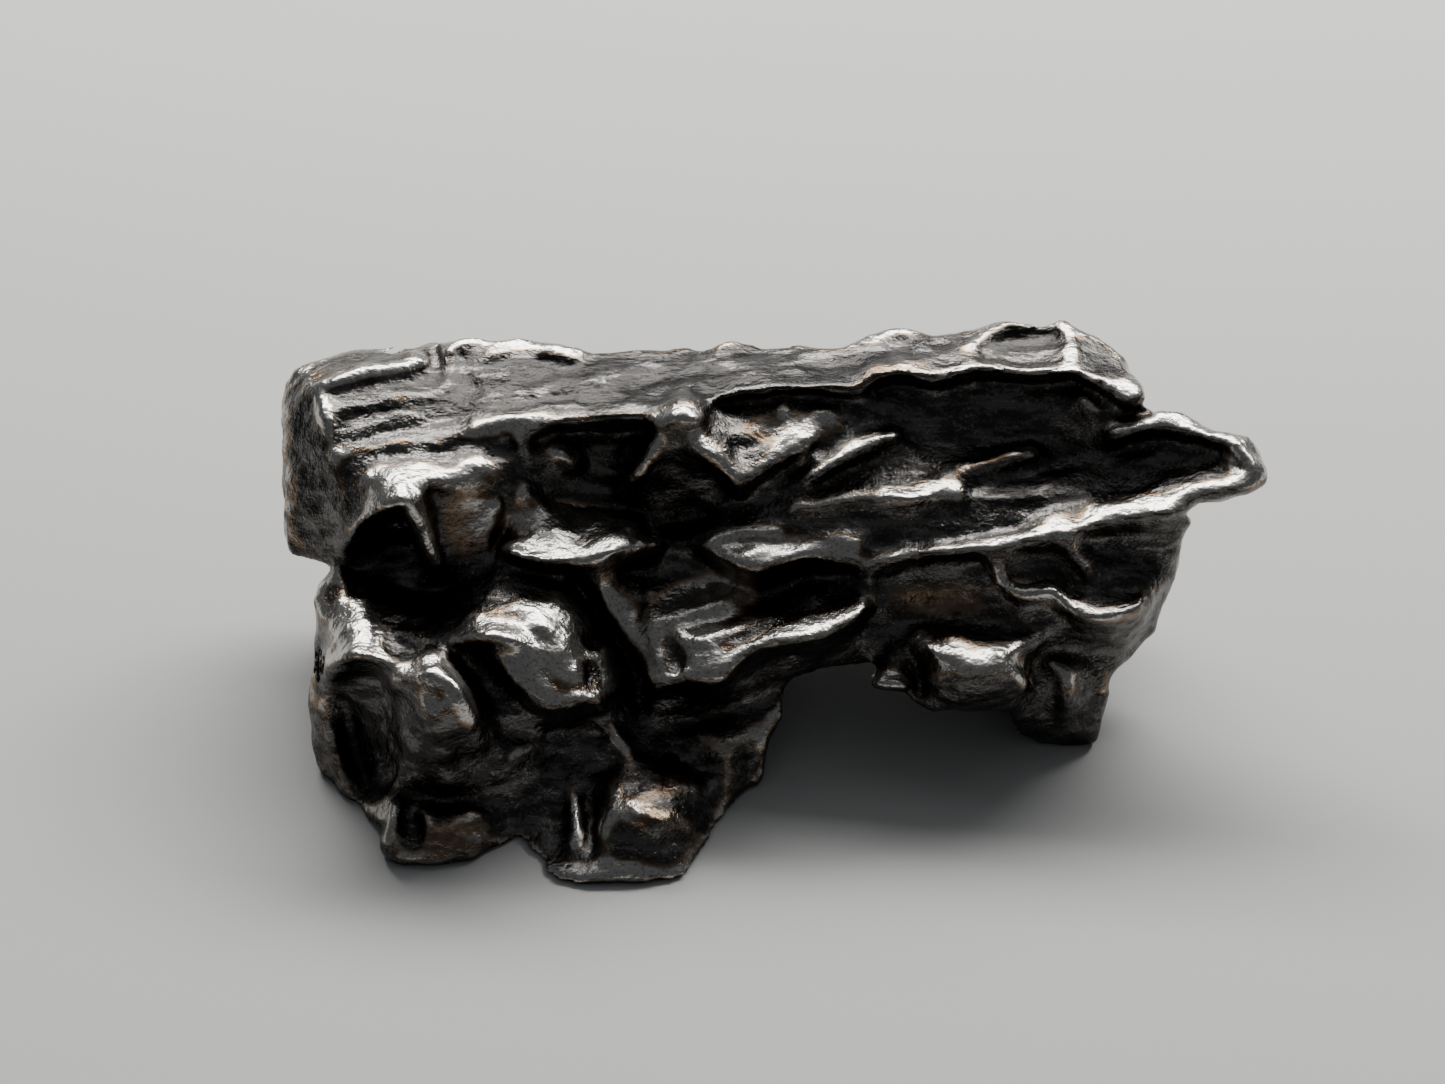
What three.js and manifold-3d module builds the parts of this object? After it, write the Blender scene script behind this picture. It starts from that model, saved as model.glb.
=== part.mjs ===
// A small whole iron meteorite, resting on z = 0. It has a flat streaked top, ledges that climb to
// the right, deep hollows, a pointed beak and knuckled feet. Millimetres, +Z up, +X to the beak.
// Rounded masses carry the back, the underside and the feet. The front is a film stretched over
// its crests and troughs. Both meet in a distance field, whose skin becomes a closed mesh that is
// thinned to facets and cut flat at z = 0.

import * as THREE from "three";
import Module from "manifold-3d";
import { mergeVertices } from "three/addons/utils/BufferGeometryUtils.js";

// Sight frame. A place on the front is [u, v, near]: u and v are pixels across and down the
// photograph, near is millimetres from the middle of the stone towards the eye.
const PHOTO_WIDTH = 1445;
const PHOTO_HEIGHT = 1084;
const LENS_PIXELS = (50 / 36) * PHOTO_WIDTH;
const EYE_DISTANCE = 70;
const EYE_ELEVATION = 38;
const STONE_MIDDLE = [0, 0, 7.47];

// The finished stone is moved by this much so that its box stands over the origin.
const CENTRING = [-1.19, 0.04];

// The film over the front: first pixel, pixels per cell, cells across and down.
const FILM_START = [264, 292];
const FILM_CELL = 4;
const FILM_COUNT = [258, 156];
const FILM_PASSES = 400;
const FILM_PULL = 1.9;
const FILM_EASING = 1;
const FILM_STEEPEST = 4;
const FILM_BLEND = 0.4;
const OUTLINE_BLEND = 0.5;

// Field and mesh sizes.
const WORK_LOW = [-18, -11.5, -1.2];
const WORK_HIGH = [21, 12.5, 14.4];
const GRID_STEP = 0.35;
const FAR_OUTSIDE = 3;
const LEAST_VALUE = 0.02;
const PRESS_MARGIN = 1.2;
const CAST_STEP = 0.15;
const CAST_START = 30;
const TRIANGLE_GOAL = 9300;
const SEAT_CUT_DEPTH = 4;
const LOWEST_CLAY = -0.7;
const SETTLE_PASSES = 20;

// Hollows of the hidden sides.
const DENT_BLEND = 0.3;
const DENT_ROUNDNESS = 1.3;

// Slow waves that make every outline a little uneven: size, then speeds and shifts of each wave.
const WAVE_SIZE = 0.13;
const WAVE_SECOND = 0.6;
const SLOW_WAVES = [[1.9, 1.3, 0.5], [1.7, 1.5, 2.1], [1.6, -1.8, 4.0]];
const QUICK_WAVES = [[3.7, -2.9, 1.1], [3.1, 2.7, 0.3], [3.3, 2.6, 2.6]];

// Scallops left by melting, longer along the grain of the iron. The broad ones fade in behind the
// film, from the first to the second of these distances.
const GRAIN_ANGLE = 17;
const SCALLOP_STRETCH = 1.7;
const SCALLOP_REACH = 0.72;
const SCALLOP_BAND = 0.9;
const BROAD_SCALLOPS = { cell: 2.1, depth: 0.45, salt: 977 };
const SMALL_SCALLOPS = { cell: 1.1, depth: 0.1, salt: 411 };
const BEHIND_FILM = [0.3, 1.6];
const CELL_PRIMES = [73856093, 19349663, 83492791];
const CELL_MIXER = 1274126177;
const CELL_SHIFTS = [13, 16];
const NUMBER_BITS = 10;
const NUMBER_TOP = 2 ** NUMBER_BITS - 1;

// Smallest slope divided by, and the distance within which two corners are one.
const LEAST_SLOPE = 1e-6;
const WELD_DISTANCE = 1e-4;

// Limits of the thinning: flattest plane sum solved, cost of an edge's length, smallest face kept,
// and the least share of its facing that a face keeps.
const FLATTEST_SUM = 1e-4;
const SPAN_COST = 1e-4;
const LEAST_FACE = 1e-4;
const LEAST_FACING = 0.25;

const IRON = { color: 0x2b2725, roughness: 0.36, metalness: 1.0 };

// Masses in the stone's own frame: middle, half sizes, yaw in degrees, rounding, blend. Towards
// the eye and upwards they reach past the film, which cuts them back.
const BULKS = {
  upperBlock: [[0.5, 2.9, 8.2], [14.6, 5.6, 4.9], 0, 1.6, 0.8],
  leftBlock: [[-6.9, -1.7, 4.5], [8.6, 7.2, 5.4], 0, 1.6, 0.8],
  frontFeet: [[-6.3, -6.5, 1.5], [8.6, 5.0, 3.0], 0, 1.2, 0.8],
  rightFront: [[7.0, -1.5, 5.6], [9.4, 5.0, 3.1], 0, 1.2, 0.8],
  heelFoot: [[11.8, 0.6, 2.6], [2.1, 4.0, 3.2], 0, 1.0, 0.8],
  backFoot: [[-9.4, 5.0, 1.8], [2.4, 2.2, 2.6], 20, 0.9, 0.8],
  endBlock: [[-12.6, 4.7, 8.2], [4.2, 4.0, 3.6], 8, 0.9, 0.6],
};

// The beak: [u, v, near, radius] along its rod, blend.
const BEAK = [[[1040, 480, -2.4, 3.2], [1130, 474, -1.9, 2.4], [1190, 468, -1.2, 1.9],
  [1250, 468, -0.4, 1.5]], 0.6];

// Dents of the back, the ends and the underside: point aimed at, azimuth and elevation it is seen
// from, depth, radii, roll.
const DENTS = {
  backA: [[-11.0, 5.0, 6.0], 196, 20, 0.9, [2.4, 1.6], 20],
  backB: [[-7.0, 4.0, 7.5], 176, 8, 1.0, [2.6, 1.5], -14],
  backC: [[-2.0, 4.0, 6.0], 182, 15, 1.2, [2.2, 2.0], 30],
  backD: [[2.6, 4.0, 8.4], 174, 20, 0.8, [2.3, 1.2], -10],
  backE: [[6.0, 4.0, 6.4], 170, 5, 1.1, [2.6, 1.7], 12],
  backF: [[10.5, 3.0, 8.0], 150, 12, 1.0, [2.2, 1.6], -20],
  backLow: [[-8.5, 3.0, 2.5], 178, -5, 1.0, [2.2, 1.6], 0],
  leftEnd: [[-15.0, 5.0, 6.5], 285, 5, 0.6, [1.8, 1.4], 20],
  leftLow: [[-12.0, 0.0, 3.0], 268, 0, 0.9, [1.8, 1.5], -30],
  rightLow: [[12.0, 2.0, 4.0], 100, 0, 0.8, [1.6, 1.6], 0],
  underBack: [[3.0, 3.0, 5.0], 182, -35, 1.2, [3.0, 1.6], 8],
  underMiddle: [[4.0, -1.0, 5.0], 30, -75, 0.8, [2.6, 1.6], 20],
  underRight: [[7.5, 3.0, 5.0], 100, -70, 0.9, [2.0, 1.5], -20],
  soleLeft: [[-9.2, -3.4, 1.0], 10, -84, 1.5, [3.2, 2.8], 12],
  soleMiddle: [[-3.0, -3.2, 1.0], -20, -82, 1.5, [3.2, 2.8], -24],
  soleRear: [[-6.0, 2.0, 1.0], 160, -80, 1.4, [4.2, 2.4], 10],
  soleHeel: [[10.4, 1.4, 1.0], 60, -86, 0.6, [1.8, 1.0], 80],
};

// The stone's outline in the photograph, in pixels, clockwise from the top left.
const OUTLINE = [
  [284, 384], [292, 369], [325, 356], [362, 348], [402, 341], [442, 342], [482, 336], [515, 333],
  [560, 342],
  [592, 352], [640, 350], [700, 345], [742, 339], [800, 335], [862, 327], [900, 317], [930, 309],
  [952, 309],
  [975, 317], [1000, 314], [1040, 311], [1064, 316], [1088, 331], [1112, 346], [1134, 366], [1152, 386],
  [1170, 399], [1205, 414], [1230, 428], [1248, 435], [1260, 450], [1269, 468], [1267, 484],
  [1250, 494],
  [1224, 502], [1204, 514], [1194, 530], [1190, 552], [1178, 582], [1166, 608], [1156, 634],
  [1136, 655],
  [1120, 676], [1110, 708], [1100, 742], [1078, 751], [1040, 748], [1014, 732], [1002, 719], [962, 722],
  [926, 716], [905, 694], [872, 690], [838, 692], [806, 702], [786, 718], [770, 745], [764, 778],
  [744, 806],
  [724, 840], [706, 870], [690, 884], [640, 890], [562, 888], [542, 880], [534, 862], [516, 846],
  [496, 852],
  [482, 864], [440, 870], [402, 870], [386, 864], [379, 848], [380, 826], [358, 822], [341, 812],
  [328, 794],
  [317, 774], [311, 745], [308, 702], [313, 650], [317, 625], [312, 600], [319, 584], [330, 568],
  [316, 560],
  [292, 556], [284, 542], [281, 480], [281, 420],
];

// Lines of the front, crests and troughs alike: [u, v, near] along each.
const FRONT_LINES = {
  endFaceEdge: [[313, 386, -2.3], [322, 410, -1.5], [330, 440, -0.9], [337, 470, -0.4],
    [344, 502, -0.1], [350, 532, 0.0]],
  endFaceRim: [[286, 384, -3.9], [284, 430, -2.9], [284, 480, -2.3], [286, 540, -2.0]],
  endFaceFoot: [[292, 552, -2.2], [318, 557, -1.5], [334, 560, -1.3]],
  cornerTop: [[340, 452, -0.7], [375, 453, -0.4], [410, 452, -0.3], [450, 450, -0.4], [482, 452, -0.4]],
  cornerShoulder: [[363, 482, 0.4], [385, 471, 0.4], [412, 466, 0.45], [440, 468, 0.45],
    [462, 468, 0.3], [482, 462, 0.1]],
  cornerSide: [[363, 482, 0.3], [357, 502, 0.15], [352, 522, 0.1]],
  cornerEdge: [[350, 540, 0.3], [357, 526, 1.0], [369, 517, 1.5], [385, 509, 1.85], [401, 502, 1.95]],
  underCorner: [[354, 556, -1.2], [368, 534, -0.9], [388, 522, -0.8], [404, 517, -0.6]],
  cornerDeep: [[362, 570, -1.5], [385, 548, -2.0], [405, 545, -2.0], [420, 562, -2.0]],
  cornerFloor: [[385, 580, -1.6], [415, 592, -1.8], [440, 590, -1.5], [455, 582, -1.2]],
  bladeTop: [[401, 484, 1.35], [406, 502, 2.0], [415, 526, 1.6], [427, 552, 1.0], [438, 569, 0.4]],
  bladeFace: [[427, 480, 1.0], [424, 500, 1.35], [429, 528, 1.05], [438, 566, 0.4]],
  bladeBack: [[409, 522, -0.5], [417, 545, -1.0], [430, 571, -1.2]],
  plateTop: [[430, 476, 0.9], [446, 487, 0.75], [462, 481, 0.6], [472, 469, 0.4], [488, 463, 0.1]],
  plateLeft: [[433, 490, 0.35], [438, 530, 0.0], [446, 566, -0.3]],
  plateRight: [[497, 474, -0.1], [500, 508, -0.3], [491, 542, -0.45], [482, 562, -0.6]],
  plateFoot: [[450, 575, -0.7], [468, 578, -0.8], [486, 566, -0.8]],
  besidePlate: [[505, 500, -0.9], [503, 530, -0.9], [496, 552, -1.0]],
  backCrestLeft: [[318, 384, -2.1], [345, 372, -2.5], [385, 362, -2.95], [426, 356, -3.3]],
  backSlopeLeft: [[300, 370, -3.8], [340, 356, -4.4], [400, 345, -4.9], [430, 345, -4.9]],
  notch: [[437, 348, -4.7], [436, 370, -3.6], [434, 396, -2.2]],
  backCrestMiddle: [[444, 352, -3.6], [480, 342, -4.2], [512, 338, -4.4], [550, 345, -4.1],
    [582, 353, -3.8]],
  backDip: [[590, 356, -4.2], [640, 354, -4.3], [700, 350, -4.5]],
  topBack: [[742, 344, -4.5], [800, 340, -4.4], [860, 333, -4.5], [905, 322, -4.8], [940, 313, -5.2],
    [962, 318, -4.9]],
  topLeft: [[325, 400, -1.9], [370, 395, -1.9], [410, 392, -2.0]],
  topMiddle: [[470, 380, -2.6], [540, 384, -2.4], [610, 380, -2.6], [680, 378, -2.6]],
  topRight: [[760, 368, -2.9], [830, 362, -2.9], [890, 350, -3.2], [945, 342, -3.5]],
  topStreak: [[540, 390, -2.0], [575, 378, -2.5], [612, 371, -2.9]],
  topFrontLeft: [[340, 425, -1.4], [400, 422, -1.3], [450, 425, -1.1]],
  browBand: [[462, 436, -0.8], [478, 424, -0.7], [505, 416, -0.7], [535, 412, -0.8]],
  browEdge: [[478, 446, -0.6], [496, 436, -0.5], [516, 430, -0.5]],
  browBumps: [[486, 452, -0.8], [502, 446, -0.9], [514, 442, -0.9]],
  plateauEdge: [[516, 446, -0.35], [532, 432, -0.2], [558, 424, -0.15], [600, 421, -0.15],
    [640, 421, -0.15], [660, 418, 0.0]],
  plateauTread: [[540, 404, -1.0], [600, 402, -1.1], [660, 400, -1.2]],
  cavityLip: [[534, 442, -1.3], [560, 433, -1.7], [600, 431, -2.1], [644, 431, -1.8]],
  cavityWall: [[560, 482, -1.5], [590, 474, -2.3], [622, 470, -2.4]],
  cavityRib: [[553, 444, -0.9], [566, 453, -1.0], [578, 466, -1.4]],
  cavityRim: [[498, 462, -0.4], [512, 474, -0.4], [530, 492, -0.5]],
  cavityFloor: [[548, 500, -1.7], [580, 506, -2.0], [620, 508, -2.1], [645, 512, -2.0]],
  patchEdge: [[502, 548, 0.6], [520, 560, 0.9], [548, 563, 1.0], [575, 566, 0.95], [600, 557, 0.9],
    [622, 548, 0.8], [642, 546, 0.5], [660, 542, 0.0]],
  patchBack: [[512, 518, -0.6], [545, 520, -0.8], [590, 520, -1.0], [632, 526, -0.5]],
  noseTop: [[658, 430, 0.4], [668, 418, 0.7], [684, 412, 0.8], [700, 418, 0.6]],
  noseTread: [[662, 408, -0.2], [682, 398, 0.1], [702, 402, -0.2]],
  noseLeft: [[660, 428, 0.1], [654, 448, 0.3], [643, 467, 0.1], [627, 484, -0.4]],
  noseLeftFoot: [[650, 428, -1.3], [632, 446, -1.2], [618, 470, -1.6]],
  noseFront: [[684, 430, 0.35], [680, 450, -0.3], [676, 470, -0.9]],
  noseRight: [[692, 447, 0.3], [704, 452, 0.55], [716, 460, 0.5], [728, 474, 0.45], [738, 487, 0.3]],
  noseSide: [[702, 416, 0.1], [712, 428, -0.15], [722, 442, -0.05], [730, 458, 0.05]],
  noseGap: [[712, 410, -0.9], [728, 424, -0.9], [738, 444, -0.7], [744, 462, -0.3]],
  underNose: [[646, 500, -1.7], [676, 492, -1.5], [706, 478, -1.1], [724, 494, -1.2]],
  noseCavity: [[650, 532, -1.8], [680, 520, -2.4], [712, 516, -1.9]],
  noseCavityFloor: [[664, 549, -1.1], [690, 546, -1.3]],
  edgeMiddle: [[700, 408, -0.3], [712, 399, -0.6], [740, 393, -0.8], [790, 388, -0.9], [820, 387, -0.9],
    [846, 390, -0.9]],
  treadMiddle: [[700, 392, -1.6], [760, 378, -1.9], [820, 376, -1.9], [850, 376, -1.9]],
  underEdgeMiddle: [[718, 406, -1.6], [745, 400, -1.8], [785, 397, -1.8], [820, 398, -1.7],
    [852, 401, -1.6]],
  facetMiddle: [[745, 432, -1.0], [770, 426, -1.3], [795, 420, -1.4]],
  postMiddle: [[786, 398, -1.1], [786, 414, -1.1], [780, 430, -1.0]],
  slantFirst: [[738, 486, 0.3], [762, 470, 0.1], [785, 458, -0.1], [803, 446, -0.3], [813, 435, -0.6]],
  underSlantFirst: [[742, 498, -0.8], [772, 480, -0.9], [802, 463, -1.0]],
  slantSecond: [[808, 479, 0.0], [825, 471, -0.1], [850, 456, -0.3], [875, 442, -0.5],
    [900, 430, -0.8]],
  slantSecondBack: [[818, 448, -1.0], [850, 430, -1.3], [884, 416, -1.8]],
  underSlantSecond: [[812, 490, -0.8], [850, 470, -1.1], [880, 456, -1.3], [908, 444, -1.5]],
  slantThird: [[790, 506, -0.1], [812, 509, 0.0], [838, 503, -0.05], [862, 498, -0.15]],
  underSlantThird: [[800, 520, -0.6], [830, 515, -0.6], [862, 510, -0.6]],
  patchRightBack: [[716, 514, -0.9], [745, 502, -1.0], [775, 500, -0.9]],
  patchRightStreak: [[706, 540, -0.2], [720, 532, -0.2], [745, 534, -0.2], [780, 534, -0.3]],
  patchRightDip: [[740, 541, -0.45], [775, 542, -0.5], [800, 540, -0.5]],
  patchRight: [[702, 544, -0.1], [718, 556, 0.2], [740, 567, 0.5], [757, 574, 0.6], [778, 562, 0.5],
    [802, 555, 0.35]],
  patchRightEnd: [[802, 555, 0.35], [830, 560, 0.2], [858, 566, 0.1]],
  darkBand: [[662, 556, -1.3], [700, 562, -1.4], [730, 582, -1.3], [758, 594, -0.95], [800, 580, -1.2],
    [850, 572, -1.1]],
  shelfBack: [[625, 572, -1.1], [660, 574, -1.4], [700, 582, -1.4]],
  shelfRoll: [[640, 590, -0.8], [680, 605, -0.35], [720, 612, -0.15], [770, 610, -0.2],
    [820, 598, -0.5], [858, 588, -0.7]],
  shelfDip: [[632, 612, -0.4], [670, 632, 0.3], [706, 640, 0.65]],
  shelfLeft: [[562, 567, 0.2], [582, 573, 0.1], [597, 588, 0.0], [606, 606, -0.1], [622, 632, 0.0],
    [640, 662, 0.4], [652, 692, 1.0]],
  shelfEdge: [[652, 693, 1.05], [665, 684, 1.3], [682, 680, 1.4], [702, 683, 1.45], [720, 685, 1.45],
    [731, 678, 1.4], [735, 666, 1.3], [742, 656, 1.25], [756, 646, 1.25], [772, 643, 1.25],
    [800, 642, 1.2], [824, 638, 1.15], [842, 628, 0.95], [857, 619, 0.75], [867, 607, 0.4]],
  shelfPatch: [[690, 664, 0.95], [712, 655, 0.8], [728, 650, 0.8]],
  underShelf: [[652, 706, -0.3], [680, 693, 0.0], [716, 697, 0.0], [742, 678, -0.2], [780, 655, -0.1],
    [825, 651, -0.2], [858, 634, -0.6], [872, 612, -0.9]],
  shelfRecess: [[660, 730, -0.8], [690, 722, -0.9], [730, 712, -0.8], [780, 690, -1.2],
    [830, 675, -1.4], [862, 664, -1.4]],
  crackTop: [[500, 560, -0.4], [530, 570, -0.4], [556, 576, -0.5]],
  crack: [[572, 580, -1.2], [590, 604, -1.7], [608, 632, -1.7], [628, 652, -1.6], [638, 676, -1.4],
    [638, 706, -1.2]],
  shieldBack: [[452, 606, -0.1], [470, 588, 0.0], [500, 578, 0.0], [540, 578, 0.0], [562, 586, -0.2]],
  shieldShoulder: [[540, 606, 0.9], [560, 610, 0.8], [580, 624, 0.5]],
  shieldRight: [[568, 586, -0.4], [584, 612, -0.2], [598, 640, -0.3]],
  knuckleThird: [[447, 652, 1.3], [456, 644, 1.75], [472, 637, 2.15], [492, 634, 2.3], [510, 637, 2.35],
    [522, 645, 2.3], [529, 658, 2.2]],
  knuckleThirdTread: [[456, 628, 1.0], [476, 617, 1.3], [500, 613, 1.35], [520, 618, 1.3]],
  knuckleThirdFoot: [[450, 662, 0.6], [470, 652, 1.0], [488, 652, 1.3]],
  shieldEdge: [[490, 654, 2.0], [500, 664, 2.25], [512, 678, 2.4], [526, 692, 2.45], [540, 705, 2.45],
    [553, 711, 2.4], [572, 706, 2.3], [588, 698, 2.1], [602, 706, 1.7]],
  shieldFold: [[540, 630, 1.5], [552, 644, 1.7], [560, 654, 1.7]],
  shieldFace: [[536, 664, 2.0], [550, 684, 2.1], [580, 676, 1.8], [592, 654, 1.0]],
  underShieldEdge: [[462, 668, 0.8], [482, 662, 1.0], [494, 678, 1.2], [510, 696, 1.3], [530, 714, 1.3],
    [553, 722, 1.2], [580, 716, 0.9], [604, 718, 0.4]],
  knuckleSide: [[468, 668, 0.9], [484, 690, 1.2], [496, 716, 1.3], [502, 742, 1.3]],
  knuckleBrow: [[390, 688, 2.4], [402, 681, 2.8], [416, 675, 3.15], [432, 672, 3.3], [448, 675, 3.3],
    [459, 685, 3.2], [468, 699, 3.05], [475, 716, 2.8], [481, 740, 2.4]],
  knuckleTop: [[402, 662, 2.0], [430, 654, 2.5], [458, 660, 2.4]],
  knuckleValley: [[400, 642, 1.2], [420, 636, 1.3], [442, 638, 1.3]],
  knuckleFace: [[412, 694, 2.6], [434, 722, 2.6], [442, 754, 2.3], [444, 784, 1.8]],
  knuckleLeft: [[396, 700, 1.2], [398, 730, 1.3], [398, 762, 1.3], [400, 784, 1.2]],
  knuckleRight: [[478, 760, 1.6], [500, 770, 1.4], [520, 764, 1.1]],
  knuckleFoot: [[405, 796, 0.9], [440, 799, 1.0], [480, 799, 1.0], [508, 794, 0.8]],
  besideShield: [[520, 730, 0.9], [528, 748, 1.1], [534, 768, 0.8]],
  domeTop: [[336, 602, -0.2], [362, 600, 0.0], [388, 606, 0.0]],
  domeMiddle: [[334, 632, 0.8], [352, 628, 1.15], [374, 628, 1.2], [396, 636, 1.1], [414, 652, 1.3]],
  domeEdge: [[325, 676, 0.8], [332, 664, 1.7], [345, 658, 2.3], [362, 657, 2.5], [380, 661, 2.5],
    [392, 672, 2.35]],
  domeLeft: [[318, 640, -0.8], [314, 690, -0.9], [314, 738, -1.1], [322, 776, -1.2], [345, 812, -0.6]],
  columnRim: [[324, 690, -0.3], [323, 722, -0.3], [330, 738, -0.3], [340, 770, -0.4], [350, 798, -0.2],
    [364, 816, 0.1]],
  underDome: [[340, 680, 0.0], [358, 672, 0.2], [376, 676, 0.3], [388, 692, 0.4]],
  columnPitWall: [[384, 706, 0.2], [390, 742, 0.3], [391, 778, 0.3]],
  postSide: [[563, 800, 0.45], [565, 826, 1.0]],
  postSideRight: [[585, 800, 0.45], [588, 826, 1.0]],
  columnPit: [[345, 700, -0.9], [352, 735, -1.2], [360, 765, -1.1], [370, 786, -0.7]],
  knobBack: [[350, 568, -1.6], [375, 580, -1.5], [398, 588, -1.5]],
  knobBed: [[322, 594, -1.0], [345, 592, -0.8], [370, 590, -0.8], [392, 596, -0.8]],
  footLeft: [[397, 800, 1.9], [390, 822, 2.3], [384, 846, 2.4], [383, 860, 2.2]],
  footTop: [[412, 808, 1.5], [440, 812, 1.7], [475, 814, 1.6]],
  footFace: [[404, 832, 1.9], [440, 840, 2.1], [478, 842, 1.9]],
  footSole: [[392, 866, 2.25], [412, 869, 2.35], [440, 870, 2.3], [470, 865, 2.1], [492, 851, 1.6]],
  feetGap: [[507, 812, 0.6], [520, 838, 1.2], [536, 852, 1.7]],
  pitTop: [[548, 732, 0.3], [575, 726, 0.2], [602, 735, 0.0]],
  pitMiddle: [[552, 765, 0.2], [580, 762, 0.1], [606, 768, 0.2]],
  pitLow: [[552, 800, 0.5], [554, 830, 1.1], [560, 852, 1.8]],
  pitRight: [[592, 795, 0.4], [596, 825, 1.0], [595, 846, 1.7]],
  post: [[568, 786, 0.7], [573, 806, 1.2], [577, 826, 1.7], [576, 846, 2.1]],
  postBase: [[560, 856, 1.9], [576, 854, 2.1], [592, 852, 2.0]],
  thinLine: [[602, 722, 0.6], [615, 735, 0.6], [628, 750, 0.65], [637, 768, 0.7]],
  thinLineBack: [[622, 716, -0.1], [634, 732, -0.2], [646, 750, -0.2]],
  footEdge: [[637, 768, 0.7], [620, 784, 1.3], [607, 800, 1.8], [602, 825, 2.1], [602, 846, 2.3],
    [606, 862, 2.7]],
  footCrown: [[645, 786, 1.3], [670, 782, 1.1], [694, 790, 0.8]],
  footBelly: [[632, 812, 2.2], [660, 822, 2.35], [684, 828, 1.9]],
  footWaist: [[628, 850, 2.5], [655, 855, 2.5], [685, 852, 2.1]],
  footLip: [[542, 868, 2.3], [560, 874, 2.6], [582, 879, 2.85], [606, 875, 2.9], [626, 872, 2.8],
    [646, 877, 2.85], [670, 880, 2.75], [692, 872, 2.3]],
  footLipTop: [[556, 861, 2.0], [584, 862, 2.3], [603, 866, 2.7]],
  footSide: [[704, 800, 0.5], [714, 835, 1.0], [706, 862, 1.8]],
  legFork: [[700, 734, -0.3], [714, 746, 0.0], [726, 753, 0.1], [740, 744, -0.1], [752, 733, -0.4]],
  legStem: [[726, 753, 0.1], [730, 775, 0.0], [728, 800, 0.1]],
  legRecess: [[665, 755, -0.3], [690, 762, -0.3], [706, 770, -0.4]],
  legSide: [[752, 760, -0.9], [750, 790, -0.7], [736, 820, -0.2]],
  cavernRim: [[860, 392, -1.0], [868, 380, -0.9], [888, 374, -1.0], [912, 374, -1.0], [924, 380, -1.0],
    [938, 382, -1.0], [950, 376, -1.0], [970, 370, -1.1], [990, 368, -1.1], [1010, 371, -1.1],
    [1030, 373, -1.1], [1056, 371, -1.1], [1075, 370, -1.0], [1090, 378, -1.0], [1110, 391, -0.9],
    [1126, 402, -0.8]],
  rimTread: [[868, 362, -1.9], [900, 360, -1.9], [935, 362, -1.9]],
  underRim: [[872, 392, -1.9], [892, 385, -2.2], [916, 386, -2.2], [936, 393, -2.1], [955, 386, -2.4],
    [990, 379, -2.7], [1030, 384, -2.7], [1070, 382, -2.5], [1090, 392, -2.0], [1112, 406, -1.6]],
  cavernCorner: [[890, 425, -1.9], [925, 440, -2.2], [965, 445, -2.4], [1010, 438, -2.7],
    [1060, 445, -2.7], [1090, 455, -2.4]],
  cavernRib: [[1084, 398, -1.5], [1096, 414, -1.5], [1094, 436, -1.8]],
  cavernFloor: [[920, 470, -1.3], [958, 472, -1.2], [985, 463, -1.4], [1015, 453, -1.6],
    [1032, 451, -1.7]],
  floorStep: [[888, 496, 0.0], [912, 500, 0.0], [940, 492, -0.2]],
  floorStepBack: [[890, 480, -0.9], [915, 478, -1.0], [945, 476, -1.0]],
  floorKnob: [[952, 482, -0.7], [958, 490, -0.4], [960, 500, -0.4]],
  floorFar: [[1000, 478, -1.5], [1050, 478, -1.7], [1085, 478, -1.7]],
  floorNear: [[890, 522, -0.4], [940, 520, -0.5], [1000, 508, -0.7], [1045, 505, -0.8]],
  ledgeBack: [[870, 545, -0.3], [920, 538, -0.3], [970, 532, -0.3], [1040, 524, -0.2]],
  longLedge: [[868, 576, 0.0], [876, 566, 0.3], [900, 559, 0.4], [935, 553, 0.55], [965, 550, 0.65],
    [1000, 546, 0.7], [1030, 540, 0.7], [1052, 536, 0.6]],
  ledgeDrop: [[1052, 536, 0.6], [1068, 546, 0.5], [1081, 562, 0.3], [1092, 576, 0.1],
    [1100, 585, -0.1]],
  underLongLedge: [[878, 582, -0.8], [905, 569, -0.6], [950, 563, -0.5], [985, 562, -0.4]],
  darkFacet: [[900, 600, -1.0], [935, 604, -1.0], [968, 604, -0.7]],
  darkFacetFoot: [[880, 630, -0.9], [915, 624, -0.8], [960, 622, -0.5], [1000, 622, -0.3]],
  underDrop: [[1020, 556, -0.1], [1048, 556, -0.2], [1066, 566, -0.3], [1082, 586, -0.3]],
  snakeBack: [[1010, 578, -0.1], [1030, 582, -0.05], [1056, 576, 0.0], [1072, 594, 0.1]],
  snake: [[988, 560, 0.35], [997, 570, 0.4], [1004, 582, 0.5], [1015, 592, 0.6], [1030, 598, 0.65],
    [1043, 592, 0.65], [1052, 588, 0.7], [1062, 598, 0.75], [1072, 610, 0.8], [1085, 618, 0.85],
    [1105, 619, 0.85], [1126, 614, 0.8], [1141, 607, 0.6], [1147, 596, 0.3]],
  underSnake: [[985, 580, -0.2], [998, 598, 0.0], [1020, 612, 0.1], [1045, 608, 0.1], [1060, 620, 0.0],
    [1080, 632, 0.0], [1110, 634, 0.0], [1142, 624, -0.2]],
  pocketBack: [[1100, 556, -0.6], [1125, 552, -0.8], [1148, 556, -0.9]],
  pocketFloor: [[1105, 590, -0.1], [1128, 592, -0.2], [1148, 582, -0.6]],
  snakeRecess: [[1045, 650, -0.9], [1090, 655, -1.1], [1132, 646, -1.1]],
  rightRim: [[1190, 540, -1.3], [1178, 575, -1.5], [1164, 605, -1.5], [1152, 630, -1.6],
    [1130, 654, -1.8]],
  rightFace: [[1165, 548, -0.9], [1160, 580, -0.9], [1154, 606, -0.8]],
  overBean: [[918, 640, 0.3], [932, 650, 0.9], [952, 653, 1.2], [972, 656, 1.3], [1000, 653, 1.1],
    [1020, 650, 0.9], [1038, 640, 0.4]],
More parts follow.
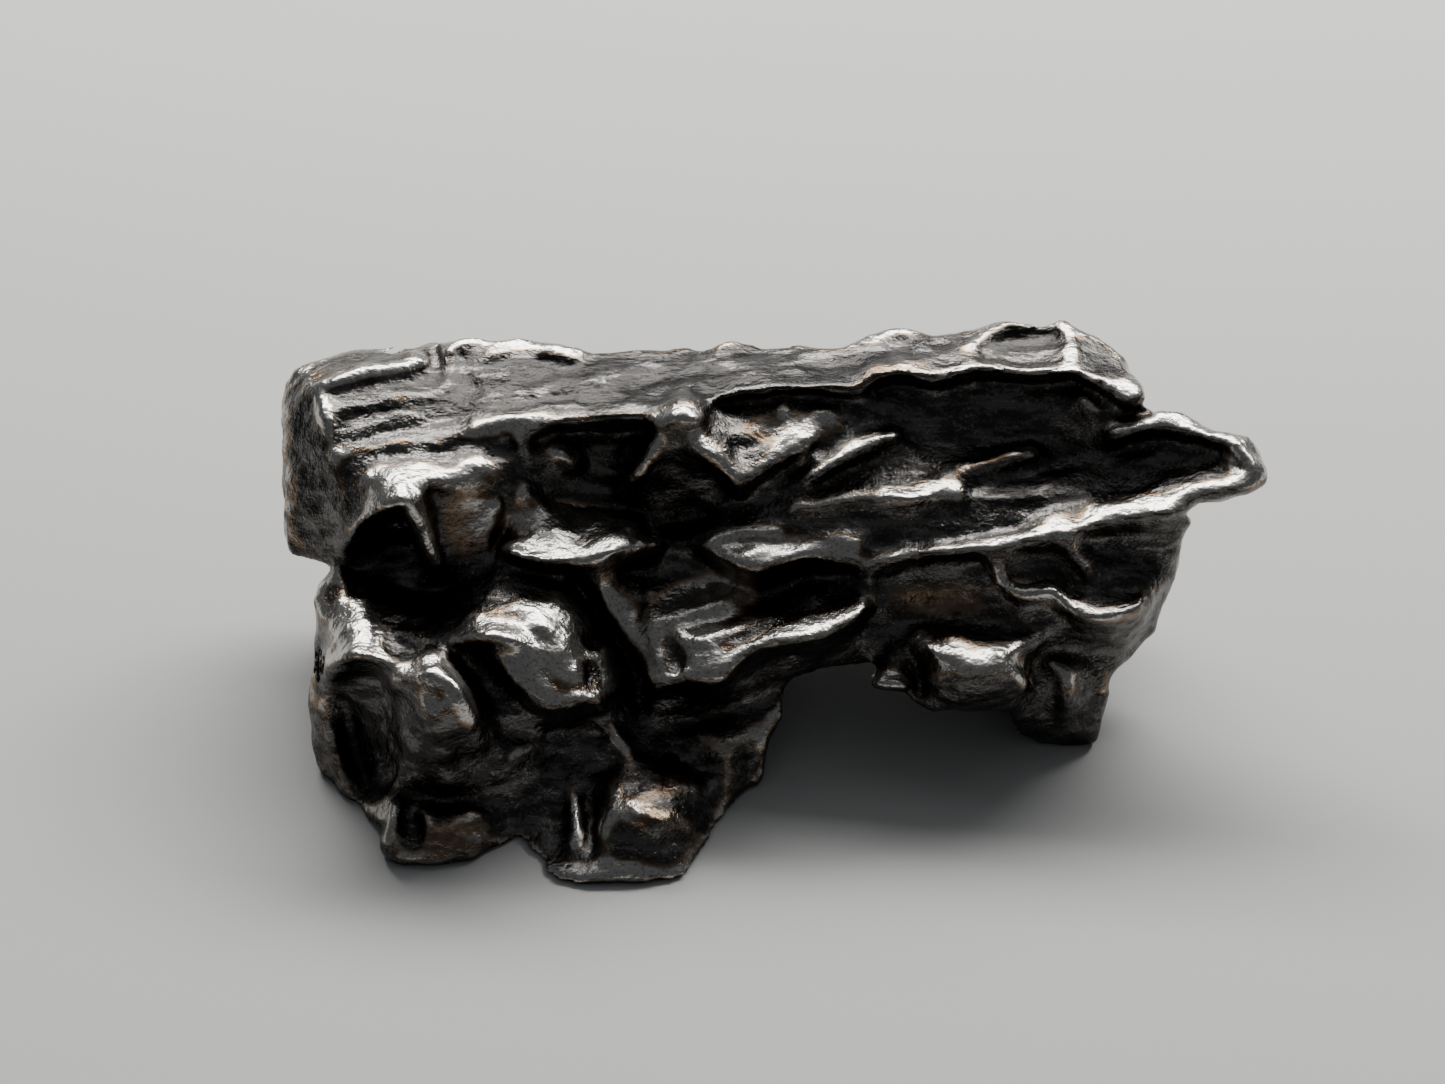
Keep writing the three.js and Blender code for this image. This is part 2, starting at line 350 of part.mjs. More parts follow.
  overBeanBack: [[922, 630, -0.2], [960, 634, 0.2], [1000, 636, 0.25], [1034, 628, -0.2]],
  beanTop: [[932, 660, 0.9], [965, 664, 1.4], [1000, 666, 1.4], [1020, 676, 1.1], [1026, 692, 0.6]],
  beanBelly: [[930, 680, 0.7], [965, 688, 1.1], [1000, 692, 0.9]],
  beanSole: [[932, 708, 0.1], [965, 714, 0.2], [1000, 712, 0.0], [1016, 704, 0.0]],
  beanGap: [[916, 660, -0.6], [919, 690, -0.7]],
  beanGapRight: [[1032, 660, -0.9], [1036, 690, -1.0], [1022, 716, -1.1]],
  lumpEdge: [[872, 681, 0.0], [886, 685, 0.3], [900, 686, 0.4], [912, 684, 0.3]],
  lumpTop: [[906, 652, -0.5], [898, 668, -0.2], [886, 674, -0.2]],
  lumpBack: [[880, 650, -0.9], [870, 668, -0.8]],
  heelRib: [[1054, 666, -0.4], [1068, 680, -0.3], [1070, 700, -0.6], [1063, 720, -1.0]],
  heelLeft: [[1045, 690, -1.0], [1046, 715, -1.4], [1035, 738, -1.9]],
  heelRight: [[1090, 680, -1.2], [1094, 710, -1.6], [1088, 740, -2.3]],
  heelSole: [[1020, 736, -2.1], [1050, 746, -2.5], [1085, 748, -2.6]],
  archBrow: [[1126, 403, -0.8], [1139, 398, -0.9], [1152, 402, -1.0], [1162, 411, -1.0]],
  arch: [[1124, 414, -1.9], [1138, 410, -2.2], [1150, 414, -2.0]],
  archSill: [[1116, 428, -1.1], [1134, 424, -1.1], [1150, 420, -1.0]],
  troughRim: [[1112, 440, -0.9], [1135, 431, -0.9], [1160, 427, -0.9], [1182, 430, -0.8],
    [1204, 436, -0.5], [1224, 441, -0.2], [1238, 446, 0.0], [1247, 456, 0.2], [1251, 468, 0.35]],
  beakCrown: [[1164, 406, -1.5], [1190, 416, -1.4], [1214, 427, -1.0], [1236, 436, -0.6],
    [1254, 450, -0.3]],
  troughWall: [[1092, 462, -2.1], [1120, 447, -1.9], [1160, 440, -1.8], [1196, 444, -1.4],
    [1226, 451, -0.7]],
  trough: [[1095, 482, -1.7], [1130, 474, -1.7], [1170, 468, -1.5], [1210, 462, -1.0],
    [1238, 466, -0.3]],
  beamBack: [[1068, 508, -0.6], [1100, 500, -0.7], [1150, 490, -0.7], [1196, 478, -0.5],
    [1236, 474, 0.0]],
  beamEdge: [[1256, 482, 0.4], [1240, 490, 0.55], [1215, 498, 0.6], [1190, 507, 0.65],
    [1160, 515, 0.65], [1130, 520, 0.55], [1100, 525, 0.5], [1074, 531, 0.5], [1058, 528, 0.4]],
  underBeam: [[1088, 541, -0.6], [1120, 534, -0.6], [1160, 529, -0.5], [1196, 518, -0.4],
    [1230, 502, -0.2]],
  beakEnd: [[1262, 462, 0.0], [1264, 476, 0.2], [1256, 489, 0.1]],
  cupRim: [[956, 364, -1.8], [966, 350, -2.4], [980, 336, -3.1], [1000, 324, -3.7], [1020, 318, -4.0],
    [1045, 317, -4.1], [1061, 322, -3.8], [1069, 336, -3.0], [1071, 350, -2.2], [1066, 361, -1.7]],
  cupBehind: [[962, 336, -3.8], [985, 322, -4.6], [1020, 313, -4.6]],
  cupFloorNear: [[984, 358, -2.5], [1010, 360, -2.8], [1040, 359, -2.8], [1058, 354, -2.6]],
  cupFloorFar: [[984, 348, -3.1], [1010, 340, -3.8], [1040, 336, -4.2], [1058, 334, -4.0]],
  facetEdge: [[1071, 350, -2.2], [1080, 364, -1.7], [1100, 376, -1.4], [1130, 383, -1.3],
    [1150, 389, -1.5]],
  facetFace: [[1082, 346, -2.9], [1100, 358, -2.6], [1124, 372, -2.3]],
  facetRim: [[1070, 322, -3.9], [1090, 335, -3.7], [1114, 350, -3.3], [1136, 370, -2.6],
    [1156, 392, -2.0]],
};

// Low ridges and channels of the front: pixels along each, half width in pixels, lift.
const STREAKS = {
  endBlob: [[[324, 402], [326, 424]], 7, 0.3],
  topLeftBack: [[[335, 380], [380, 368], [426, 360]], 7, 0.25],
  topLeftBackDip: [[[345, 392], [390, 384], [425, 378]], 7, -0.2],
  topLeftFirst: [[[345, 408], [390, 400], [430, 396]], 6, 0.18],
  topLeftSecond: [[[350, 432], [385, 421], [410, 416]], 6, 0.2],
  topLeftSecondDip: [[[360, 442], [400, 431], [440, 420]], 6, -0.18],
  topLeftThird: [[[335, 458], [358, 447], [400, 440], [436, 444]], 6, 0.18],
  cornerCrease: [[[395, 458], [425, 452], [452, 460]], 6, -0.2],
  topNotchSide: [[[444, 350], [446, 372], [440, 392]], 7, 0.22],
  brownDip: [[[462, 358], [468, 384]], 9, -0.25],
  browRidge: [[[440, 440], [478, 428], [505, 416], [545, 414]], 6, 0.22],
  browDip: [[[455, 420], [490, 408], [530, 400]], 7, -0.2],
  crestMiddle: [[[490, 350], [530, 344], [578, 356]], 7, 0.25],
  crestMiddleDip: [[[540, 362], [575, 368], [600, 362]], 7, -0.25],
  crestMiddleFront: [[[498, 374], [525, 366], [552, 372]], 6, 0.2],
  topMiddleFirst: [[[520, 394], [560, 386], [605, 379]], 6, 0.2],
  topMiddleFirstDip: [[[545, 402], [590, 396], [640, 392]], 6, -0.15],
  topMiddleSecond: [[[595, 376], [640, 366], [668, 364]], 7, 0.22],
  topMiddleDip: [[[630, 380], [680, 372], [720, 366]], 7, -0.2],
  topMiddleThird: [[[690, 384], [740, 374], [800, 368]], 7, 0.18],
  topSlot: [[[705, 353], [745, 350], [790, 350]], 6, -0.4],
  topSlotRim: [[[700, 362], [745, 359], [790, 359]], 5, 0.15],
  topRightFirst: [[[800, 352], [840, 350], [880, 344]], 7, 0.22],
  topRightDip: [[[830, 366], [870, 358], [900, 356]], 7, -0.2],
  topRightSecond: [[[872, 334], [905, 325], [945, 318]], 6, 0.25],
  topRightSecondDip: [[[890, 344], [930, 334], [955, 330]], 6, -0.25],
  topRightThird: [[[905, 362], [935, 356], [955, 350]], 6, 0.15],
  knob: [[[337, 570], [344, 588]], 8, 0.4],
  knobSecond: [[[356, 580], [372, 590]], 6, 0.25],
  domeStreak: [[[362, 612], [378, 636]], 8, 0.2],
  domeSide: [[[404, 630], [424, 658]], 6, 0.25],
  domeSideDip: [[[420, 626], [438, 648]], 6, -0.2],
  shieldBlob: [[[522, 600], [545, 632]], 10, 0.22],
  shieldNick: [[[536, 634], [552, 644]], 6, -0.25],
  shieldFaceRidge: [[[528, 664], [546, 690]], 6, 0.15],
  disc: [[[606, 650], [611, 668], [610, 686]], 11, 0.5],
  discSide: [[[592, 640], [588, 668]], 6, -0.25],
  knuckleRib: [[[484, 700], [490, 724], [500, 748]], 6, 0.2],
  knuckleNub: [[[514, 760], [524, 750]], 7, 0.35],
  faceGroove: [[[440, 700], [446, 730], [462, 756]], 8, -0.2],
  pocket: [[[410, 816], [416, 832]], 9, -0.4],
  pocketRim: [[[427, 812], [430, 836]], 5, 0.2],
  patchLeftBit: [[[500, 508], [522, 498]], 7, 0.2],
  patchLeftNotch: [[[500, 538], [526, 532]], 6, -0.3],
  patchGrain: [[[545, 512], [560, 546]], 7, 0.15],
  patchGrainDip: [[[574, 516], [584, 548]], 7, -0.15],
  patchGrainSecond: [[[596, 514], [612, 536]], 6, 0.15],
  patchRim: [[[602, 556], [624, 543]], 5, 0.25],
  patchTail: [[[634, 526], [655, 545]], 6, 0.2],
  cavityBead: [[[526, 452], [540, 446]], 7, 0.3],
  cavityBeadSecond: [[[560, 456], [574, 470]], 7, 0.3],
  shelfRidgeFirst: [[[664, 618], [705, 604], [752, 593]], 7, 0.25],
  shelfDipFirst: [[[640, 604], [680, 594], [730, 582]], 7, -0.25],
  shelfDipSecond: [[[690, 626], [740, 614], [780, 600]], 6, -0.2],
  shelfRidgeSecond: [[[700, 640], [745, 624], [775, 612]], 6, 0.2],
  shelfRidgeThird: [[[648, 590], [652, 625], [658, 662]], 7, 0.25],
  shelfDipThird: [[[668, 636], [676, 664]], 7, -0.25],
  shelfBlob: [[[700, 662], [718, 672]], 12, 0.2],
  shelfDipFourth: [[[740, 640], [775, 622], [820, 608]], 6, -0.15],
  shelfBit: [[[800, 590], [812, 598]], 6, 0.25],
  facetBit: [[[716, 418], [728, 430]], 7, 0.2],
  facetDip: [[[745, 448], [775, 436]], 6, -0.25],
  facetMiddleBit: [[[820, 408], [838, 424]], 8, 0.2],
  centreDip: [[[720, 542], [750, 544], [790, 545]], 5, -0.2],
  centreBit: [[[838, 536], [856, 544]], 8, 0.2],
  centreBitSecond: [[[744, 558], [762, 548]], 7, 0.2],
  floorGrain: [[[958, 470], [996, 462], [1030, 452]], 7, 0.25],
  floorGrainDip: [[[975, 486], [1020, 474], [1060, 462]], 8, -0.3],
  floorGrainSecond: [[[880, 502], [925, 496]], 6, 0.2],
  floorGrainThird: [[[1000, 500], [1050, 492], [1100, 484]], 7, 0.2],
  treadGrain: [[[900, 540], [940, 528]], 7, 0.15],
  treadGrainDip: [[[930, 545], [985, 532], [1030, 522]], 6, -0.15],
  facetGrain: [[[900, 596], [945, 590]], 8, 0.15],
  beanGrain: [[[950, 634], [990, 642], [1020, 638]], 6, 0.2],
  beanRim: [[[1000, 654], [1020, 664], [1026, 684]], 6, 0.2],
  beanDip: [[[950, 684], [990, 694]], 12, -0.15],
  heelBit: [[[1052, 662], [1066, 672]], 7, 0.3],
  heelRibBit: [[[1068, 690], [1066, 716]], 7, 0.25],
  troughGrain: [[[1120, 466], [1150, 460]], 7, 0.2],
  beamGrain: [[[1090, 512], [1140, 500], [1190, 488]], 6, 0.15],
  beamGrainDip: [[[1110, 492], [1160, 482]], 6, -0.15],
  cupBit: [[[1000, 352], [1040, 346]], 6, 0.15],
  facetPatch: [[[1094, 356], [1112, 368]], 8, -0.15],
};

// Low round swellings of the front: middle and radii in pixels, clockwise roll in degrees, lift.
const SWELLS = {
  corner: [[392, 488], [40, 24], -12, 0.3],
  nose: [[690, 448], [26, 34], 0, 0.4],
  facetLeft: [[748, 434], [26, 16], -30, 0.25],
  facetRight: [[806, 424], [28, 14], -20, 0.25],
  rightPatch: [[770, 540], [52, 18], 0, 0.3],
  dome: [[352, 670], [30, 44], 0, 0.6],
  knuckle: [[440, 714], [38, 42], 0, 0.85],
  thirdKnuckle: [[492, 636], [42, 18], 0, 0.35],
  shield: [[562, 640], [34, 42], 0, 0.3],
  shelf: [[704, 646], [48, 36], -20, 0.4],
  shelfBand: [[810, 632], [52, 18], -22, 0.35],
  bean: [[980, 686], [44, 22], 0, 0.55],
  rightFoot: [[655, 812], [38, 34], 0, 0.4],
  leftFoot: [[440, 832], [40, 20], 0, 0.2],
};

const radians = THREE.MathUtils.degToRad;
const SIN_EYE = Math.sin(radians(EYE_ELEVATION));
const COS_EYE = Math.cos(radians(EYE_ELEVATION));
const NEAR_AXIS = [0, -COS_EYE, SIN_EYE];
const UP_AXIS = [0, SIN_EYE, COS_EYE];
const SIGHT_AXES = [[1, 0, 0], UP_AXIS, NEAR_AXIS];

const dot = (a, b) => a[0] * b[0] + a[1] * b[1] + a[2] * b[2];
const plus = (a, b, scale = 1) => [a[0] + b[0] * scale, a[1] + b[1] * scale, a[2] + b[2] * scale];
const minus = (a, b) => plus(a, b, -1);
const times = (a, scale) => [a[0] * scale, a[1] * scale, a[2] * scale];
const length = (a) => Math.hypot(a[0], a[1], a[2]);
const unit = (a) => times(a, 1 / length(a));
const cross = (a, b) => [
  a[1] * b[2] - a[2] * b[1],
  a[2] * b[0] - a[0] * b[2],
  a[0] * b[1] - a[1] * b[0],
];

// The point of the stone's frame at a pixel and a nearness.
function place([u, v, near]) {
  const scale = (EYE_DISTANCE - near) / LENS_PIXELS;
  const across = (u - PHOTO_WIDTH / 2) * scale;
  const up = (PHOTO_HEIGHT / 2 - v) * scale;
  const level = plus(times(UP_AXIS, up), NEAR_AXIS, near);
  return plus(plus(STONE_MIDDLE, level), [1, 0, 0], across);
}

// The pixel, the nearness and the millimetres per pixel of a point of the stone's frame.
function sight(p) {
  const from = minus(p, STONE_MIDDLE);
  const near = dot(from, NEAR_AXIS);
  const scale = (EYE_DISTANCE - near) / LENS_PIXELS;
  return {
    u: PHOTO_WIDTH / 2 + from[0] / scale,
    v: PHOTO_HEIGHT / 2 - dot(from, UP_AXIS) / scale,
    near,
    scale,
  };
}

// The axes of a frame, rolled about the last one.
function rolled(roll, [across, up, out]) {
  const [c, s] = [Math.cos(radians(roll)), Math.sin(radians(roll))];
  return [plus(times(across, c), up, s), plus(times(up, c), across, -s), out];
}

// Reach of a local box of half sizes along the stone's axes.
const boxReach = (axes, half) =>
  [0, 1, 2].map((n) => axes.reduce((sum, axis, m) => sum + Math.abs(axis[n]) * half[m], 0));

const ballReach = (axes, radii) =>
  [0, 1, 2].map((n) => Math.hypot(...axes.map((axis, m) => axis[n] * radii[m])));

function ellipsoid(middle, radii, axes) {
  const distance = (p) => {
    const q = axes.map((axis) => dot(axis, minus(p, middle)));
    const stretch = Math.hypot(q[0] / radii[0], q[1] / radii[1], q[2] / radii[2]);
    const slope = Math.hypot(q[0] / radii[0] ** 2, q[1] / radii[1] ** 2, q[2] / radii[2] ** 2) + LEAST_SLOPE;
    return (stretch * (stretch - 1)) / slope;
  };
  return { middle, reach: ballReach(axes, radii), distance };
}

function roundedBox(middle, half, axes, rounding) {
  const distance = (p) => {
    const q = axes.map((axis, m) => Math.abs(dot(axis, minus(p, middle))) - (half[m] - rounding));
    const outside = Math.hypot(Math.max(q[0], 0), Math.max(q[1], 0), Math.max(q[2], 0));
    return outside + Math.min(Math.max(q[0], q[1], q[2]), 0) - rounding;
  };
  return { middle, reach: boxReach(axes, half), distance };
}

// Bounds of a path, widened by a margin.
function pathBounds(points, margin) {
  const low = [0, 1, 2].map((n) => Math.min(...points.map((p) => p[n])));
  const high = [0, 1, 2].map((n) => Math.max(...points.map((p) => p[n])));
  return {
    middle: times(plus(low, high), 0.5),
    reach: plus(times(minus(high, low), 0.5), [margin, margin, margin]),
  };
}

function taperedRod(points, radii) {
  const distance = (p) => {
    let nearest = Infinity;
    for (let i = 0; i + 1 < points.length; i += 1) {
      const along = minus(points[i + 1], points[i]);
      const share = THREE.MathUtils.clamp(dot(minus(p, points[i]), along) / dot(along, along), 0, 1);
      const gap = length(minus(p, plus(points[i], along, share)));
      nearest = Math.min(nearest, gap - radii[i] - share * (radii[i + 1] - radii[i]));
    }
    return nearest;
  };
  return { ...pathBounds(points, Math.max(...radii)), distance };
}

function softMin(a, b, blend) {
  const overlap = Math.max(blend - Math.abs(a - b), 0) / blend;
  return Math.min(a, b) - (overlap * overlap * blend) / 4;
}

function softMax(a, b, blend) {
  const overlap = Math.max(blend - Math.abs(a - b), 0) / blend;
  return Math.max(a, b) + (overlap * overlap * blend) / 4;
}

// Each coordinate is shifted a little by a slow and a quick wave of the others.
function waved([x, y, z]) {
  const slow = [[y, z], [z, x], [x, y]];
  const quick = [[z, x], [x, y], [y, z]];
  return [x, y, z].map((value, n) => {
    const [slowA, slowB, slowShift] = SLOW_WAVES[n];
    const [quickA, quickB, quickShift] = QUICK_WAVES[n];
    const first = Math.sin(slowA * slow[n][0] + slowB * slow[n][1] + slowShift);
    const second = Math.sin(quickA * quick[n][0] + quickB * quick[n][1] + quickShift);
    return value + WAVE_SIZE * (first + WAVE_SECOND * second);
  });
}

// Three fixed numbers from 0 to 1 for a whole-numbered cell.
function cellNumbers(cell, salt) {
  let mix = cell.reduce((sum, value, n) => sum ^ Math.imul(value, CELL_PRIMES[n]), salt);
  mix = Math.imul(mix ^ (mix >>> CELL_SHIFTS[0]), CELL_MIXER);
  mix ^= mix >>> CELL_SHIFTS[1];
  return [0, 1, 2].map((n) => ((mix >>> (n * NUMBER_BITS)) & NUMBER_TOP) / NUMBER_TOP);
}

// Distance to the nearest scallop middle, in cells.
function scallopDistance([x, y, z], cell, salt) {
  const grain = radians(GRAIN_ANGLE);
  const q = [
    (x * Math.cos(grain) + y * Math.sin(grain)) / (cell * SCALLOP_STRETCH),
    (y * Math.cos(grain) - x * Math.sin(grain)) / cell,
    z / cell,
  ];
  const base = q.map(Math.floor);
  let nearest = Infinity;
  for (const i of [-1, 0, 1])
    for (const j of [-1, 0, 1])
      for (const k of [-1, 0, 1]) {
        const home = plus(base, [i, j, k]);
        nearest = Math.min(nearest, length(minus(plus(home, cellNumbers(home, salt)), q)));
      }
  return nearest;
}

// Distance from a pixel to a path of pixels.
function pathDistance(path, [u, v]) {
  let nearest = Infinity;
  for (let n = 0; n + 1 < path.length; n += 1) {
    const [u0, v0] = path[n];
    const [du, dv] = [path[n + 1][0] - u0, path[n + 1][1] - v0];
    const share = THREE.MathUtils.clamp(((u - u0) * du + (v - v0) * dv) / (du * du + dv * dv), 0, 1);
    nearest = Math.min(nearest, Math.hypot(u - u0 - share * du, v - v0 - share * dv));
  }
  return nearest;
}

// A film over the front, stretched between lines of known nearness: the nearness of the skin, its
// slope, and the distance to the outline, all kept on one grid of pixels.
class Film {
  constructor(lines, streaks, swells, outline) {
    this.near = new Float64Array(FILM_COUNT[0] * FILM_COUNT[1]);
    this.pinned = new Float64Array(this.near.length);
    lines.forEach((line) => this.pin(line));
    this.stretch();
    this.near = this.map((i, j) => this.scored(streaks, this.near[this.index(i, j)], this.pixel(i, j)));
    this.near = this.map((i, j) => this.near[this.index(i, j)] + Film.swelling(swells, this.pixel(i, j)));
    for (let n = 0; n < FILM_EASING; n += 1) this.ease();
    this.slope = this.map((i, j) => this.slopeAt(i, j));
    this.edge = this.map((i, j) => Film.outlineDistance(outline, this.pixel(i, j)));
  }

  pixel(i, j) {
    return [FILM_START[0] + i * FILM_CELL, FILM_START[1] + j * FILM_CELL];
  }

  // Place in the grid, held inside its border.
  index(i, j) {
    const column = THREE.MathUtils.clamp(i, 0, FILM_COUNT[0] - 1);
    const row = THREE.MathUtils.clamp(j, 0, FILM_COUNT[1] - 1);
    return column * FILM_COUNT[1] + row;
  }

  // A new grid from a rule for each cell.
  map(rule) {
    return this.near.map((value, n) => rule(Math.floor(n / FILM_COUNT[1]), n % FILM_COUNT[1]));
  }

  // Fixes the cells along a line; a cell that several lines meet takes their average.
  pin(line) {
    for (let n = 0; n + 1 < line.length; n += 1) {
      const whole = minus(line[n + 1], line[n]);
      const steps = Math.max(1, Math.ceil((2 * Math.hypot(whole[0], whole[1])) / FILM_CELL));
      for (let step = 0; step <= steps; step += 1) {
        const [u, v, near] = plus(line[n], whole, step / steps);
        const i = Math.round((u - FILM_START[0]) / FILM_CELL);
        const cell = this.index(i, Math.round((v - FILM_START[1]) / FILM_CELL));
        this.pinned[cell] += 1;
        this.near[cell] += (near - this.near[cell]) / this.pinned[cell];
      }
    }
  }

  around(i, j) {
    const { near } = this;
    return near[this.index(i - 1, j)] + near[this.index(i + 1, j)]
      + near[this.index(i, j - 1)] + near[this.index(i, j + 1)];
  }

  // Each free cell is pulled towards the middle of its neighbours until the film is taut.
  stretch() {
    for (let pass = 0; pass < FILM_PASSES; pass += 1)
      for (let i = 0; i < FILM_COUNT[0]; i += 1)
        for (let j = 0; j < FILM_COUNT[1]; j += 1) {
          const cell = this.index(i, j);
          if (!this.pinned[cell]) this.near[cell] += FILM_PULL * (this.around(i, j) / 4 - this.near[cell]);
        }
  }

  // Nearness with the lift of each streak, which fades out across it.
  scored(streaks, near, pixel) {
    return streaks.reduce((sum, [path, halfWidth, lift]) => {
      const gap = pathDistance(path, pixel) / halfWidth;
      return sum + lift * Math.exp(-gap * gap);
    }, near);
  }

  // Lift of the round swellings at a pixel.
  static swelling(swells, [u, v]) {
    return swells.reduce((sum, [middle, radii, roll, lift]) => {
      const turn = THREE.MathUtils.degToRad(roll);
      const [c, s] = [Math.cos(turn), Math.sin(turn)];
      const [du, dv] = [u - middle[0], v - middle[1]];
      const along = (du * c + dv * s) / radii[0];
      const across = (dv * c - du * s) / radii[1];
      return sum + lift * Math.exp(-along * along - across * across);
    }, 0);
  }

  // Rounds the film's creases a little.
  ease() {
    const across = this.map((i, j) => this.weighted(this.near, [i, j], [1, 0]));
    this.near = this.map((i, j) => this.weighted(across, [i, j], [0, 1]));
  }

  // A cell's value, blended with those of its two neighbours along one direction.
  weighted(grid, [i, j], [di, dj]) {
    const sides = grid[this.index(i - di, j - dj)] + grid[this.index(i + di, j + dj)];
    return grid[this.index(i, j)] / 2 + sides / 4;
  }

  // Change of nearness for each pixel.
  slopeAt(i, j) {
    const across = this.near[this.index(i + 1, j)] - this.near[this.index(i - 1, j)];
    const down = this.near[this.index(i, j + 1)] - this.near[this.index(i, j - 1)];
    return Math.hypot(across, down) / (2 * FILM_CELL);
  }

  // Pixels from a point to the outline, negative inside it.
  static outlineDistance(outline, [u, v]) {
    let inside = false;
    outline.forEach(([u0, v0], n) => {
      const [u1, v1] = outline[(n + 1) % outline.length];
      if (v0 > v !== v1 > v && u < u0 + ((v - v0) * (u1 - u0)) / (v1 - v0)) inside = !inside;
    });
    const gap = pathDistance([...outline, outline[0]], [u, v]);
    return inside ? -gap : gap;
  }

  // Value of a grid at a pixel, blended from the four cells round it.
  read(grid, u, v) {
    const [x, y] = [(u - FILM_START[0]) / FILM_CELL, (v - FILM_START[1]) / FILM_CELL];
    const [i, j] = [Math.floor(x), Math.floor(y)];
    const [a, b] = [THREE.MathUtils.clamp(x - i, 0, 1), THREE.MathUtils.clamp(y - j, 0, 1)];
    const left = grid[this.index(i, j)] * (1 - b) + grid[this.index(i, j + 1)] * b;
    const right = grid[this.index(i + 1, j)] * (1 - b) + grid[this.index(i + 1, j + 1)] * b;
    return left * (1 - a) + right * a;
  }
}

// A distance field on a grid: negative inside the iron, positive outside.
class Clay {
  constructor() {
    this.count = [0, 1, 2].map((n) => Math.round((WORK_HIGH[n] - WORK_LOW[n]) / GRID_STEP) + 1);
    this.stride = [this.count[1] * this.count[2], this.count[2], 1];
    this.field = new Float32Array(this.count[0] * this.stride[0]).fill(FAR_OUTSIDE);
  }

  point(i, j, k) {
    return [WORK_LOW[0] + i * GRID_STEP, WORK_LOW[1] + j * GRID_STEP, WORK_LOW[2] + k * GRID_STEP];
  }

  forEach(visit) {
    for (let i = 0, n = 0; i < this.count[0]; i += 1)
      for (let j = 0; j < this.count[1]; j += 1)
        for (let k = 0; k < this.count[2]; k += 1, n += 1) visit(n, i, j, k);
  }

  // Adds a shape to the clay, or cuts it out.
  press(shape, blend, cuts = false) {
    const [first, last] = [-1, 1].map((side) => [0, 1, 2].map((n) => {
      const bound = shape.middle[n] + side * (shape.reach[n] + PRESS_MARGIN + blend);
      return THREE.MathUtils.clamp(Math.round((bound - WORK_LOW[n]) / GRID_STEP), 0, this.count[n] - 1);
    }));
    for (let i = first[0]; i <= last[0]; i += 1)
      for (let j = first[1]; j <= last[1]; j += 1)
        for (let k = first[2]; k <= last[2]; k += 1) {
          const n = i * this.stride[0] + j * this.stride[1] + k;
          const d = shape.distance(waved(this.point(i, j, k)));
          this.field[n] = cuts ? softMax(this.field[n], -d, blend) : softMin(this.field[n], d, blend);
        }
  }

  // Field value at any point, blended from the eight grid points round it.
  sample(p) {
    const g = [0, 1, 2].map((n) => (p[n] - WORK_LOW[n]) / GRID_STEP);
    const base = g.map(Math.floor);
    if (p[2] < 0 || base.some((b, n) => b < 0 || b + 1 >= this.count[n])) return FAR_OUTSIDE;
    const f = g.map((value, n) => value - base[n]);
    const start = base[0] * this.stride[0] + base[1] * this.stride[1] + base[2];
    let value = 0;
    for (let corner = 0; corner < 8; corner += 1) {
      const bits = [corner & 1, (corner >> 1) & 1, corner >> 2];
      const weight = bits.reduce((w, bit, n) => w * (bit ? f[n] : 1 - f[n]), 1);
      value += weight * this.field[start + dot(bits, this.stride)];
    }
    return value;
  }

  // First point of the skin along a ray, or null.
  cast(origin, direction, far) {
    let before = FAR_OUTSIDE;
    for (let travel = CAST_STEP; travel < far; travel += CAST_STEP) {
      const value = this.sample(plus(origin, direction, travel));
      if (value < 0) return plus(origin, direction, travel - (CAST_STEP * value) / (value - before));
      before = value;
    }
    return null;
  }

  bulk([middle, half, yaw, rounding, blend]) {
    const axes = rolled(yaw, [[1, 0, 0], [0, 1, 0], [0, 0, 1]]);
    this.press(roundedBox(middle, half, axes, rounding), blend);
  }

  beam([path, blend]) {
    this.press(taperedRod(path.map(place), path.map((p) => p[3])), blend);
  }

  // A hollow of a hidden side, where a ray from outside meets the skin.
  dent([aim, azimuth, elevation, depth, radii, roll]) {
    const a = radians(azimuth);
    const e = radians(elevation);
    const out = [Math.sin(a) * Math.cos(e), -Math.cos(a) * Math.cos(e), Math.sin(e)];
    const side = [Math.cos(a), Math.sin(a), 0];
    const point = this.cast(plus(aim, out, CAST_START), times(out, -1), 2 * CAST_START);
    if (!point) return;
    const axes = rolled(roll, [side, cross(out, side), out]);
    const rise = Math.max(depth * DENT_ROUNDNESS, Math.min(...radii));
    this.press(ellipsoid(plus(point, out, rise - depth), [...radii, rise], axes), DENT_BLEND, true);
  }

  // Cuts the clay back to the outline and to the film.
  face(film) {
    this.forEach((n, i, j, k) => {
      const { u, v, near, scale } = sight(this.point(i, j, k));
      const slope = Math.min(film.read(film.slope, u, v) / scale, FILM_STEEPEST);
      const front = (near - film.read(film.near, u, v)) / Math.hypot(1, slope);
      const trimmed = softMax(this.field[n], film.read(film.edge, u, v) * scale, OUTLINE_BLEND);
      this.field[n] = softMax(trimmed, front, FILM_BLEND);
    });
  }

  // Sinks the skin into scallops, as deep as the weight at each point allows.
  scallop({ cell, depth, salt }, weight) {
    this.forEach((n, i, j, k) => {
      if (Math.abs(this.field[n]) > SCALLOP_BAND) return;
      const p = this.point(i, j, k);
      const gap = scallopDistance(p, cell, salt) / SCALLOP_REACH;
      this.field[n] += weight(p) * depth * Math.max(0, 1 - gap * gap);
    });
  }

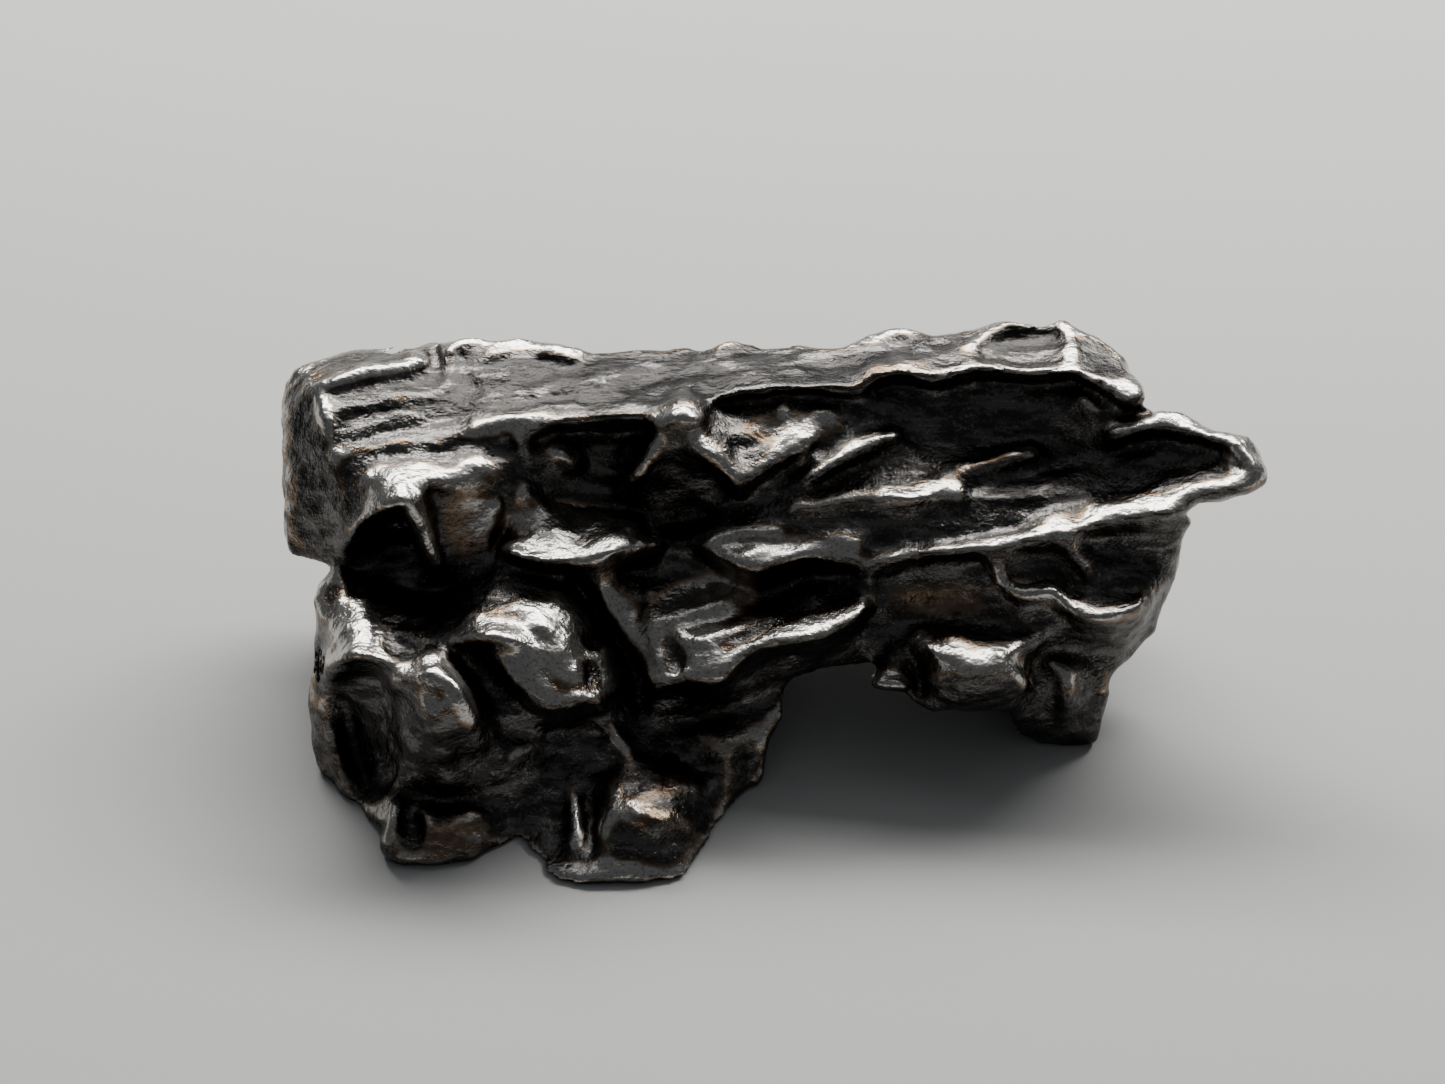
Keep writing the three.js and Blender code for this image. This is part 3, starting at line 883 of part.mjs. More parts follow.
  // Marks everything joined to a starting point that passes the test.
  flood(starts, passes) {
    const marks = new Uint8Array(this.field.length);
    const stack = [...starts];
    for (const n of starts) marks[n] = 1;
    while (stack.length) {
      const n = stack.pop();
      const cell = this.stride.map((stride, axis) => Math.floor(n / stride) % this.count[axis]);
      for (let axis = 0; axis < 3; axis += 1) {
        for (const step of [-1, 1]) {
          const inside = cell[axis] + step >= 0 && cell[axis] + step < this.count[axis];
          const next = n + step * this.stride[axis];
          if (inside && !marks[next] && passes(next)) {
            marks[next] = 1;
            stack.push(next);
          }
        }
      }
    }
    return marks;
  }

  // Trims the clay a little below the seat.
  trimBelow(level) {
    this.forEach((n, i, j, k) => {
      this.field[n] = Math.max(this.field[n], level - this.point(i, j, k)[2]);
    });
  }

  // Keeps the one body round the stone's middle, and fills any sealed bubble.
  keepOneBody() {
    const seed = STONE_MIDDLE.map((value, n) => Math.round((value - WORK_LOW[n]) / GRID_STEP));
    const iron = this.flood([dot(seed, this.stride)], (n) => this.field[n] < 0);
    const air = this.flood([0], (n) => !iron[n]);
    for (let n = 0; n < this.field.length; n += 1) {
      const small = Math.max(Math.abs(this.field[n]), LEAST_VALUE);
      this.field[n] = air[n] ? small : -small;
    }
  }
}

const CORNERS = [0, 1, 2, 3, 4, 5, 6, 7].map((c) => [c & 1, (c >> 1) & 1, c >> 2]);
const CELL_EDGES = [0, 1, 2].flatMap((bit) =>
  [0, 1, 2, 3, 4, 5, 6, 7].filter((c) => !((c >> bit) & 1)).map((c) => [c, c | (1 << bit)]));

// Whether the corners that hold one sign are all joined along the cell's edges.
function joined(sign, wanted) {
  const members = [0, 1, 2, 3, 4, 5, 6, 7].filter((c) => sign[c] === wanted);
  if (members.length < 2) return true;
  const reached = new Set([members[0]]);
  const stack = [members[0]];
  while (stack.length) {
    const c = stack.pop();
    for (const next of [c ^ 1, c ^ 2, c ^ 4]) {
      if (sign[next] === wanted && !reached.has(next)) {
        reached.add(next);
        stack.push(next);
      }
    }
  }
  return reached.size === members.length;
}

// A cell is simple when each sign is in one piece and no face has its signs on the diagonal.
function simpleCell(sign) {
  for (let bit = 0; bit < 3; bit += 1) {
    const [p, q] = [1 << ((bit + 1) % 3), 1 << ((bit + 2) % 3)];
    for (const base of [0, 1 << bit]) {
      const [a, b, c, d] = [sign[base], sign[base | p], sign[base | q], sign[base | p | q]];
      if (a === d && b === c && a !== b) return false;
    }
  }
  return joined(sign, true) && joined(sign, false);
}

// Fills the corners of cells whose skin would touch itself, until none is left.
function settle(clay) {
  const offsets = CORNERS.map((bits) => dot(bits, clay.stride));
  for (let pass = 0; pass < SETTLE_PASSES; pass += 1) {
    let changed = 0;
    clay.forEach((n, i, j, k) => {
      if (i + 1 >= clay.count[0] || j + 1 >= clay.count[1] || k + 1 >= clay.count[2]) return;
      const sign = offsets.map((offset) => clay.field[n + offset] < 0);
      if (sign.every((s) => s === sign[0]) || simpleCell(sign)) return;
      const outside = offsets.filter((offset) => clay.field[n + offset] >= 0);
      const shallow = outside.reduce((a, b) => (clay.field[n + a] < clay.field[n + b] ? a : b));
      clay.field[n + shallow] = -LEAST_VALUE;
      changed += 1;
    });
    if (!changed) return;
  }
}

// One vertex in each cell that the skin crosses, one square for each grid edge that it crosses.
function skinMesh(clay) {
  const { field, stride, count } = clay;
  const offsets = CORNERS.map((bits) => dot(bits, stride));
  const vertexOf = new Int32Array(field.length).fill(-1);
  const points = [];
  clay.forEach((n, i, j, k) => {
    if (i + 1 >= count[0] || j + 1 >= count[1] || k + 1 >= count[2]) return;
    let sum = [0, 0, 0];
    let crossings = 0;
    for (const [a, b] of CELL_EDGES) {
      const [fa, fb] = [field[n + offsets[a]], field[n + offsets[b]]];
      if (fa < 0 === fb < 0) continue;
      const share = fa / (fa - fb);
      sum = plus(sum, plus(CORNERS[a], minus(CORNERS[b], CORNERS[a]), share));
      crossings += 1;
    }
    if (!crossings) return;
    vertexOf[n] = points.length;
    points.push(plus(clay.point(i, j, k), sum, GRID_STEP / crossings));
  });
  const faces = [];
  clay.forEach((n, i, j, k) => {
    const at = [i, j, k];
    for (let axis = 0; axis < 3; axis += 1) {
      const [p, q] = [(axis + 1) % 3, (axis + 2) % 3];
      if (at[axis] + 1 >= count[axis] || at[p] < 1 || at[q] < 1) continue;
      const [here, there] = [field[n] < 0, field[n + stride[axis]] < 0];
      if (here === there) continue;
      const ring = [n - stride[p] - stride[q], n - stride[q], n, n - stride[p]].map((cell) => vertexOf[cell]);
      if (there) ring.reverse();
      faces.push([ring[0], ring[1], ring[2]], [ring[0], ring[2], ring[3]]);
    }
  });
  return { points, faces };
}

// The sum of squared distances to a set of planes, as a symmetric 4 by 4 form.
class PlaneSum {
  constructor() {
    this.m = new Float64Array(10);
  }

  addPlane([a, b, c], d, weight) {
    const terms = [a * a, a * b, a * c, a * d, b * b, b * c, b * d, c * c, c * d, d * d];
    terms.forEach((term, n) => {
      this.m[n] += term * weight;
    });
  }

  plus(other) {
    const sum = new PlaneSum();
    this.m.forEach((value, n) => {
      sum.m[n] = value + other.m[n];
    });
    return sum;
  }

  at([x, y, z]) {
    const m = this.m;
    return m[0] * x * x + 2 * m[1] * x * y + 2 * m[2] * x * z + 2 * m[3] * x + m[4] * y * y
      + 2 * m[5] * y * z + 2 * m[6] * y + m[7] * z * z + 2 * m[8] * z + m[9];
  }

  // The point where the sum is least, or null where the planes don't pin one down.
  best() {
    const m = this.m;
    const rows = [[m[0], m[1], m[2]], [m[1], m[4], m[5]], [m[2], m[5], m[7]]];
    const size = dot(rows[0], cross(rows[1], rows[2]));
    const trace = m[0] + m[4] + m[7];
    if (Math.abs(size) < FLATTEST_SUM * trace ** 3) return null;
    const right = [-m[3], -m[6], -m[8]];
    return [
      dot(right, cross(rows[1], rows[2])) / size,
      dot(rows[0], cross(right, rows[2])) / size,
      dot(rows[0], cross(rows[1], right)) / size,
    ];
  }
}

// A heap of edges, the cheapest first.
class EdgeQueue {
  constructor() {
    this.items = [];
  }

  push(item) {
    const { items } = this;
    let n = items.push(item) - 1;
    while (n > 0) {
      const parent = (n - 1) >> 1;
      if (items[parent].cost <= items[n].cost) break;
      [items[parent], items[n]] = [items[n], items[parent]];
      n = parent;
    }
  }

  pop() {
    const { items } = this;
    const top = items[0];
    const last = items.pop();
    if (!items.length) return top;
    items[0] = last;
    let n = 0;
    while (2 * n + 1 < items.length) {
      let child = 2 * n + 1;
      if (child + 1 < items.length && items[child + 1].cost < items[child].cost) child += 1;
      if (items[n].cost <= items[child].cost) break;
      [items[n], items[child]] = [items[child], items[n]];
      n = child;
    }
    return top;
  }
}

// Thins a closed mesh by closing up the edges whose loss moves the skin least.
class Thinner {
  constructor({ points, faces }) {
    this.points = points;
    this.faces = faces;
    this.alive = faces.length;
    this.around = points.map(() => new Set());
    this.sums = points.map(() => new PlaneSum());
    this.version = points.map(() => 0);
    this.queue = new EdgeQueue();
    faces.forEach((face, f) => {
      const [a, b, c] = face.map((v) => points[v]);
      const across = cross(minus(b, a), minus(c, a));
      const area = length(across) / 2;
      const normal = unit(across);
      for (const v of face) {
        this.around[v].add(f);
        this.sums[v].addPlane(normal, -dot(normal, a), area);
      }
    });
    points.forEach((p, v) => this.offerAround(v, true));
  }

  neighbours(v) {
    const found = new Set();
    for (const f of this.around[v]) for (const w of this.faces[f]) found.add(w);
    found.delete(v);
    return found;
  }

  offerAround(v, onlyHigher = false) {
    for (const w of this.neighbours(v)) if (!onlyHigher || w > v) this.offer(v, w);
  }

  offer(a, b) {
    const sum = this.sums[a].plus(this.sums[b]);
    const middle = times(plus(this.points[a], this.points[b]), 0.5);
    const span = length(minus(this.points[a], this.points[b]));
    const best = sum.best();
    const near = best && length(minus(best, middle)) < span;
    const target = near ? best : middle;
    const cost = sum.at(target) + SPAN_COST * span * span;
    this.queue.push({ a, b, cost, target, stamp: [this.version[a], this.version[b]] });
  }

  // Whether the faces round v keep their side when v moves to the target.
  facesKeep(v, other, target) {
    for (const f of this.around[v]) {
      const face = this.faces[f];
      if (face.includes(other)) continue;
      const before = face.map((w) => this.points[w]);
      const after = face.map((w) => (w === v ? target : this.points[w]));
      const old = cross(minus(before[1], before[0]), minus(before[2], before[0]));
      const fresh = cross(minus(after[1], after[0]), minus(after[2], after[0]));
      const size = length(fresh);
      if (size < LEAST_FACE || dot(unit(old), fresh) < LEAST_FACING * size) return false;
    }
    return true;
  }

  close({ a, b, target }) {
    const shared = [...this.around[a]].filter((f) => this.around[b].has(f));
    const common = [...this.neighbours(a)].filter((v) => this.neighbours(b).has(v));
    if (shared.length !== 2 || common.length !== 2) return;
    if (!this.facesKeep(a, b, target) || !this.facesKeep(b, a, target)) return;
    for (const f of shared) {
      for (const v of this.faces[f]) this.around[v].delete(f);
      this.faces[f] = null;
    }
    for (const f of this.around[b]) {
      this.faces[f] = this.faces[f].map((v) => (v === b ? a : v));
      this.around[a].add(f);
    }
    this.around[b].clear();
    this.points[a] = target;
    this.sums[a] = this.sums[a].plus(this.sums[b]);
    this.version[a] += 1;
    this.version[b] += 1;
    this.alive -= 2;
    this.offerAround(a);
  }

  run(goal) {
    while (this.alive > goal && this.queue.items.length) {
      const edge = this.queue.pop();
      const fresh = edge.stamp[0] === this.version[edge.a] && edge.stamp[1] === this.version[edge.b];
      if (fresh && this.around[edge.a].size && this.around[edge.b].size) this.close(edge);
    }
    return this.faces.filter(Boolean);
  }
}

function shapeClay() {
  const clay = new Clay();
  Object.values(BULKS).forEach((row) => clay.bulk(row));
  clay.beam(BEAK);
  const film = new Film(
    Object.values(FRONT_LINES), Object.values(STREAKS), Object.values(SWELLS), OUTLINE,
  );
  clay.face(film);
  Object.values(DENTS).forEach((row) => clay.dent(row));
  const behind = (p) => {
    const { u, v, near } = sight(p);
    return THREE.MathUtils.smoothstep(film.read(film.near, u, v) - near, ...BEHIND_FILM);
  };
  clay.scallop(BROAD_SCALLOPS, behind);
  clay.scallop(SMALL_SCALLOPS, () => 1);
  clay.trimBelow(LOWEST_CLAY);
  clay.keepOneBody();
  return clay;
}

// A closed geometry as a solid for cutting.
function solidOf(wasm, geometry) {
  const bare = geometry.clone();
  bare.deleteAttribute("normal");
  bare.deleteAttribute("uv");
  const merged = mergeVertices(bare, WELD_DISTANCE);
  return new wasm.Manifold(new wasm.Mesh({
    numProp: 3,
    vertProperties: new Float32Array(merged.attributes.position.array),
    triVerts: new Uint32Array(merged.index.array),
  }));
}

// The largest body of a cut result, as a geometry.
function largestBody(solid) {
  const bodies = solid.decompose().sort((a, b) => b.volume() - a.volume());
  const { vertProperties, triVerts, numProp } = bodies[0].getMesh();
  const geometry = new THREE.BufferGeometry();
  const positions = new Float32Array((vertProperties.length / numProp) * 3);
  for (let v = 0; v * numProp < vertProperties.length; v += 1)
    for (let n = 0; n < 3; n += 1) positions[v * 3 + n] = vertProperties[v * numProp + n];
  geometry.setAttribute("position", new THREE.BufferAttribute(positions, 3));
  geometry.setIndex(new THREE.BufferAttribute(new Uint32Array(triVerts), 1));
  return geometry;
}

async function meteoriteGeometry() {
  const clay = shapeClay();
  settle(clay);
  const mesh = skinMesh(clay);
  const thinner = new Thinner(mesh);
  const faces = thinner.run(TRIANGLE_GOAL);

  const stone = new THREE.BufferGeometry();
  stone.setAttribute("position", new THREE.Float32BufferAttribute(thinner.points.flat(), 3));
  stone.setIndex(faces.flat());

  const wasm = await Module();
  wasm.setup();
  const spread = WORK_HIGH[0] - WORK_LOW[0] + SEAT_CUT_DEPTH;
  const below = new THREE.BoxGeometry(spread, spread, SEAT_CUT_DEPTH);
  below.translate(0, 0, -SEAT_CUT_DEPTH / 2);
  const seated = solidOf(wasm, stone.toNonIndexed()).subtract(solidOf(wasm, below));
  const geometry = largestBody(seated);
  geometry.translate(CENTRING[0], CENTRING[1], 0);
  geometry.computeVertexNormals();
  return geometry;
}

const meteorite = new THREE.Mesh(
  await meteoriteGeometry(),
  new THREE.MeshStandardMaterial({ ...IRON, flatShading: true }),
);
meteorite.name = "meteorite";

const group = new THREE.Group();
group.add(meteorite);

export default group;
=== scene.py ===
"""The looks of a small whole iron meteorite that rests on its knuckled feet.

Rounded masses carry the back, the underside and the feet, and the front is a film stretched over
its crests and troughs. Both meet in a distance field, whose skin becomes the mesh. Geometry Nodes
give the skin its weathered relief. One iron finish reads two attributes of the skin: where it is
rubbed bright or left dull, with painted highlights and painted shade laid on named places and on
what faces up, and where it lies deep and dark, under oxide that also paints the hollows' shade.

Millimetres are used while the stone is shaped, and metres for every finished object.
"""

import logging
import math
from collections.abc import Callable, Iterable, Sequence
from dataclasses import dataclass, field
from enum import Enum
from typing import Any

import bpy
import numpy as np
from mathutils import Matrix, Vector


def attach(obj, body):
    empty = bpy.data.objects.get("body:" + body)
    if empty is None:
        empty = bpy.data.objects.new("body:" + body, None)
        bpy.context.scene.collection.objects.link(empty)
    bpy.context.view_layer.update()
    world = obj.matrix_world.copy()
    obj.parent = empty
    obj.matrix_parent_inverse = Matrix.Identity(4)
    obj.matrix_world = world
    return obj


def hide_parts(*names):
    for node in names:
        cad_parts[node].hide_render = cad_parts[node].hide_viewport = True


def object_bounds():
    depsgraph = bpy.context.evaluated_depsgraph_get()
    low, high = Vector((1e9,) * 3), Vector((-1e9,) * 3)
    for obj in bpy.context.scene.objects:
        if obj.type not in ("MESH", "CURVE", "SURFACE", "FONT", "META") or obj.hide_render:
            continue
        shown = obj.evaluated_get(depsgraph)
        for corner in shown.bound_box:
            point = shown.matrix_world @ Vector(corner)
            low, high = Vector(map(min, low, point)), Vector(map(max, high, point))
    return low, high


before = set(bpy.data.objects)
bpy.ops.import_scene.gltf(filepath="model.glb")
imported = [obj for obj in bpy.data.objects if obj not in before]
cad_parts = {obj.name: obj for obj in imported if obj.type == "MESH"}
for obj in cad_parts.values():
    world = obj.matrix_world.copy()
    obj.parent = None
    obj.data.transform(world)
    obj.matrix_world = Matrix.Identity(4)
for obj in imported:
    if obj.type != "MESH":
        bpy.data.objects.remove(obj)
CAD_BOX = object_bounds()

LOG = logging.getLogger("meteorite")
MM = 0.001

Point = tuple[float, float, float]
Pixel = tuple[float, float]
Array = np.ndarray
Distance = Callable[[Array, Array, Array], Array]

# The shaped stone is moved by these millimetres, so that its box stands over the origin.
CENTRING = (-1.19, 0.04)

# Keep a division by a slope or a length from failing.
LEAST_SLOPE = 1e-6
LEAST_LENGTH = 1e-12


@dataclass(frozen=True)
class Sight:
    """The view in which the stone's front was read.

    A place on the front is (u, v, near): pixels across and down the photograph, and millimetres
    from the middle of the stone towards the eye.
    """

    width: float = 1445
    height: float = 1084
    lens: float = 50
    sensor: float = 36
    eye_distance: float = 70
    elevation: float = 38
    middle: Point = (0.0, 0.0, 7.47)

    @property
    def axes(self) -> Array:
        """The directions of the view.

        Returns:
            Right, up and near, as the rows of a matrix.
        """
        tilt = math.radians(self.elevation)
        return np.array([
            [1.0, 0.0, 0.0],
            [0.0, math.sin(tilt), math.cos(tilt)],
            [0.0, -math.cos(tilt), math.sin(tilt)],
        ])

    def scale(self, near: float | Array) -> float | Array:
        """Millimetres to a pixel at that nearness."""
        return (self.eye_distance - near) * self.sensor / (self.lens * self.width)

    def place(self, place: Sequence[float]) -> Array:
        """The point of the stone's frame at a pixel and a nearness.

        Args:
            place: u, v and near; anything after them is left alone.

        Returns:
            The point in millimetres.
        """
        u, v, near = place[:3]
        scale = self.scale(near)
        local = np.array([(u - self.width / 2) * scale, (self.height / 2 - v) * scale, near])
        return np.array(self.middle) + local @ self.axes

    def see(self, points: Array) -> tuple[Array, Array, Array, Array]:
        """Where points of the stone's frame stand in the view.

        Args:
            points: points in millimetres, the coordinates along the last axis.

        Returns:
            Pixels across, pixels down, nearness, and millimetres to a pixel there.
        """
        local = (points - np.array(self.middle, np.float32)) @ self.axes.T
        across, up, near = np.moveaxis(local, -1, 0)
        scale = self.scale(near)
        return self.width / 2 + across / scale, self.height / 2 - up / scale, near, scale


SIGHT = Sight()


def rolled(roll: float, base: Array) -> Array:
    """The axes of a frame, as rows, rolled about the last one by that many degrees."""
    c, s = math.cos(math.radians(roll)), math.sin(math.radians(roll))
    return np.array([[c, s, 0], [-s, c, 0], [0, 0, 1]]) @ base


def soft_min(a: Array, b: Array, blend: float) -> Array:
    """The lower of two fields, rounded where they meet."""
    overlap = np.maximum(blend - np.abs(a - b), 0) / blend
    return np.minimum(a, b) - overlap * overlap * (blend / 4)


def soft_max(a: Array, b: Array, blend: float) -> Array:
    """The higher of two fields, rounded where they meet."""
    overlap = np.maximum(blend - np.abs(a - b), 0) / blend
    return np.maximum(a, b) + overlap * overlap * (blend / 4)


@dataclass
class Form:
    """A shape to press into the clay: its distance function and the box that it fills."""

    distance: Distance
    middle: Array
    reach: Array


def ellipsoid(middle: Array, radii: Sequence[float], axes: Array) -> Form:
    """An ellipsoid.

    Args:
        middle: its middle in millimetres.
        radii: its radius along each local axis.
        axes: the local axes, as rows.

    Returns:
        The form.
    """
    size = np.array(radii, float)

    def distance(x: Array, y: Array, z: Array) -> Array:
        """Measures how far outside the skin points are; it is true only near the skin.

        Args:
            x: coordinates along X.
            y: coordinates along Y.
            z: coordinates along Z.

        Returns:
            Millimetres from each point to the skin.
        """
        gap = [x - middle[0], y - middle[1], z - middle[2]]
        q = [row[0] * gap[0] + row[1] * gap[1] + row[2] * gap[2] for row in axes]
        stretch = np.sqrt(sum((q[n] / size[n]) ** 2 for n in range(3)))
        slope = np.sqrt(sum((q[n] / size[n] ** 2) ** 2 for n in range(3))) + LEAST_SLOPE
        return stretch * (stretch - 1) / slope

    return Form(distance, middle, np.sqrt(((axes * size[:, None]) ** 2).sum(0)))


def rounded_box(middle: Array, half: Sequence[float], axes: Array, rounding: float) -> Form:
    """A box with rounded edges.

    Args:
        middle: its middle in millimetres.
        half: its half size along each local axis.
        axes: the local axes, as rows.
        rounding: the radius of its edges.

    Returns:
        The form.
    """
    size = np.array(half, float)

    def distance(x: Array, y: Array, z: Array) -> Array:
        """Measures how far outside the rounded skin points are.

        Args:
            x: coordinates along X.
            y: coordinates along Y.
            z: coordinates along Z.

        Returns:
            Millimetres from each point to the skin.
        """
        q = [
            np.abs(row[0] * (x - middle[0]) + row[1] * (y - middle[1]) + row[2] * (z - middle[2]))
            - (size[n] - rounding)
            for n, row in enumerate(axes)
        ]
        outside = np.sqrt(sum(np.maximum(side, 0) ** 2 for side in q))
        return outside + np.minimum(np.maximum(np.maximum(q[0], q[1]), q[2]), 0) - rounding

    return Form(distance, middle, (np.abs(axes) * size[:, None]).sum(0))


def tapered_rod(points: Array, radii: Sequence[float]) -> Form:
    """A round rod along a path.

    Args:
        points: the points of its middle line, in millimetres.
        radii: its radius at each point.

    Returns:
        The form.
    """

    def distance(x: Array, y: Array, z: Array) -> Array:
        """Measures how far outside the nearest stretch points are.

        Args:
            x: coordinates along X.
            y: coordinates along Y.
            z: coordinates along Z.

        Returns:
            Millimetres from each point to its skin.
        """
        nearest = np.full(x.shape, np.inf, np.float32)
        for n in range(len(points) - 1):
            start, along = points[n], points[n + 1] - points[n]
            gap = [x - start[0], y - start[1], z - start[2]]
            share = np.clip(sum(gap[m] * along[m] for m in range(3)) / (along @ along), 0, 1)
            away = np.sqrt(sum((gap[m] - share * along[m]) ** 2 for m in range(3)))
            nearest = np.minimum(nearest, away - radii[n] - share * (radii[n + 1] - radii[n]))
        return nearest

    low, high = points.min(0), points.max(0)
    return Form(distance, (low + high) / 2, (high - low) / 2 + max(radii))


@dataclass(frozen=True)
class Scallops:
    """Shallow hollows left by melting, longer along the grain of the iron.

    Space is cut into cells with one hollow each. The hollow's place in its cell comes from mixing
    the cell's whole numbers, so it is the same at each run.
    """

    cell: float
    depth: float
    salt: int
    reach: float = 0.72
    stretch: float = 1.7
    grain: float = 17

    FACTORS = (73856093, 19349663, 83492791)
    MIXER = 1274126177
    FIRST_SHIFT = 13
    SECOND_SHIFT = 16
    TOP = 1023
    PLACES = (0, 10, 20)

    def numbers(self, cells: Array) -> Array:
        """Fixed numbers for cells.

        Args:
            cells: the whole numbers of each cell, one row for a cell.

        Returns:
            Three numbers from 0 to 1 for each cell.
        """
        mix = np.uint32(self.salt)
        for n, factor in enumerate(self.FACTORS):
            mix = mix ^ (cells[:, n].astype(np.int64).astype(np.uint32) * np.uint32(factor))
        mix = (mix ^ (mix >> np.uint32(self.FIRST_SHIFT))) * np.uint32(self.MIXER)
        mix = mix ^ (mix >> np.uint32(self.SECOND_SHIFT))
        parts = [(mix >> np.uint32(place)) & np.uint32(self.TOP) for place in self.PLACES]
        return np.stack(parts, 1).astype(np.float32) / self.TOP

    def sink(self, points: Array) -> Array:
        """How deep the hollows are.

        Args:
            points: points in millimetres.

        Returns:
            The depth at each point, in millimetres.
        """
        c, s = math.cos(math.radians(self.grain)), math.sin(math.radians(self.grain))
        q = np.stack([
            (points[:, 0] * c + points[:, 1] * s) / (self.cell * self.stretch),
            (points[:, 1] * c - points[:, 0] * s) / self.cell,
            points[:, 2] / self.cell,
        ], 1).astype(np.float32)
        base = np.floor(q)
        nearest = np.full(len(q), np.inf, np.float32)
        for step in np.ndindex(3, 3, 3):
            home = base + (np.array(step, np.float32) - 1)
            nearest = np.minimum(nearest, ((home + self.numbers(home) - q) ** 2).sum(1))
        return self.depth * np.maximum(0, 1 - nearest / self.reach ** 2)


class Working(Enum):
    """How a form is worked into the clay."""

    JOINED = "joined"
    CUT_OUT = "cut out"


class Clay:
    """A distance field on a grid: negative inside the iron, positive outside."""

    LOW = np.array([-18.0, -11.5, -1.2])
    HIGH = np.array([21.0, 12.5, 14.4])
    FAR_OUTSIDE = 3.0
    MARGIN = 1.2
    CAST_STEP = 0.15
    SKIN_BAND = 0.9
    WAVE_SIZE = 0.13
    WAVE_SECOND = 0.6
    SLOW_WAVES = ((1.9, 1.3, 0.5), (1.7, 1.5, 2.1), (1.6, -1.8, 4.0))
    QUICK_WAVES = ((3.7, -2.9, 1.1), (3.1, 2.7, 0.3), (3.3, 2.6, 2.6))

    def __init__(self, step: float) -> None:
        """Starts an empty field.

        Args:
            step: the grid step in millimetres.
        """
        self.step = step
        self.count = np.round((self.HIGH - self.LOW) / step).astype(int) + 1
        self.field = np.full(tuple(self.count), self.FAR_OUTSIDE, np.float32)
        ticks = [self.LOW[n] + step * np.arange(self.count[n]) for n in range(3)]
        grid = np.meshgrid(*[t.astype(np.float32) for t in ticks], indexing="ij")
        self.points = np.stack(grid, -1)
        self.waved = self.wave(*grid)

    def wave(self, x: Array, y: Array, z: Array) -> list[Array]:
        """Shifts each coordinate a little by a slow and a quick wave of the others.

        Args:
            x: coordinates along X.
            y: coordinates along Y.
            z: coordinates along Z.

        Returns:
            The three shifted coordinates.
        """
        slow, quick = ((y, z), (z, x), (x, y)), ((z, x), (x, y), (y, z))
        moved = []
        for n, value in enumerate((x, y, z)):
            (a, b, shift), (c, d, quick_shift) = self.SLOW_WAVES[n], self.QUICK_WAVES[n]
            first = np.sin(a * slow[n][0] + b * slow[n][1] + shift)
            second = np.sin(c * quick[n][0] + d * quick[n][1] + quick_shift)
            moved.append(value + self.WAVE_SIZE * (first + self.WAVE_SECOND * second))
        return moved

    def press(self, form: Form, blend: float, working: Working = Working.JOINED) -> None:
        """Works a form into the clay.

        Args:
            form: what is pressed in.
            blend: how softly it meets what is there.
            working: whether it is joined or cut out.
        """
        margin = form.reach + self.MARGIN + blend
        low, high = ((form.middle + side * margin - self.LOW) / self.step for side in (-1, 1))
        first = np.maximum(0, np.floor(low)).astype(int)
        last = np.minimum(self.count - 1, np.ceil(high)).astype(int)
        part = tuple(slice(a, b + 1) for a, b in zip(first, last))
        here = self.field[part]
        distance = form.distance(*[axis[part] for axis in self.waved])
        if working is Working.JOINED:
            self.field[part] = soft_min(here, distance, blend)
        else:
            self.field[part] = soft_max(here, -distance, blend)

    def sample(self, points: Array) -> Array:
        """Reads the field, blended from the eight grid points round each point.

        Args:
            points: points in millimetres.

        Returns:
            The value at each point.
        """
        g = (points - self.LOW) / self.step
        base = np.clip(np.floor(g).astype(int), 0, self.count - 2)
        f = np.clip(g - base, 0, 1)
        value = np.zeros(len(points))
        for bits in np.ndindex(2, 2, 2):
            sides = [f[:, n] if bit else 1 - f[:, n] for n, bit in enumerate(bits)]
            value += np.prod(sides, axis=0) * self.field[tuple((base + bits).T)]
        return value

    def cast(self, origin: Array, direction: Array, far: float) -> Array | None:
        """Finds the skin along a ray.

        Args:
            origin: where the ray starts.
            direction: its way, one millimetre long.
            far: how far it goes.

        Returns:
            The first point of the skin above the ground, or None.
        """
        travel = np.arange(self.CAST_STEP, far, self.CAST_STEP)
        points = origin + travel[:, None] * direction
        off_grid = ((points < self.LOW) | (points > self.HIGH) | (points[:, 2:] < 0)).any(1)
        values = np.where(off_grid, self.FAR_OUTSIDE, self.sample(points))
        inside = np.flatnonzero(values < 0)
        if not len(inside):
            return None
        n = inside[0]
        before = values[n - 1] if n else self.FAR_OUTSIDE
        back = self.CAST_STEP * values[n] / (values[n] - before)
        return origin + (travel[n] - back) * direction

    def face(self, film: "Film") -> None:
        """Cuts the clay back to a film and to its outline.

        Args:
            film: the front of the stone.
        """
        u, v, near, scale = SIGHT.see(self.points)
        slope = np.minimum(film.read(film.slope, u, v) / scale, film.STEEPEST)
        front = (near - film.read(film.near, u, v)) / np.hypot(1, slope)
        trimmed = soft_max(self.field, film.read(film.edge, u, v) * scale, film.OUTLINE_BLEND)
        self.field = soft_max(trimmed, front, film.BLEND).astype(np.float32)

    def scallop(self, scallops: Scallops, film: "Film | None" = None) -> None:
        """Sinks scallops in the skin.

        Args:
            scallops: their sizes.
            film: where it is given, they stay well behind it.
        """
        band = np.abs(self.field) < self.SKIN_BAND
        points = self.points[band]
        weight = film.behind(points) if film else 1
        self.field[band] += weight * scallops.sink(points)

    def seat(self) -> None:
        """Cuts the clay flat at the ground."""
        self.field = np.maximum(self.field, -self.points[..., 2])


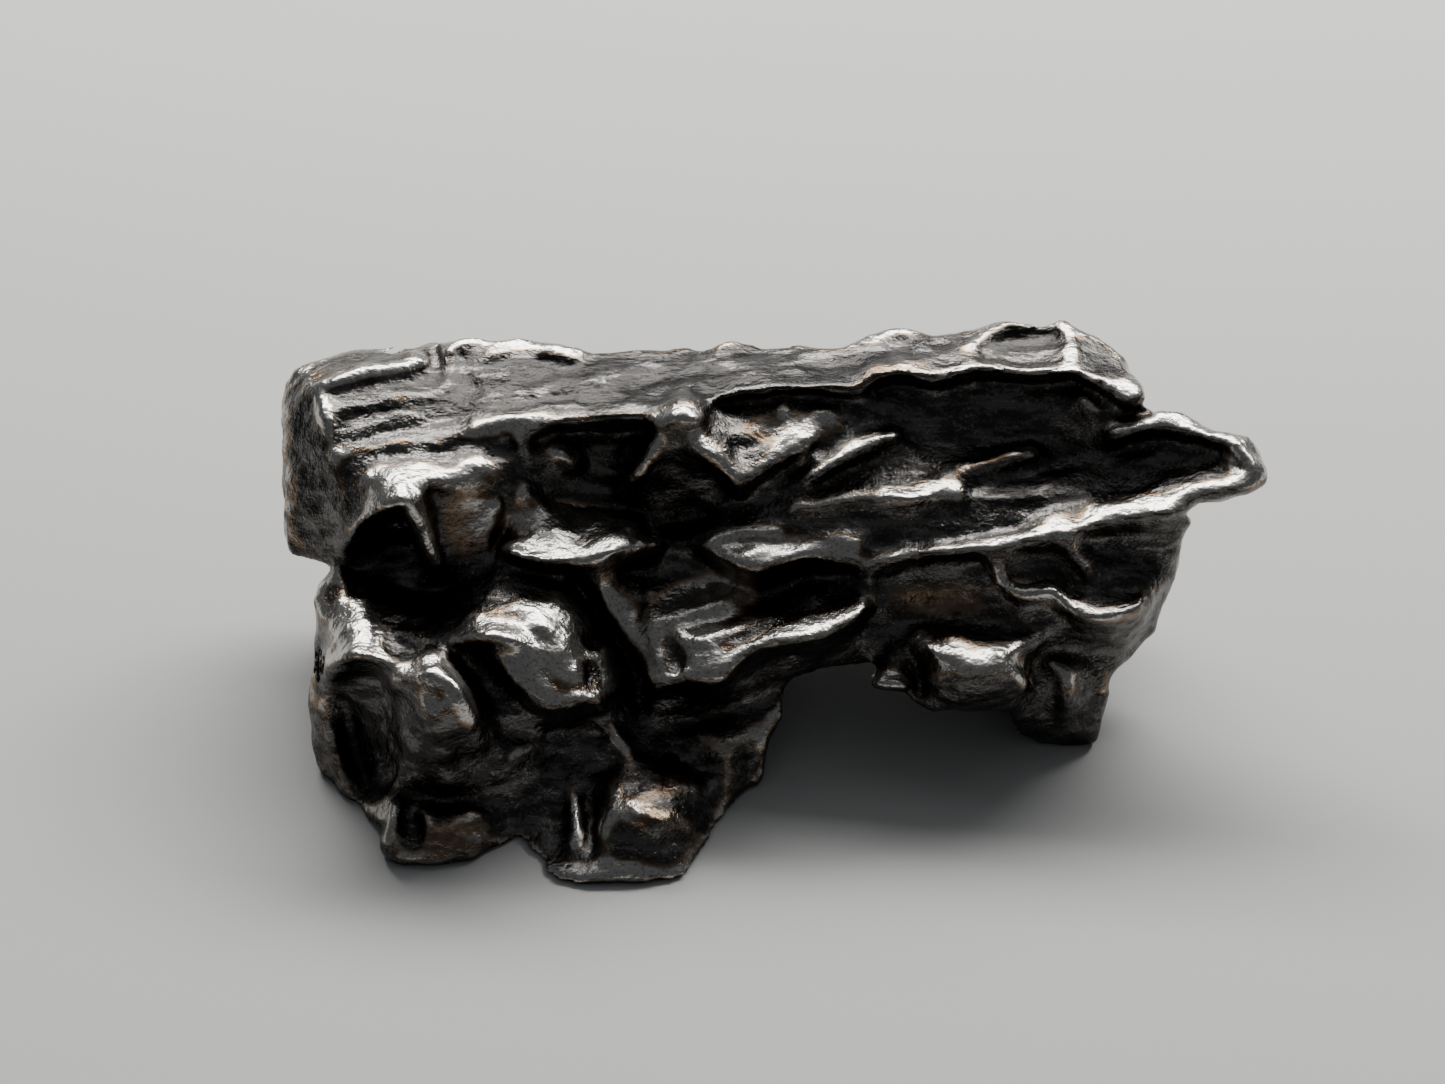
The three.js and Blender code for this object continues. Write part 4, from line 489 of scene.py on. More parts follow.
def path_distance(path: Sequence[Pixel], u: Array, v: Array) -> Array:
    """How far pixels are from a path of pixels.

    Args:
        path: the corners of the path.
        u: pixels across.
        v: pixels down.

    Returns:
        The distance from each pixel to the path, in pixels.
    """
    nearest = np.full(np.broadcast(u, v).shape, np.inf)
    for (u0, v0), (u1, v1) in zip(path[:-1], path[1:]):
        du, dv = u1 - u0, v1 - v0
        share = np.clip(((u - u0) * du + (v - v0) * dv) / (du * du + dv * dv), 0, 1)
        nearest = np.minimum(nearest, np.hypot(u - u0 - share * du, v - v0 - share * dv))
    return nearest


@dataclass(frozen=True)
class Streak:
    """A low ridge or groove: pixels along it, half width in pixels, lift in millimetres."""

    path: tuple[Pixel, ...]
    half_width: float
    lift: float


@dataclass(frozen=True)
class Patch:
    """An oval of the front with a gain: how rubbed it is and how much painted highlight it carries,
    painted shade where the gain is negative, or its lift in millimetres.

    Its middle and radii are in pixels, and it rolls clockwise by that many degrees.
    """

    middle: Pixel
    radii: Pixel
    roll: float
    gain: float

    def reach(self, u: Array, v: Array) -> Array:
        """How far out of the oval pixels are.

        Args:
            u: pixels across.
            v: pixels down.

        Returns:
            The square of the distance from the middle, 1 on the oval's rim.
        """
        c, s = math.cos(math.radians(self.roll)), math.sin(math.radians(self.roll))
        du, dv = u - self.middle[0], v - self.middle[1]
        return ((du * c + dv * s) / self.radii[0]) ** 2 + ((dv * c - du * s) / self.radii[1]) ** 2

    def weight(self, u: Array, v: Array) -> Array:
        """The gain at each pixel, nearly even inside the oval."""
        return self.gain * np.exp(-self.reach(u, v) ** 2)

    def swell(self, u: Array, v: Array) -> Array:
        """The gain at each pixel, highest in the middle."""
        return self.gain * np.exp(-self.reach(u, v))


@dataclass
class Film:
    """A film over the front, stretched between lines of known nearness.

    The nearness of the skin, its slope and the distance to the outline are kept on one grid of
    pixels.
    """

    lines: Iterable[Sequence[Point]]
    streaks: Iterable[Streak]
    swells: Iterable[Patch]
    outline: Sequence[Pixel]

    START = np.array([264.0, 292.0])
    CELL = 4
    COUNT = (258, 156)
    PASSES = 400
    PULL = 1.9
    EASING = 1
    STEEPEST = 4.0
    BLEND = 0.4
    OUTLINE_BLEND = 0.5
    BEHIND = (0.3, 1.6)
    EDGE_GAP = 1e-3

    def __post_init__(self) -> None:
        """Pins the lines, stretches the film and measures it."""
        total, count = np.zeros(self.COUNT), np.zeros(self.COUNT)
        for line in self.lines:
            self.pin(np.array(line), total, count)
        self.near = self.score(self.stretch(total / np.maximum(count, 1), count > 0))
        for _ in range(self.EASING):
            for axis in (0, 1):
                before, after = self.neighbours(self.near, axis)
                self.near = self.near / 2 + (before + after) / 4
        steps = [np.subtract(*self.neighbours(self.near, axis)) for axis in (0, 1)]
        self.slope = np.hypot(*steps) / (2 * self.CELL)
        self.edge = self.outline_distance()

    def pin(self, line: Array, total: Array, count: Array) -> None:
        """Fixes the cells along a line; a cell that several lines meet takes their average.

        Args:
            line: u, v and near at each of its points.
            total: the sum of what each cell is fixed to, added to here.
            count: how often each cell is fixed, added to here.
        """
        last = np.array(self.COUNT) - 1
        for start, end in zip(line[:-1], line[1:]):
            steps = max(1, math.ceil(2 * math.hypot(*(end - start)[:2]) / self.CELL))
            for share in np.linspace(0, 1, steps + 1):
                place = start + share * (end - start)
                cell = np.clip(np.round((place[:2] - self.START) / self.CELL), 0, last)
                total[tuple(cell.astype(int))] += place[2]
                count[tuple(cell.astype(int))] += 1

    @staticmethod
    def neighbours(grid: Array, axis: int) -> tuple[Array, Array]:
        """The grid moved one cell each way along an axis, its border repeated.

        Args:
            grid: values of the cells.
            axis: 0 for across, 1 for down.

        Returns:
            The value before each cell, and the value after it.
        """
        wide = np.pad(grid, [(1, 1) if n == axis else (0, 0) for n in (0, 1)], mode="edge")
        count = grid.shape[axis]
        return wide.take(range(count), axis), wide.take(range(2, count + 2), axis)

    def stretch(self, near: Array, pinned: Array) -> Array:
        """Pulls each free cell towards the middle of its neighbours until the film is taut.

        Args:
            near: the nearness to start from.
            pinned: which cells are fixed.

        Returns:
            The nearness of the taut film.
        """
        odd = np.add.outer(np.arange(self.COUNT[0]), np.arange(self.COUNT[1])) % 2 == 1
        wide = np.pad(near, 1, mode="edge")
        free = [np.pad(~pinned & (odd == half), 1) * self.PULL for half in (False, True)]
        for _ in range(self.PASSES):
            for share in free:
                wide[0], wide[-1], wide[:, 0], wide[:, -1] = wide[1], wide[-2], wide[:, 1], wide[:, -2]
                middle = (wide[:-2, 1:-1] + wide[2:, 1:-1] + wide[1:-1, :-2] + wide[1:-1, 2:]) / 4
                wide[1:-1, 1:-1] += share[1:-1, 1:-1] * (middle - wide[1:-1, 1:-1])
        return wide[1:-1, 1:-1]

    def pixels(self) -> tuple[Array, Array]:
        """The pixels across, and those down, of the grid's columns and rows."""
        u, v = (start + self.CELL * np.arange(n) for start, n in zip(self.START, self.COUNT))
        return u[:, None], v[None, :]

    def score(self, near: Array) -> Array:
        """Adds the streaks, which fade out across them, and the round swellings.

        Args:
            near: the nearness of the taut film.

        Returns:
            The nearness with their lifts.
        """
        u, v = self.pixels()
        for streak in self.streaks:
            gap = path_distance(streak.path, u, v) / streak.half_width
            near = near + streak.lift * np.exp(-gap * gap)
        return near + sum(swell.swell(u, v) for swell in self.swells)

    def outline_distance(self) -> Array:
        """Measures the grid against the outline.

        Returns:
            Pixels from each cell to the outline, negative inside it.
        """
        u, v = self.pixels()
        closed = (*self.outline, self.outline[0])
        nearest = path_distance(closed, u, v)
        inside = np.zeros(self.COUNT, bool)
        for (u0, v0), (u1, v1) in zip(closed[:-1], closed[1:]):
            if v0 != v1:
                inside ^= ((v0 > v) != (v1 > v)) & (u < u0 + (v - v0) * (u1 - u0) / (v1 - v0))
        return np.where(inside, -nearest, nearest)

    def read(self, grid: Array, u: Array, v: Array) -> Array:
        """Reads a grid, blended from the four cells round each pixel.

        Args:
            grid: values of the cells.
            u: pixels across.
            v: pixels down.

        Returns:
            The value at each pixel.
        """
        limit = np.array(self.COUNT) - 1
        x = np.clip((u - self.START[0]) / self.CELL, 0, limit[0] - self.EDGE_GAP)
        y = np.clip((v - self.START[1]) / self.CELL, 0, limit[1] - self.EDGE_GAP)
        i, j = x.astype(np.int32), y.astype(np.int32)
        a, b = x - i, y - j
        left = grid[i, j] * (1 - b) + grid[i, j + 1] * b
        right = grid[i + 1, j] * (1 - b) + grid[i + 1, j + 1] * b
        return left * (1 - a) + right * a

    def behind(self, points: Array) -> Array:
        """How far behind the film points are.

        Args:
            points: points in millimetres.

        Returns:
            From 0 at the film to 1 well behind it.
        """
        u, v, near, _ = SIGHT.see(points)
        start, end = self.BEHIND
        share = np.clip((self.read(self.near, u, v) - near - start) / (end - start), 0, 1)
        return share * share * (3 - 2 * share)


@dataclass(frozen=True)
class Bulk:
    """A mass in the stone's own frame: middle, half sizes, yaw in degrees, rounding, blend."""

    middle: Point
    half: Point
    yaw: float
    rounding: float
    blend: float

    def press(self, clay: Clay) -> None:
        """Joins the mass to the clay."""
        axes = rolled(self.yaw, np.eye(3))
        clay.press(rounded_box(np.array(self.middle), self.half, axes, self.rounding), self.blend)


@dataclass(frozen=True)
class Rod:
    """A tapered rod seen from the front: u, v, near and radius at each point, and its blend."""

    path: tuple[tuple[float, float, float, float], ...]
    blend: float

    def press(self, clay: Clay) -> None:
        """Joins the rod to the clay."""
        points = np.array([SIGHT.place(place) for place in self.path])
        clay.press(tapered_rod(points, [place[3] for place in self.path]), self.blend)


@dataclass(frozen=True)
class Dent:
    """A hollow of a hidden side: point aimed at, azimuth and elevation, depth, radii, roll."""

    aim: Point
    azimuth: float
    elevation: float
    depth: float
    radii: Pixel
    roll: float

    BLEND = 0.3
    START = 30.0
    ROUNDNESS = 1.3

    def press(self, clay: Clay) -> None:
        """Cuts the hollow where a ray from outside meets the skin.

        Args:
            clay: what it is cut from.
        """
        a, e = math.radians(self.azimuth), math.radians(self.elevation)
        out = np.array([math.sin(a) * math.cos(e), -math.cos(a) * math.cos(e), math.sin(e)])
        side = np.array([math.cos(a), math.sin(a), 0.0])
        point = clay.cast(np.array(self.aim) + out * self.START, -out, 2 * self.START)
        if point is None:
            return
        axes = rolled(self.roll, np.array([side, np.cross(out, side), out]))
        rise = max(self.depth * self.ROUNDNESS, min(self.radii))
        form = ellipsoid(point + out * (rise - self.depth), (*self.radii, rise), axes)
        clay.press(form, self.BLEND, Working.CUT_OUT)


# The masses behind the front.
BULKS: dict[str, Bulk] = {
    "upper_block": Bulk((0.5, 2.9, 8.2), (14.6, 5.6, 4.9), 0, 1.6, 0.8),
    "left_block": Bulk((-6.9, -1.7, 4.5), (8.6, 7.2, 5.4), 0, 1.6, 0.8),
    "front_feet": Bulk((-6.3, -6.5, 1.5), (8.6, 5.0, 3.0), 0, 1.2, 0.8),
    "right_front": Bulk((7.0, -1.5, 5.6), (9.4, 5.0, 3.1), 0, 1.2, 0.8),
    "heel_foot": Bulk((11.8, 0.6, 2.6), (2.1, 4.0, 3.2), 0, 1.0, 0.8),
    "back_foot": Bulk((-9.4, 5.0, 1.8), (2.4, 2.2, 2.6), 20, 0.9, 0.8),
    "end_block": Bulk((-12.6, 4.7, 8.2), (4.2, 4.0, 3.6), 8, 0.9, 0.6),
}

# Dents of the back, the ends and the underside.
DENTS: dict[str, Dent] = {
    "back_a": Dent((-11.0, 5.0, 6.0), 196, 20, 0.9, (2.4, 1.6), 20),
    "back_b": Dent((-7.0, 4.0, 7.5), 176, 8, 1.0, (2.6, 1.5), -14),
    "back_c": Dent((-2.0, 4.0, 6.0), 182, 15, 1.2, (2.2, 2.0), 30),
    "back_d": Dent((2.6, 4.0, 8.4), 174, 20, 0.8, (2.3, 1.2), -10),
    "back_e": Dent((6.0, 4.0, 6.4), 170, 5, 1.1, (2.6, 1.7), 12),
    "back_f": Dent((10.5, 3.0, 8.0), 150, 12, 1.0, (2.2, 1.6), -20),
    "back_low": Dent((-8.5, 3.0, 2.5), 178, -5, 1.0, (2.2, 1.6), 0),
    "left_end": Dent((-15.0, 5.0, 6.5), 285, 5, 0.6, (1.8, 1.4), 20),
    "left_low": Dent((-12.0, 0.0, 3.0), 268, 0, 0.9, (1.8, 1.5), -30),
    "right_low": Dent((12.0, 2.0, 4.0), 100, 0, 0.8, (1.6, 1.6), 0),
    "under_back": Dent((3.0, 3.0, 5.0), 182, -35, 1.2, (3.0, 1.6), 8),
    "under_middle": Dent((4.0, -1.0, 5.0), 30, -75, 0.8, (2.6, 1.6), 20),
    "under_right": Dent((7.5, 3.0, 5.0), 100, -70, 0.9, (2.0, 1.5), -20),
    "sole_left": Dent((-9.2, -3.4, 1.0), 10, -84, 1.5, (3.2, 2.8), 12),
    "sole_middle": Dent((-3.0, -3.2, 1.0), -20, -82, 1.5, (3.2, 2.8), -24),
    "sole_rear": Dent((-6.0, 2.0, 1.0), 160, -80, 1.4, (4.2, 2.4), 10),
    "sole_heel": Dent((10.4, 1.4, 1.0), 60, -86, 0.6, (1.8, 1.0), 80),
}

# The beak.
BEAK = Rod((
    (1040, 480, -2.4, 3.2), (1130, 474, -1.9, 2.4), (1190, 468, -1.2, 1.9), (1250, 468, -0.4, 1.5),
), 0.6)

# The stone's outline in the photograph, in pixels, clockwise from the top left.
OUTLINE: tuple[Pixel, ...] = (
    (284, 384), (292, 369), (325, 356), (362, 348), (402, 341), (442, 342), (482, 336), (515, 333),
    (560, 342), (592, 352), (640, 350), (700, 345), (742, 339), (800, 335), (862, 327), (900, 317),
    (930, 309), (952, 309), (975, 317), (1000, 314), (1040, 311), (1064, 316), (1088, 331),
    (1112, 346), (1134, 366), (1152, 386), (1170, 399), (1205, 414), (1230, 428), (1248, 435),
    (1260, 450), (1269, 468), (1267, 484), (1250, 494), (1224, 502), (1204, 514), (1194, 530),
    (1190, 552), (1178, 582), (1166, 608), (1156, 634), (1136, 655), (1120, 676), (1110, 708),
    (1100, 742), (1078, 751), (1040, 748), (1014, 732), (1002, 719), (962, 722), (926, 716),
    (905, 694), (872, 690), (838, 692), (806, 702), (786, 718), (770, 745), (764, 778), (744, 806),
    (724, 840), (706, 870), (690, 884), (640, 890), (562, 888), (542, 880), (534, 862), (516, 846),
    (496, 852), (482, 864), (440, 870), (402, 870), (386, 864), (379, 848), (380, 826), (358, 822),
    (341, 812), (328, 794), (317, 774), (311, 745), (308, 702), (313, 650), (317, 625), (312, 600),
    (319, 584), (330, 568), (316, 560), (292, 556), (284, 542), (281, 480), (281, 420),
)

# Lines of the front, crests and troughs alike: (u, v, near) along each.
FRONT_LINES: dict[str, tuple[Point, ...]] = {
    "end_face_edge": (
        (313, 386, -2.3), (322, 410, -1.5), (330, 440, -0.9), (337, 470, -0.4), (344, 502, -0.1),
        (350, 532, 0.0),
    ),
    "end_face_rim": ((286, 384, -3.9), (284, 430, -2.9), (284, 480, -2.3), (286, 540, -2.0)),
    "end_face_foot": ((292, 552, -2.2), (318, 557, -1.5), (334, 560, -1.3)),
    "corner_top": (
        (340, 452, -0.7), (375, 453, -0.4), (410, 452, -0.3), (450, 450, -0.4), (482, 452, -0.4),
    ),
    "corner_shoulder": (
        (363, 482, 0.4), (385, 471, 0.4), (412, 466, 0.45), (440, 468, 0.45), (462, 468, 0.3),
        (482, 462, 0.1),
    ),
    "corner_side": ((363, 482, 0.3), (357, 502, 0.15), (352, 522, 0.1)),
    "corner_edge": (
        (350, 540, 0.3), (357, 526, 1.0), (369, 517, 1.5), (385, 509, 1.85), (401, 502, 1.95),
    ),
    "under_corner": ((354, 556, -1.2), (368, 534, -0.9), (388, 522, -0.8), (404, 517, -0.6)),
    "corner_deep": ((362, 570, -1.5), (385, 548, -2.0), (405, 545, -2.0), (420, 562, -2.0)),
    "corner_floor": ((385, 580, -1.6), (415, 592, -1.8), (440, 590, -1.5), (455, 582, -1.2)),
    "blade_top": (
        (401, 484, 1.35), (406, 502, 2.0), (415, 526, 1.6), (427, 552, 1.0), (438, 569, 0.4),
    ),
    "blade_face": ((427, 480, 1.0), (424, 500, 1.35), (429, 528, 1.05), (438, 566, 0.4)),
    "blade_back": ((409, 522, -0.5), (417, 545, -1.0), (430, 571, -1.2)),
    "plate_top": (
        (430, 476, 0.9), (446, 487, 0.75), (462, 481, 0.6), (472, 469, 0.4), (488, 463, 0.1),
    ),
    "plate_left": ((433, 490, 0.35), (438, 530, 0.0), (446, 566, -0.3)),
    "plate_right": ((497, 474, -0.1), (500, 508, -0.3), (491, 542, -0.45), (482, 562, -0.6)),
    "plate_foot": ((450, 575, -0.7), (468, 578, -0.8), (486, 566, -0.8)),
    "beside_plate": ((505, 500, -0.9), (503, 530, -0.9), (496, 552, -1.0)),
    "back_crest_left": ((318, 384, -2.1), (345, 372, -2.5), (385, 362, -2.95), (426, 356, -3.3)),
    "back_slope_left": ((300, 370, -3.8), (340, 356, -4.4), (400, 345, -4.9), (430, 345, -4.9)),
    "notch": ((437, 348, -4.7), (436, 370, -3.6), (434, 396, -2.2)),
    "back_crest_middle": (
        (444, 352, -3.6), (480, 342, -4.2), (512, 338, -4.4), (550, 345, -4.1), (582, 353, -3.8),
    ),
    "back_dip": ((590, 356, -4.2), (640, 354, -4.3), (700, 350, -4.5)),
    "top_back": (
        (742, 344, -4.5), (800, 340, -4.4), (860, 333, -4.5), (905, 322, -4.8), (940, 313, -5.2),
        (962, 318, -4.9),
    ),
    "top_left": ((325, 400, -1.9), (370, 395, -1.9), (410, 392, -2.0)),
    "top_middle": ((470, 380, -2.6), (540, 384, -2.4), (610, 380, -2.6), (680, 378, -2.6)),
    "top_right": ((760, 368, -2.9), (830, 362, -2.9), (890, 350, -3.2), (945, 342, -3.5)),
    "top_streak": ((540, 390, -2.0), (575, 378, -2.5), (612, 371, -2.9)),
    "top_front_left": ((340, 425, -1.4), (400, 422, -1.3), (450, 425, -1.1)),
    "brow_band": ((462, 436, -0.8), (478, 424, -0.7), (505, 416, -0.7), (535, 412, -0.8)),
    "brow_edge": ((478, 446, -0.6), (496, 436, -0.5), (516, 430, -0.5)),
    "brow_bumps": ((486, 452, -0.8), (502, 446, -0.9), (514, 442, -0.9)),
    "plateau_edge": (
        (516, 446, -0.35), (532, 432, -0.2), (558, 424, -0.15), (600, 421, -0.15),
        (640, 421, -0.15), (660, 418, 0.0),
    ),
    "plateau_tread": ((540, 404, -1.0), (600, 402, -1.1), (660, 400, -1.2)),
    "cavity_lip": ((534, 442, -1.3), (560, 433, -1.7), (600, 431, -2.1), (644, 431, -1.8)),
    "cavity_wall": ((560, 482, -1.5), (590, 474, -2.3), (622, 470, -2.4)),
    "cavity_rib": ((553, 444, -0.9), (566, 453, -1.0), (578, 466, -1.4)),
    "cavity_rim": ((498, 462, -0.4), (512, 474, -0.4), (530, 492, -0.5)),
    "cavity_floor": ((548, 500, -1.7), (580, 506, -2.0), (620, 508, -2.1), (645, 512, -2.0)),
    "patch_edge": (
        (502, 548, 0.6), (520, 560, 0.9), (548, 563, 1.0), (575, 566, 0.95), (600, 557, 0.9),
        (622, 548, 0.8), (642, 546, 0.5), (660, 542, 0.0),
    ),
    "patch_back": ((512, 518, -0.6), (545, 520, -0.8), (590, 520, -1.0), (632, 526, -0.5)),
    "nose_top": ((658, 430, 0.4), (668, 418, 0.7), (684, 412, 0.8), (700, 418, 0.6)),
    "nose_tread": ((662, 408, -0.2), (682, 398, 0.1), (702, 402, -0.2)),
    "nose_left": ((660, 428, 0.1), (654, 448, 0.3), (643, 467, 0.1), (627, 484, -0.4)),
    "nose_left_foot": ((650, 428, -1.3), (632, 446, -1.2), (618, 470, -1.6)),
    "nose_front": ((684, 430, 0.35), (680, 450, -0.3), (676, 470, -0.9)),
    "nose_right": (
        (692, 447, 0.3), (704, 452, 0.55), (716, 460, 0.5), (728, 474, 0.45), (738, 487, 0.3),
    ),
    "nose_side": ((702, 416, 0.1), (712, 428, -0.15), (722, 442, -0.05), (730, 458, 0.05)),
    "nose_gap": ((712, 410, -0.9), (728, 424, -0.9), (738, 444, -0.7), (744, 462, -0.3)),
    "under_nose": ((646, 500, -1.7), (676, 492, -1.5), (706, 478, -1.1), (724, 494, -1.2)),
    "nose_cavity": ((650, 532, -1.8), (680, 520, -2.4), (712, 516, -1.9)),
    "nose_cavity_floor": ((664, 549, -1.1), (690, 546, -1.3)),
    "edge_middle": (
        (700, 408, -0.3), (712, 399, -0.6), (740, 393, -0.8), (790, 388, -0.9), (820, 387, -0.9),
        (846, 390, -0.9),
    ),
    "tread_middle": ((700, 392, -1.6), (760, 378, -1.9), (820, 376, -1.9), (850, 376, -1.9)),
    "under_edge_middle": (
        (718, 406, -1.6), (745, 400, -1.8), (785, 397, -1.8), (820, 398, -1.7), (852, 401, -1.6),
    ),
    "facet_middle": ((745, 432, -1.0), (770, 426, -1.3), (795, 420, -1.4)),
    "post_middle": ((786, 398, -1.1), (786, 414, -1.1), (780, 430, -1.0)),
    "slant_first": (
        (738, 486, 0.3), (762, 470, 0.1), (785, 458, -0.1), (803, 446, -0.3), (813, 435, -0.6),
    ),
    "under_slant_first": ((742, 498, -0.8), (772, 480, -0.9), (802, 463, -1.0)),
    "slant_second": (
        (808, 479, 0.0), (825, 471, -0.1), (850, 456, -0.3), (875, 442, -0.5), (900, 430, -0.8),
    ),
    "slant_second_back": ((818, 448, -1.0), (850, 430, -1.3), (884, 416, -1.8)),
    "under_slant_second": ((812, 490, -0.8), (850, 470, -1.1), (880, 456, -1.3), (908, 444, -1.5)),
    "slant_third": ((790, 506, -0.1), (812, 509, 0.0), (838, 503, -0.05), (862, 498, -0.15)),
    "under_slant_third": ((800, 520, -0.6), (830, 515, -0.6), (862, 510, -0.6)),
    "patch_right_back": ((716, 514, -0.9), (745, 502, -1.0), (775, 500, -0.9)),
    "patch_right_streak": ((706, 540, -0.2), (720, 532, -0.2), (745, 534, -0.2), (780, 534, -0.3)),
    "patch_right_dip": ((740, 541, -0.45), (775, 542, -0.5), (800, 540, -0.5)),
    "patch_right": (
        (702, 544, -0.1), (718, 556, 0.2), (740, 567, 0.5), (757, 574, 0.6), (778, 562, 0.5),
        (802, 555, 0.35),
    ),
    "patch_right_end": ((802, 555, 0.35), (830, 560, 0.2), (858, 566, 0.1)),
    "dark_band": (
        (662, 556, -1.3), (700, 562, -1.4), (730, 582, -1.3), (758, 594, -0.95), (800, 580, -1.2),
        (850, 572, -1.1),
    ),
    "shelf_back": ((625, 572, -1.1), (660, 574, -1.4), (700, 582, -1.4)),
    "shelf_roll": (
        (640, 590, -0.8), (680, 605, -0.35), (720, 612, -0.15), (770, 610, -0.2), (820, 598, -0.5),
        (858, 588, -0.7),
    ),
    "shelf_dip": ((632, 612, -0.4), (670, 632, 0.3), (706, 640, 0.65)),
    "shelf_left": (
        (562, 567, 0.2), (582, 573, 0.1), (597, 588, 0.0), (606, 606, -0.1), (622, 632, 0.0),
        (640, 662, 0.4), (652, 692, 1.0),
    ),
    "shelf_edge": (
        (652, 693, 1.05), (665, 684, 1.3), (682, 680, 1.4), (702, 683, 1.45), (720, 685, 1.45),
        (731, 678, 1.4), (735, 666, 1.3), (742, 656, 1.25), (756, 646, 1.25), (772, 643, 1.25),
        (800, 642, 1.2), (824, 638, 1.15), (842, 628, 0.95), (857, 619, 0.75), (867, 607, 0.4),
    ),
    "shelf_patch": ((690, 664, 0.95), (712, 655, 0.8), (728, 650, 0.8)),
    "under_shelf": (
        (652, 706, -0.3), (680, 693, 0.0), (716, 697, 0.0), (742, 678, -0.2), (780, 655, -0.1),
        (825, 651, -0.2), (858, 634, -0.6), (872, 612, -0.9),
    ),
    "shelf_recess": (
        (660, 730, -0.8), (690, 722, -0.9), (730, 712, -0.8), (780, 690, -1.2), (830, 675, -1.4),
        (862, 664, -1.4),
    ),
    "crack_top": ((500, 560, -0.4), (530, 570, -0.4), (556, 576, -0.5)),
    "crack": (
        (572, 580, -1.2), (590, 604, -1.7), (608, 632, -1.7), (628, 652, -1.6), (638, 676, -1.4),
        (638, 706, -1.2),
    ),
    "shield_back": (
        (452, 606, -0.1), (470, 588, 0.0), (500, 578, 0.0), (540, 578, 0.0), (562, 586, -0.2),
    ),
    "shield_shoulder": ((540, 606, 0.9), (560, 610, 0.8), (580, 624, 0.5)),
    "shield_right": ((568, 586, -0.4), (584, 612, -0.2), (598, 640, -0.3)),
    "knuckle_third": (
        (447, 652, 1.3), (456, 644, 1.75), (472, 637, 2.15), (492, 634, 2.3), (510, 637, 2.35),
        (522, 645, 2.3), (529, 658, 2.2),
    ),
    "knuckle_third_tread": ((456, 628, 1.0), (476, 617, 1.3), (500, 613, 1.35), (520, 618, 1.3)),
    "knuckle_third_foot": ((450, 662, 0.6), (470, 652, 1.0), (488, 652, 1.3)),
    "shield_edge": (
        (490, 654, 2.0), (500, 664, 2.25), (512, 678, 2.4), (526, 692, 2.45), (540, 705, 2.45),
        (553, 711, 2.4), (572, 706, 2.3), (588, 698, 2.1), (602, 706, 1.7),
    ),
    "shield_fold": ((540, 630, 1.5), (552, 644, 1.7), (560, 654, 1.7)),
    "shield_face": ((536, 664, 2.0), (550, 684, 2.1), (580, 676, 1.8), (592, 654, 1.0)),
    "under_shield_edge": (
        (462, 668, 0.8), (482, 662, 1.0), (494, 678, 1.2), (510, 696, 1.3), (530, 714, 1.3),
        (553, 722, 1.2), (580, 716, 0.9), (604, 718, 0.4),
    ),
    "knuckle_side": ((468, 668, 0.9), (484, 690, 1.2), (496, 716, 1.3), (502, 742, 1.3)),
    "knuckle_brow": (
        (390, 688, 2.4), (402, 681, 2.8), (416, 675, 3.15), (432, 672, 3.3), (448, 675, 3.3),
        (459, 685, 3.2), (468, 699, 3.05), (475, 716, 2.8), (481, 740, 2.4),
    ),
    "knuckle_top": ((402, 662, 2.0), (430, 654, 2.5), (458, 660, 2.4)),
    "knuckle_valley": ((400, 642, 1.2), (420, 636, 1.3), (442, 638, 1.3)),
    "knuckle_face": ((412, 694, 2.6), (434, 722, 2.6), (442, 754, 2.3), (444, 784, 1.8)),
    "knuckle_left": ((396, 700, 1.2), (398, 730, 1.3), (398, 762, 1.3), (400, 784, 1.2)),
    "knuckle_right": ((478, 760, 1.6), (500, 770, 1.4), (520, 764, 1.1)),
    "knuckle_foot": ((405, 796, 0.9), (440, 799, 1.0), (480, 799, 1.0), (508, 794, 0.8)),
    "beside_shield": ((520, 730, 0.9), (528, 748, 1.1), (534, 768, 0.8)),
    "dome_top": ((336, 602, -0.2), (362, 600, 0.0), (388, 606, 0.0)),
    "dome_middle": (
        (334, 632, 0.8), (352, 628, 1.15), (374, 628, 1.2), (396, 636, 1.1), (414, 652, 1.3),
    ),
    "dome_edge": (
        (325, 676, 0.8), (332, 664, 1.7), (345, 658, 2.3), (362, 657, 2.5), (380, 661, 2.5),
        (392, 672, 2.35),
    ),
    "dome_left": (
        (318, 640, -0.8), (314, 690, -0.9), (314, 738, -1.1), (322, 776, -1.2), (345, 812, -0.6),
    ),
    "column_rim": (
        (324, 690, -0.3), (323, 722, -0.3), (330, 738, -0.3), (340, 770, -0.4), (350, 798, -0.2),
        (364, 816, 0.1),
    ),
    "under_dome": ((340, 680, 0.0), (358, 672, 0.2), (376, 676, 0.3), (388, 692, 0.4)),
    "column_pit_wall": ((384, 706, 0.2), (390, 742, 0.3), (391, 778, 0.3)),
    "post_side": ((563, 800, 0.45), (565, 826, 1.0)),
    "post_side_right": ((585, 800, 0.45), (588, 826, 1.0)),
    "column_pit": ((345, 700, -0.9), (352, 735, -1.2), (360, 765, -1.1), (370, 786, -0.7)),
    "knob_back": ((350, 568, -1.6), (375, 580, -1.5), (398, 588, -1.5)),
    "knob_bed": ((322, 594, -1.0), (345, 592, -0.8), (370, 590, -0.8), (392, 596, -0.8)),
    "foot_left": ((397, 800, 1.9), (390, 822, 2.3), (384, 846, 2.4), (383, 860, 2.2)),
    "foot_top": ((412, 808, 1.5), (440, 812, 1.7), (475, 814, 1.6)),
    "foot_face": ((404, 832, 1.9), (440, 840, 2.1), (478, 842, 1.9)),
    "foot_sole": (
        (392, 866, 2.25), (412, 869, 2.35), (440, 870, 2.3), (470, 865, 2.1), (492, 851, 1.6),
    ),
    "feet_gap": ((507, 812, 0.6), (520, 838, 1.2), (536, 852, 1.7)),
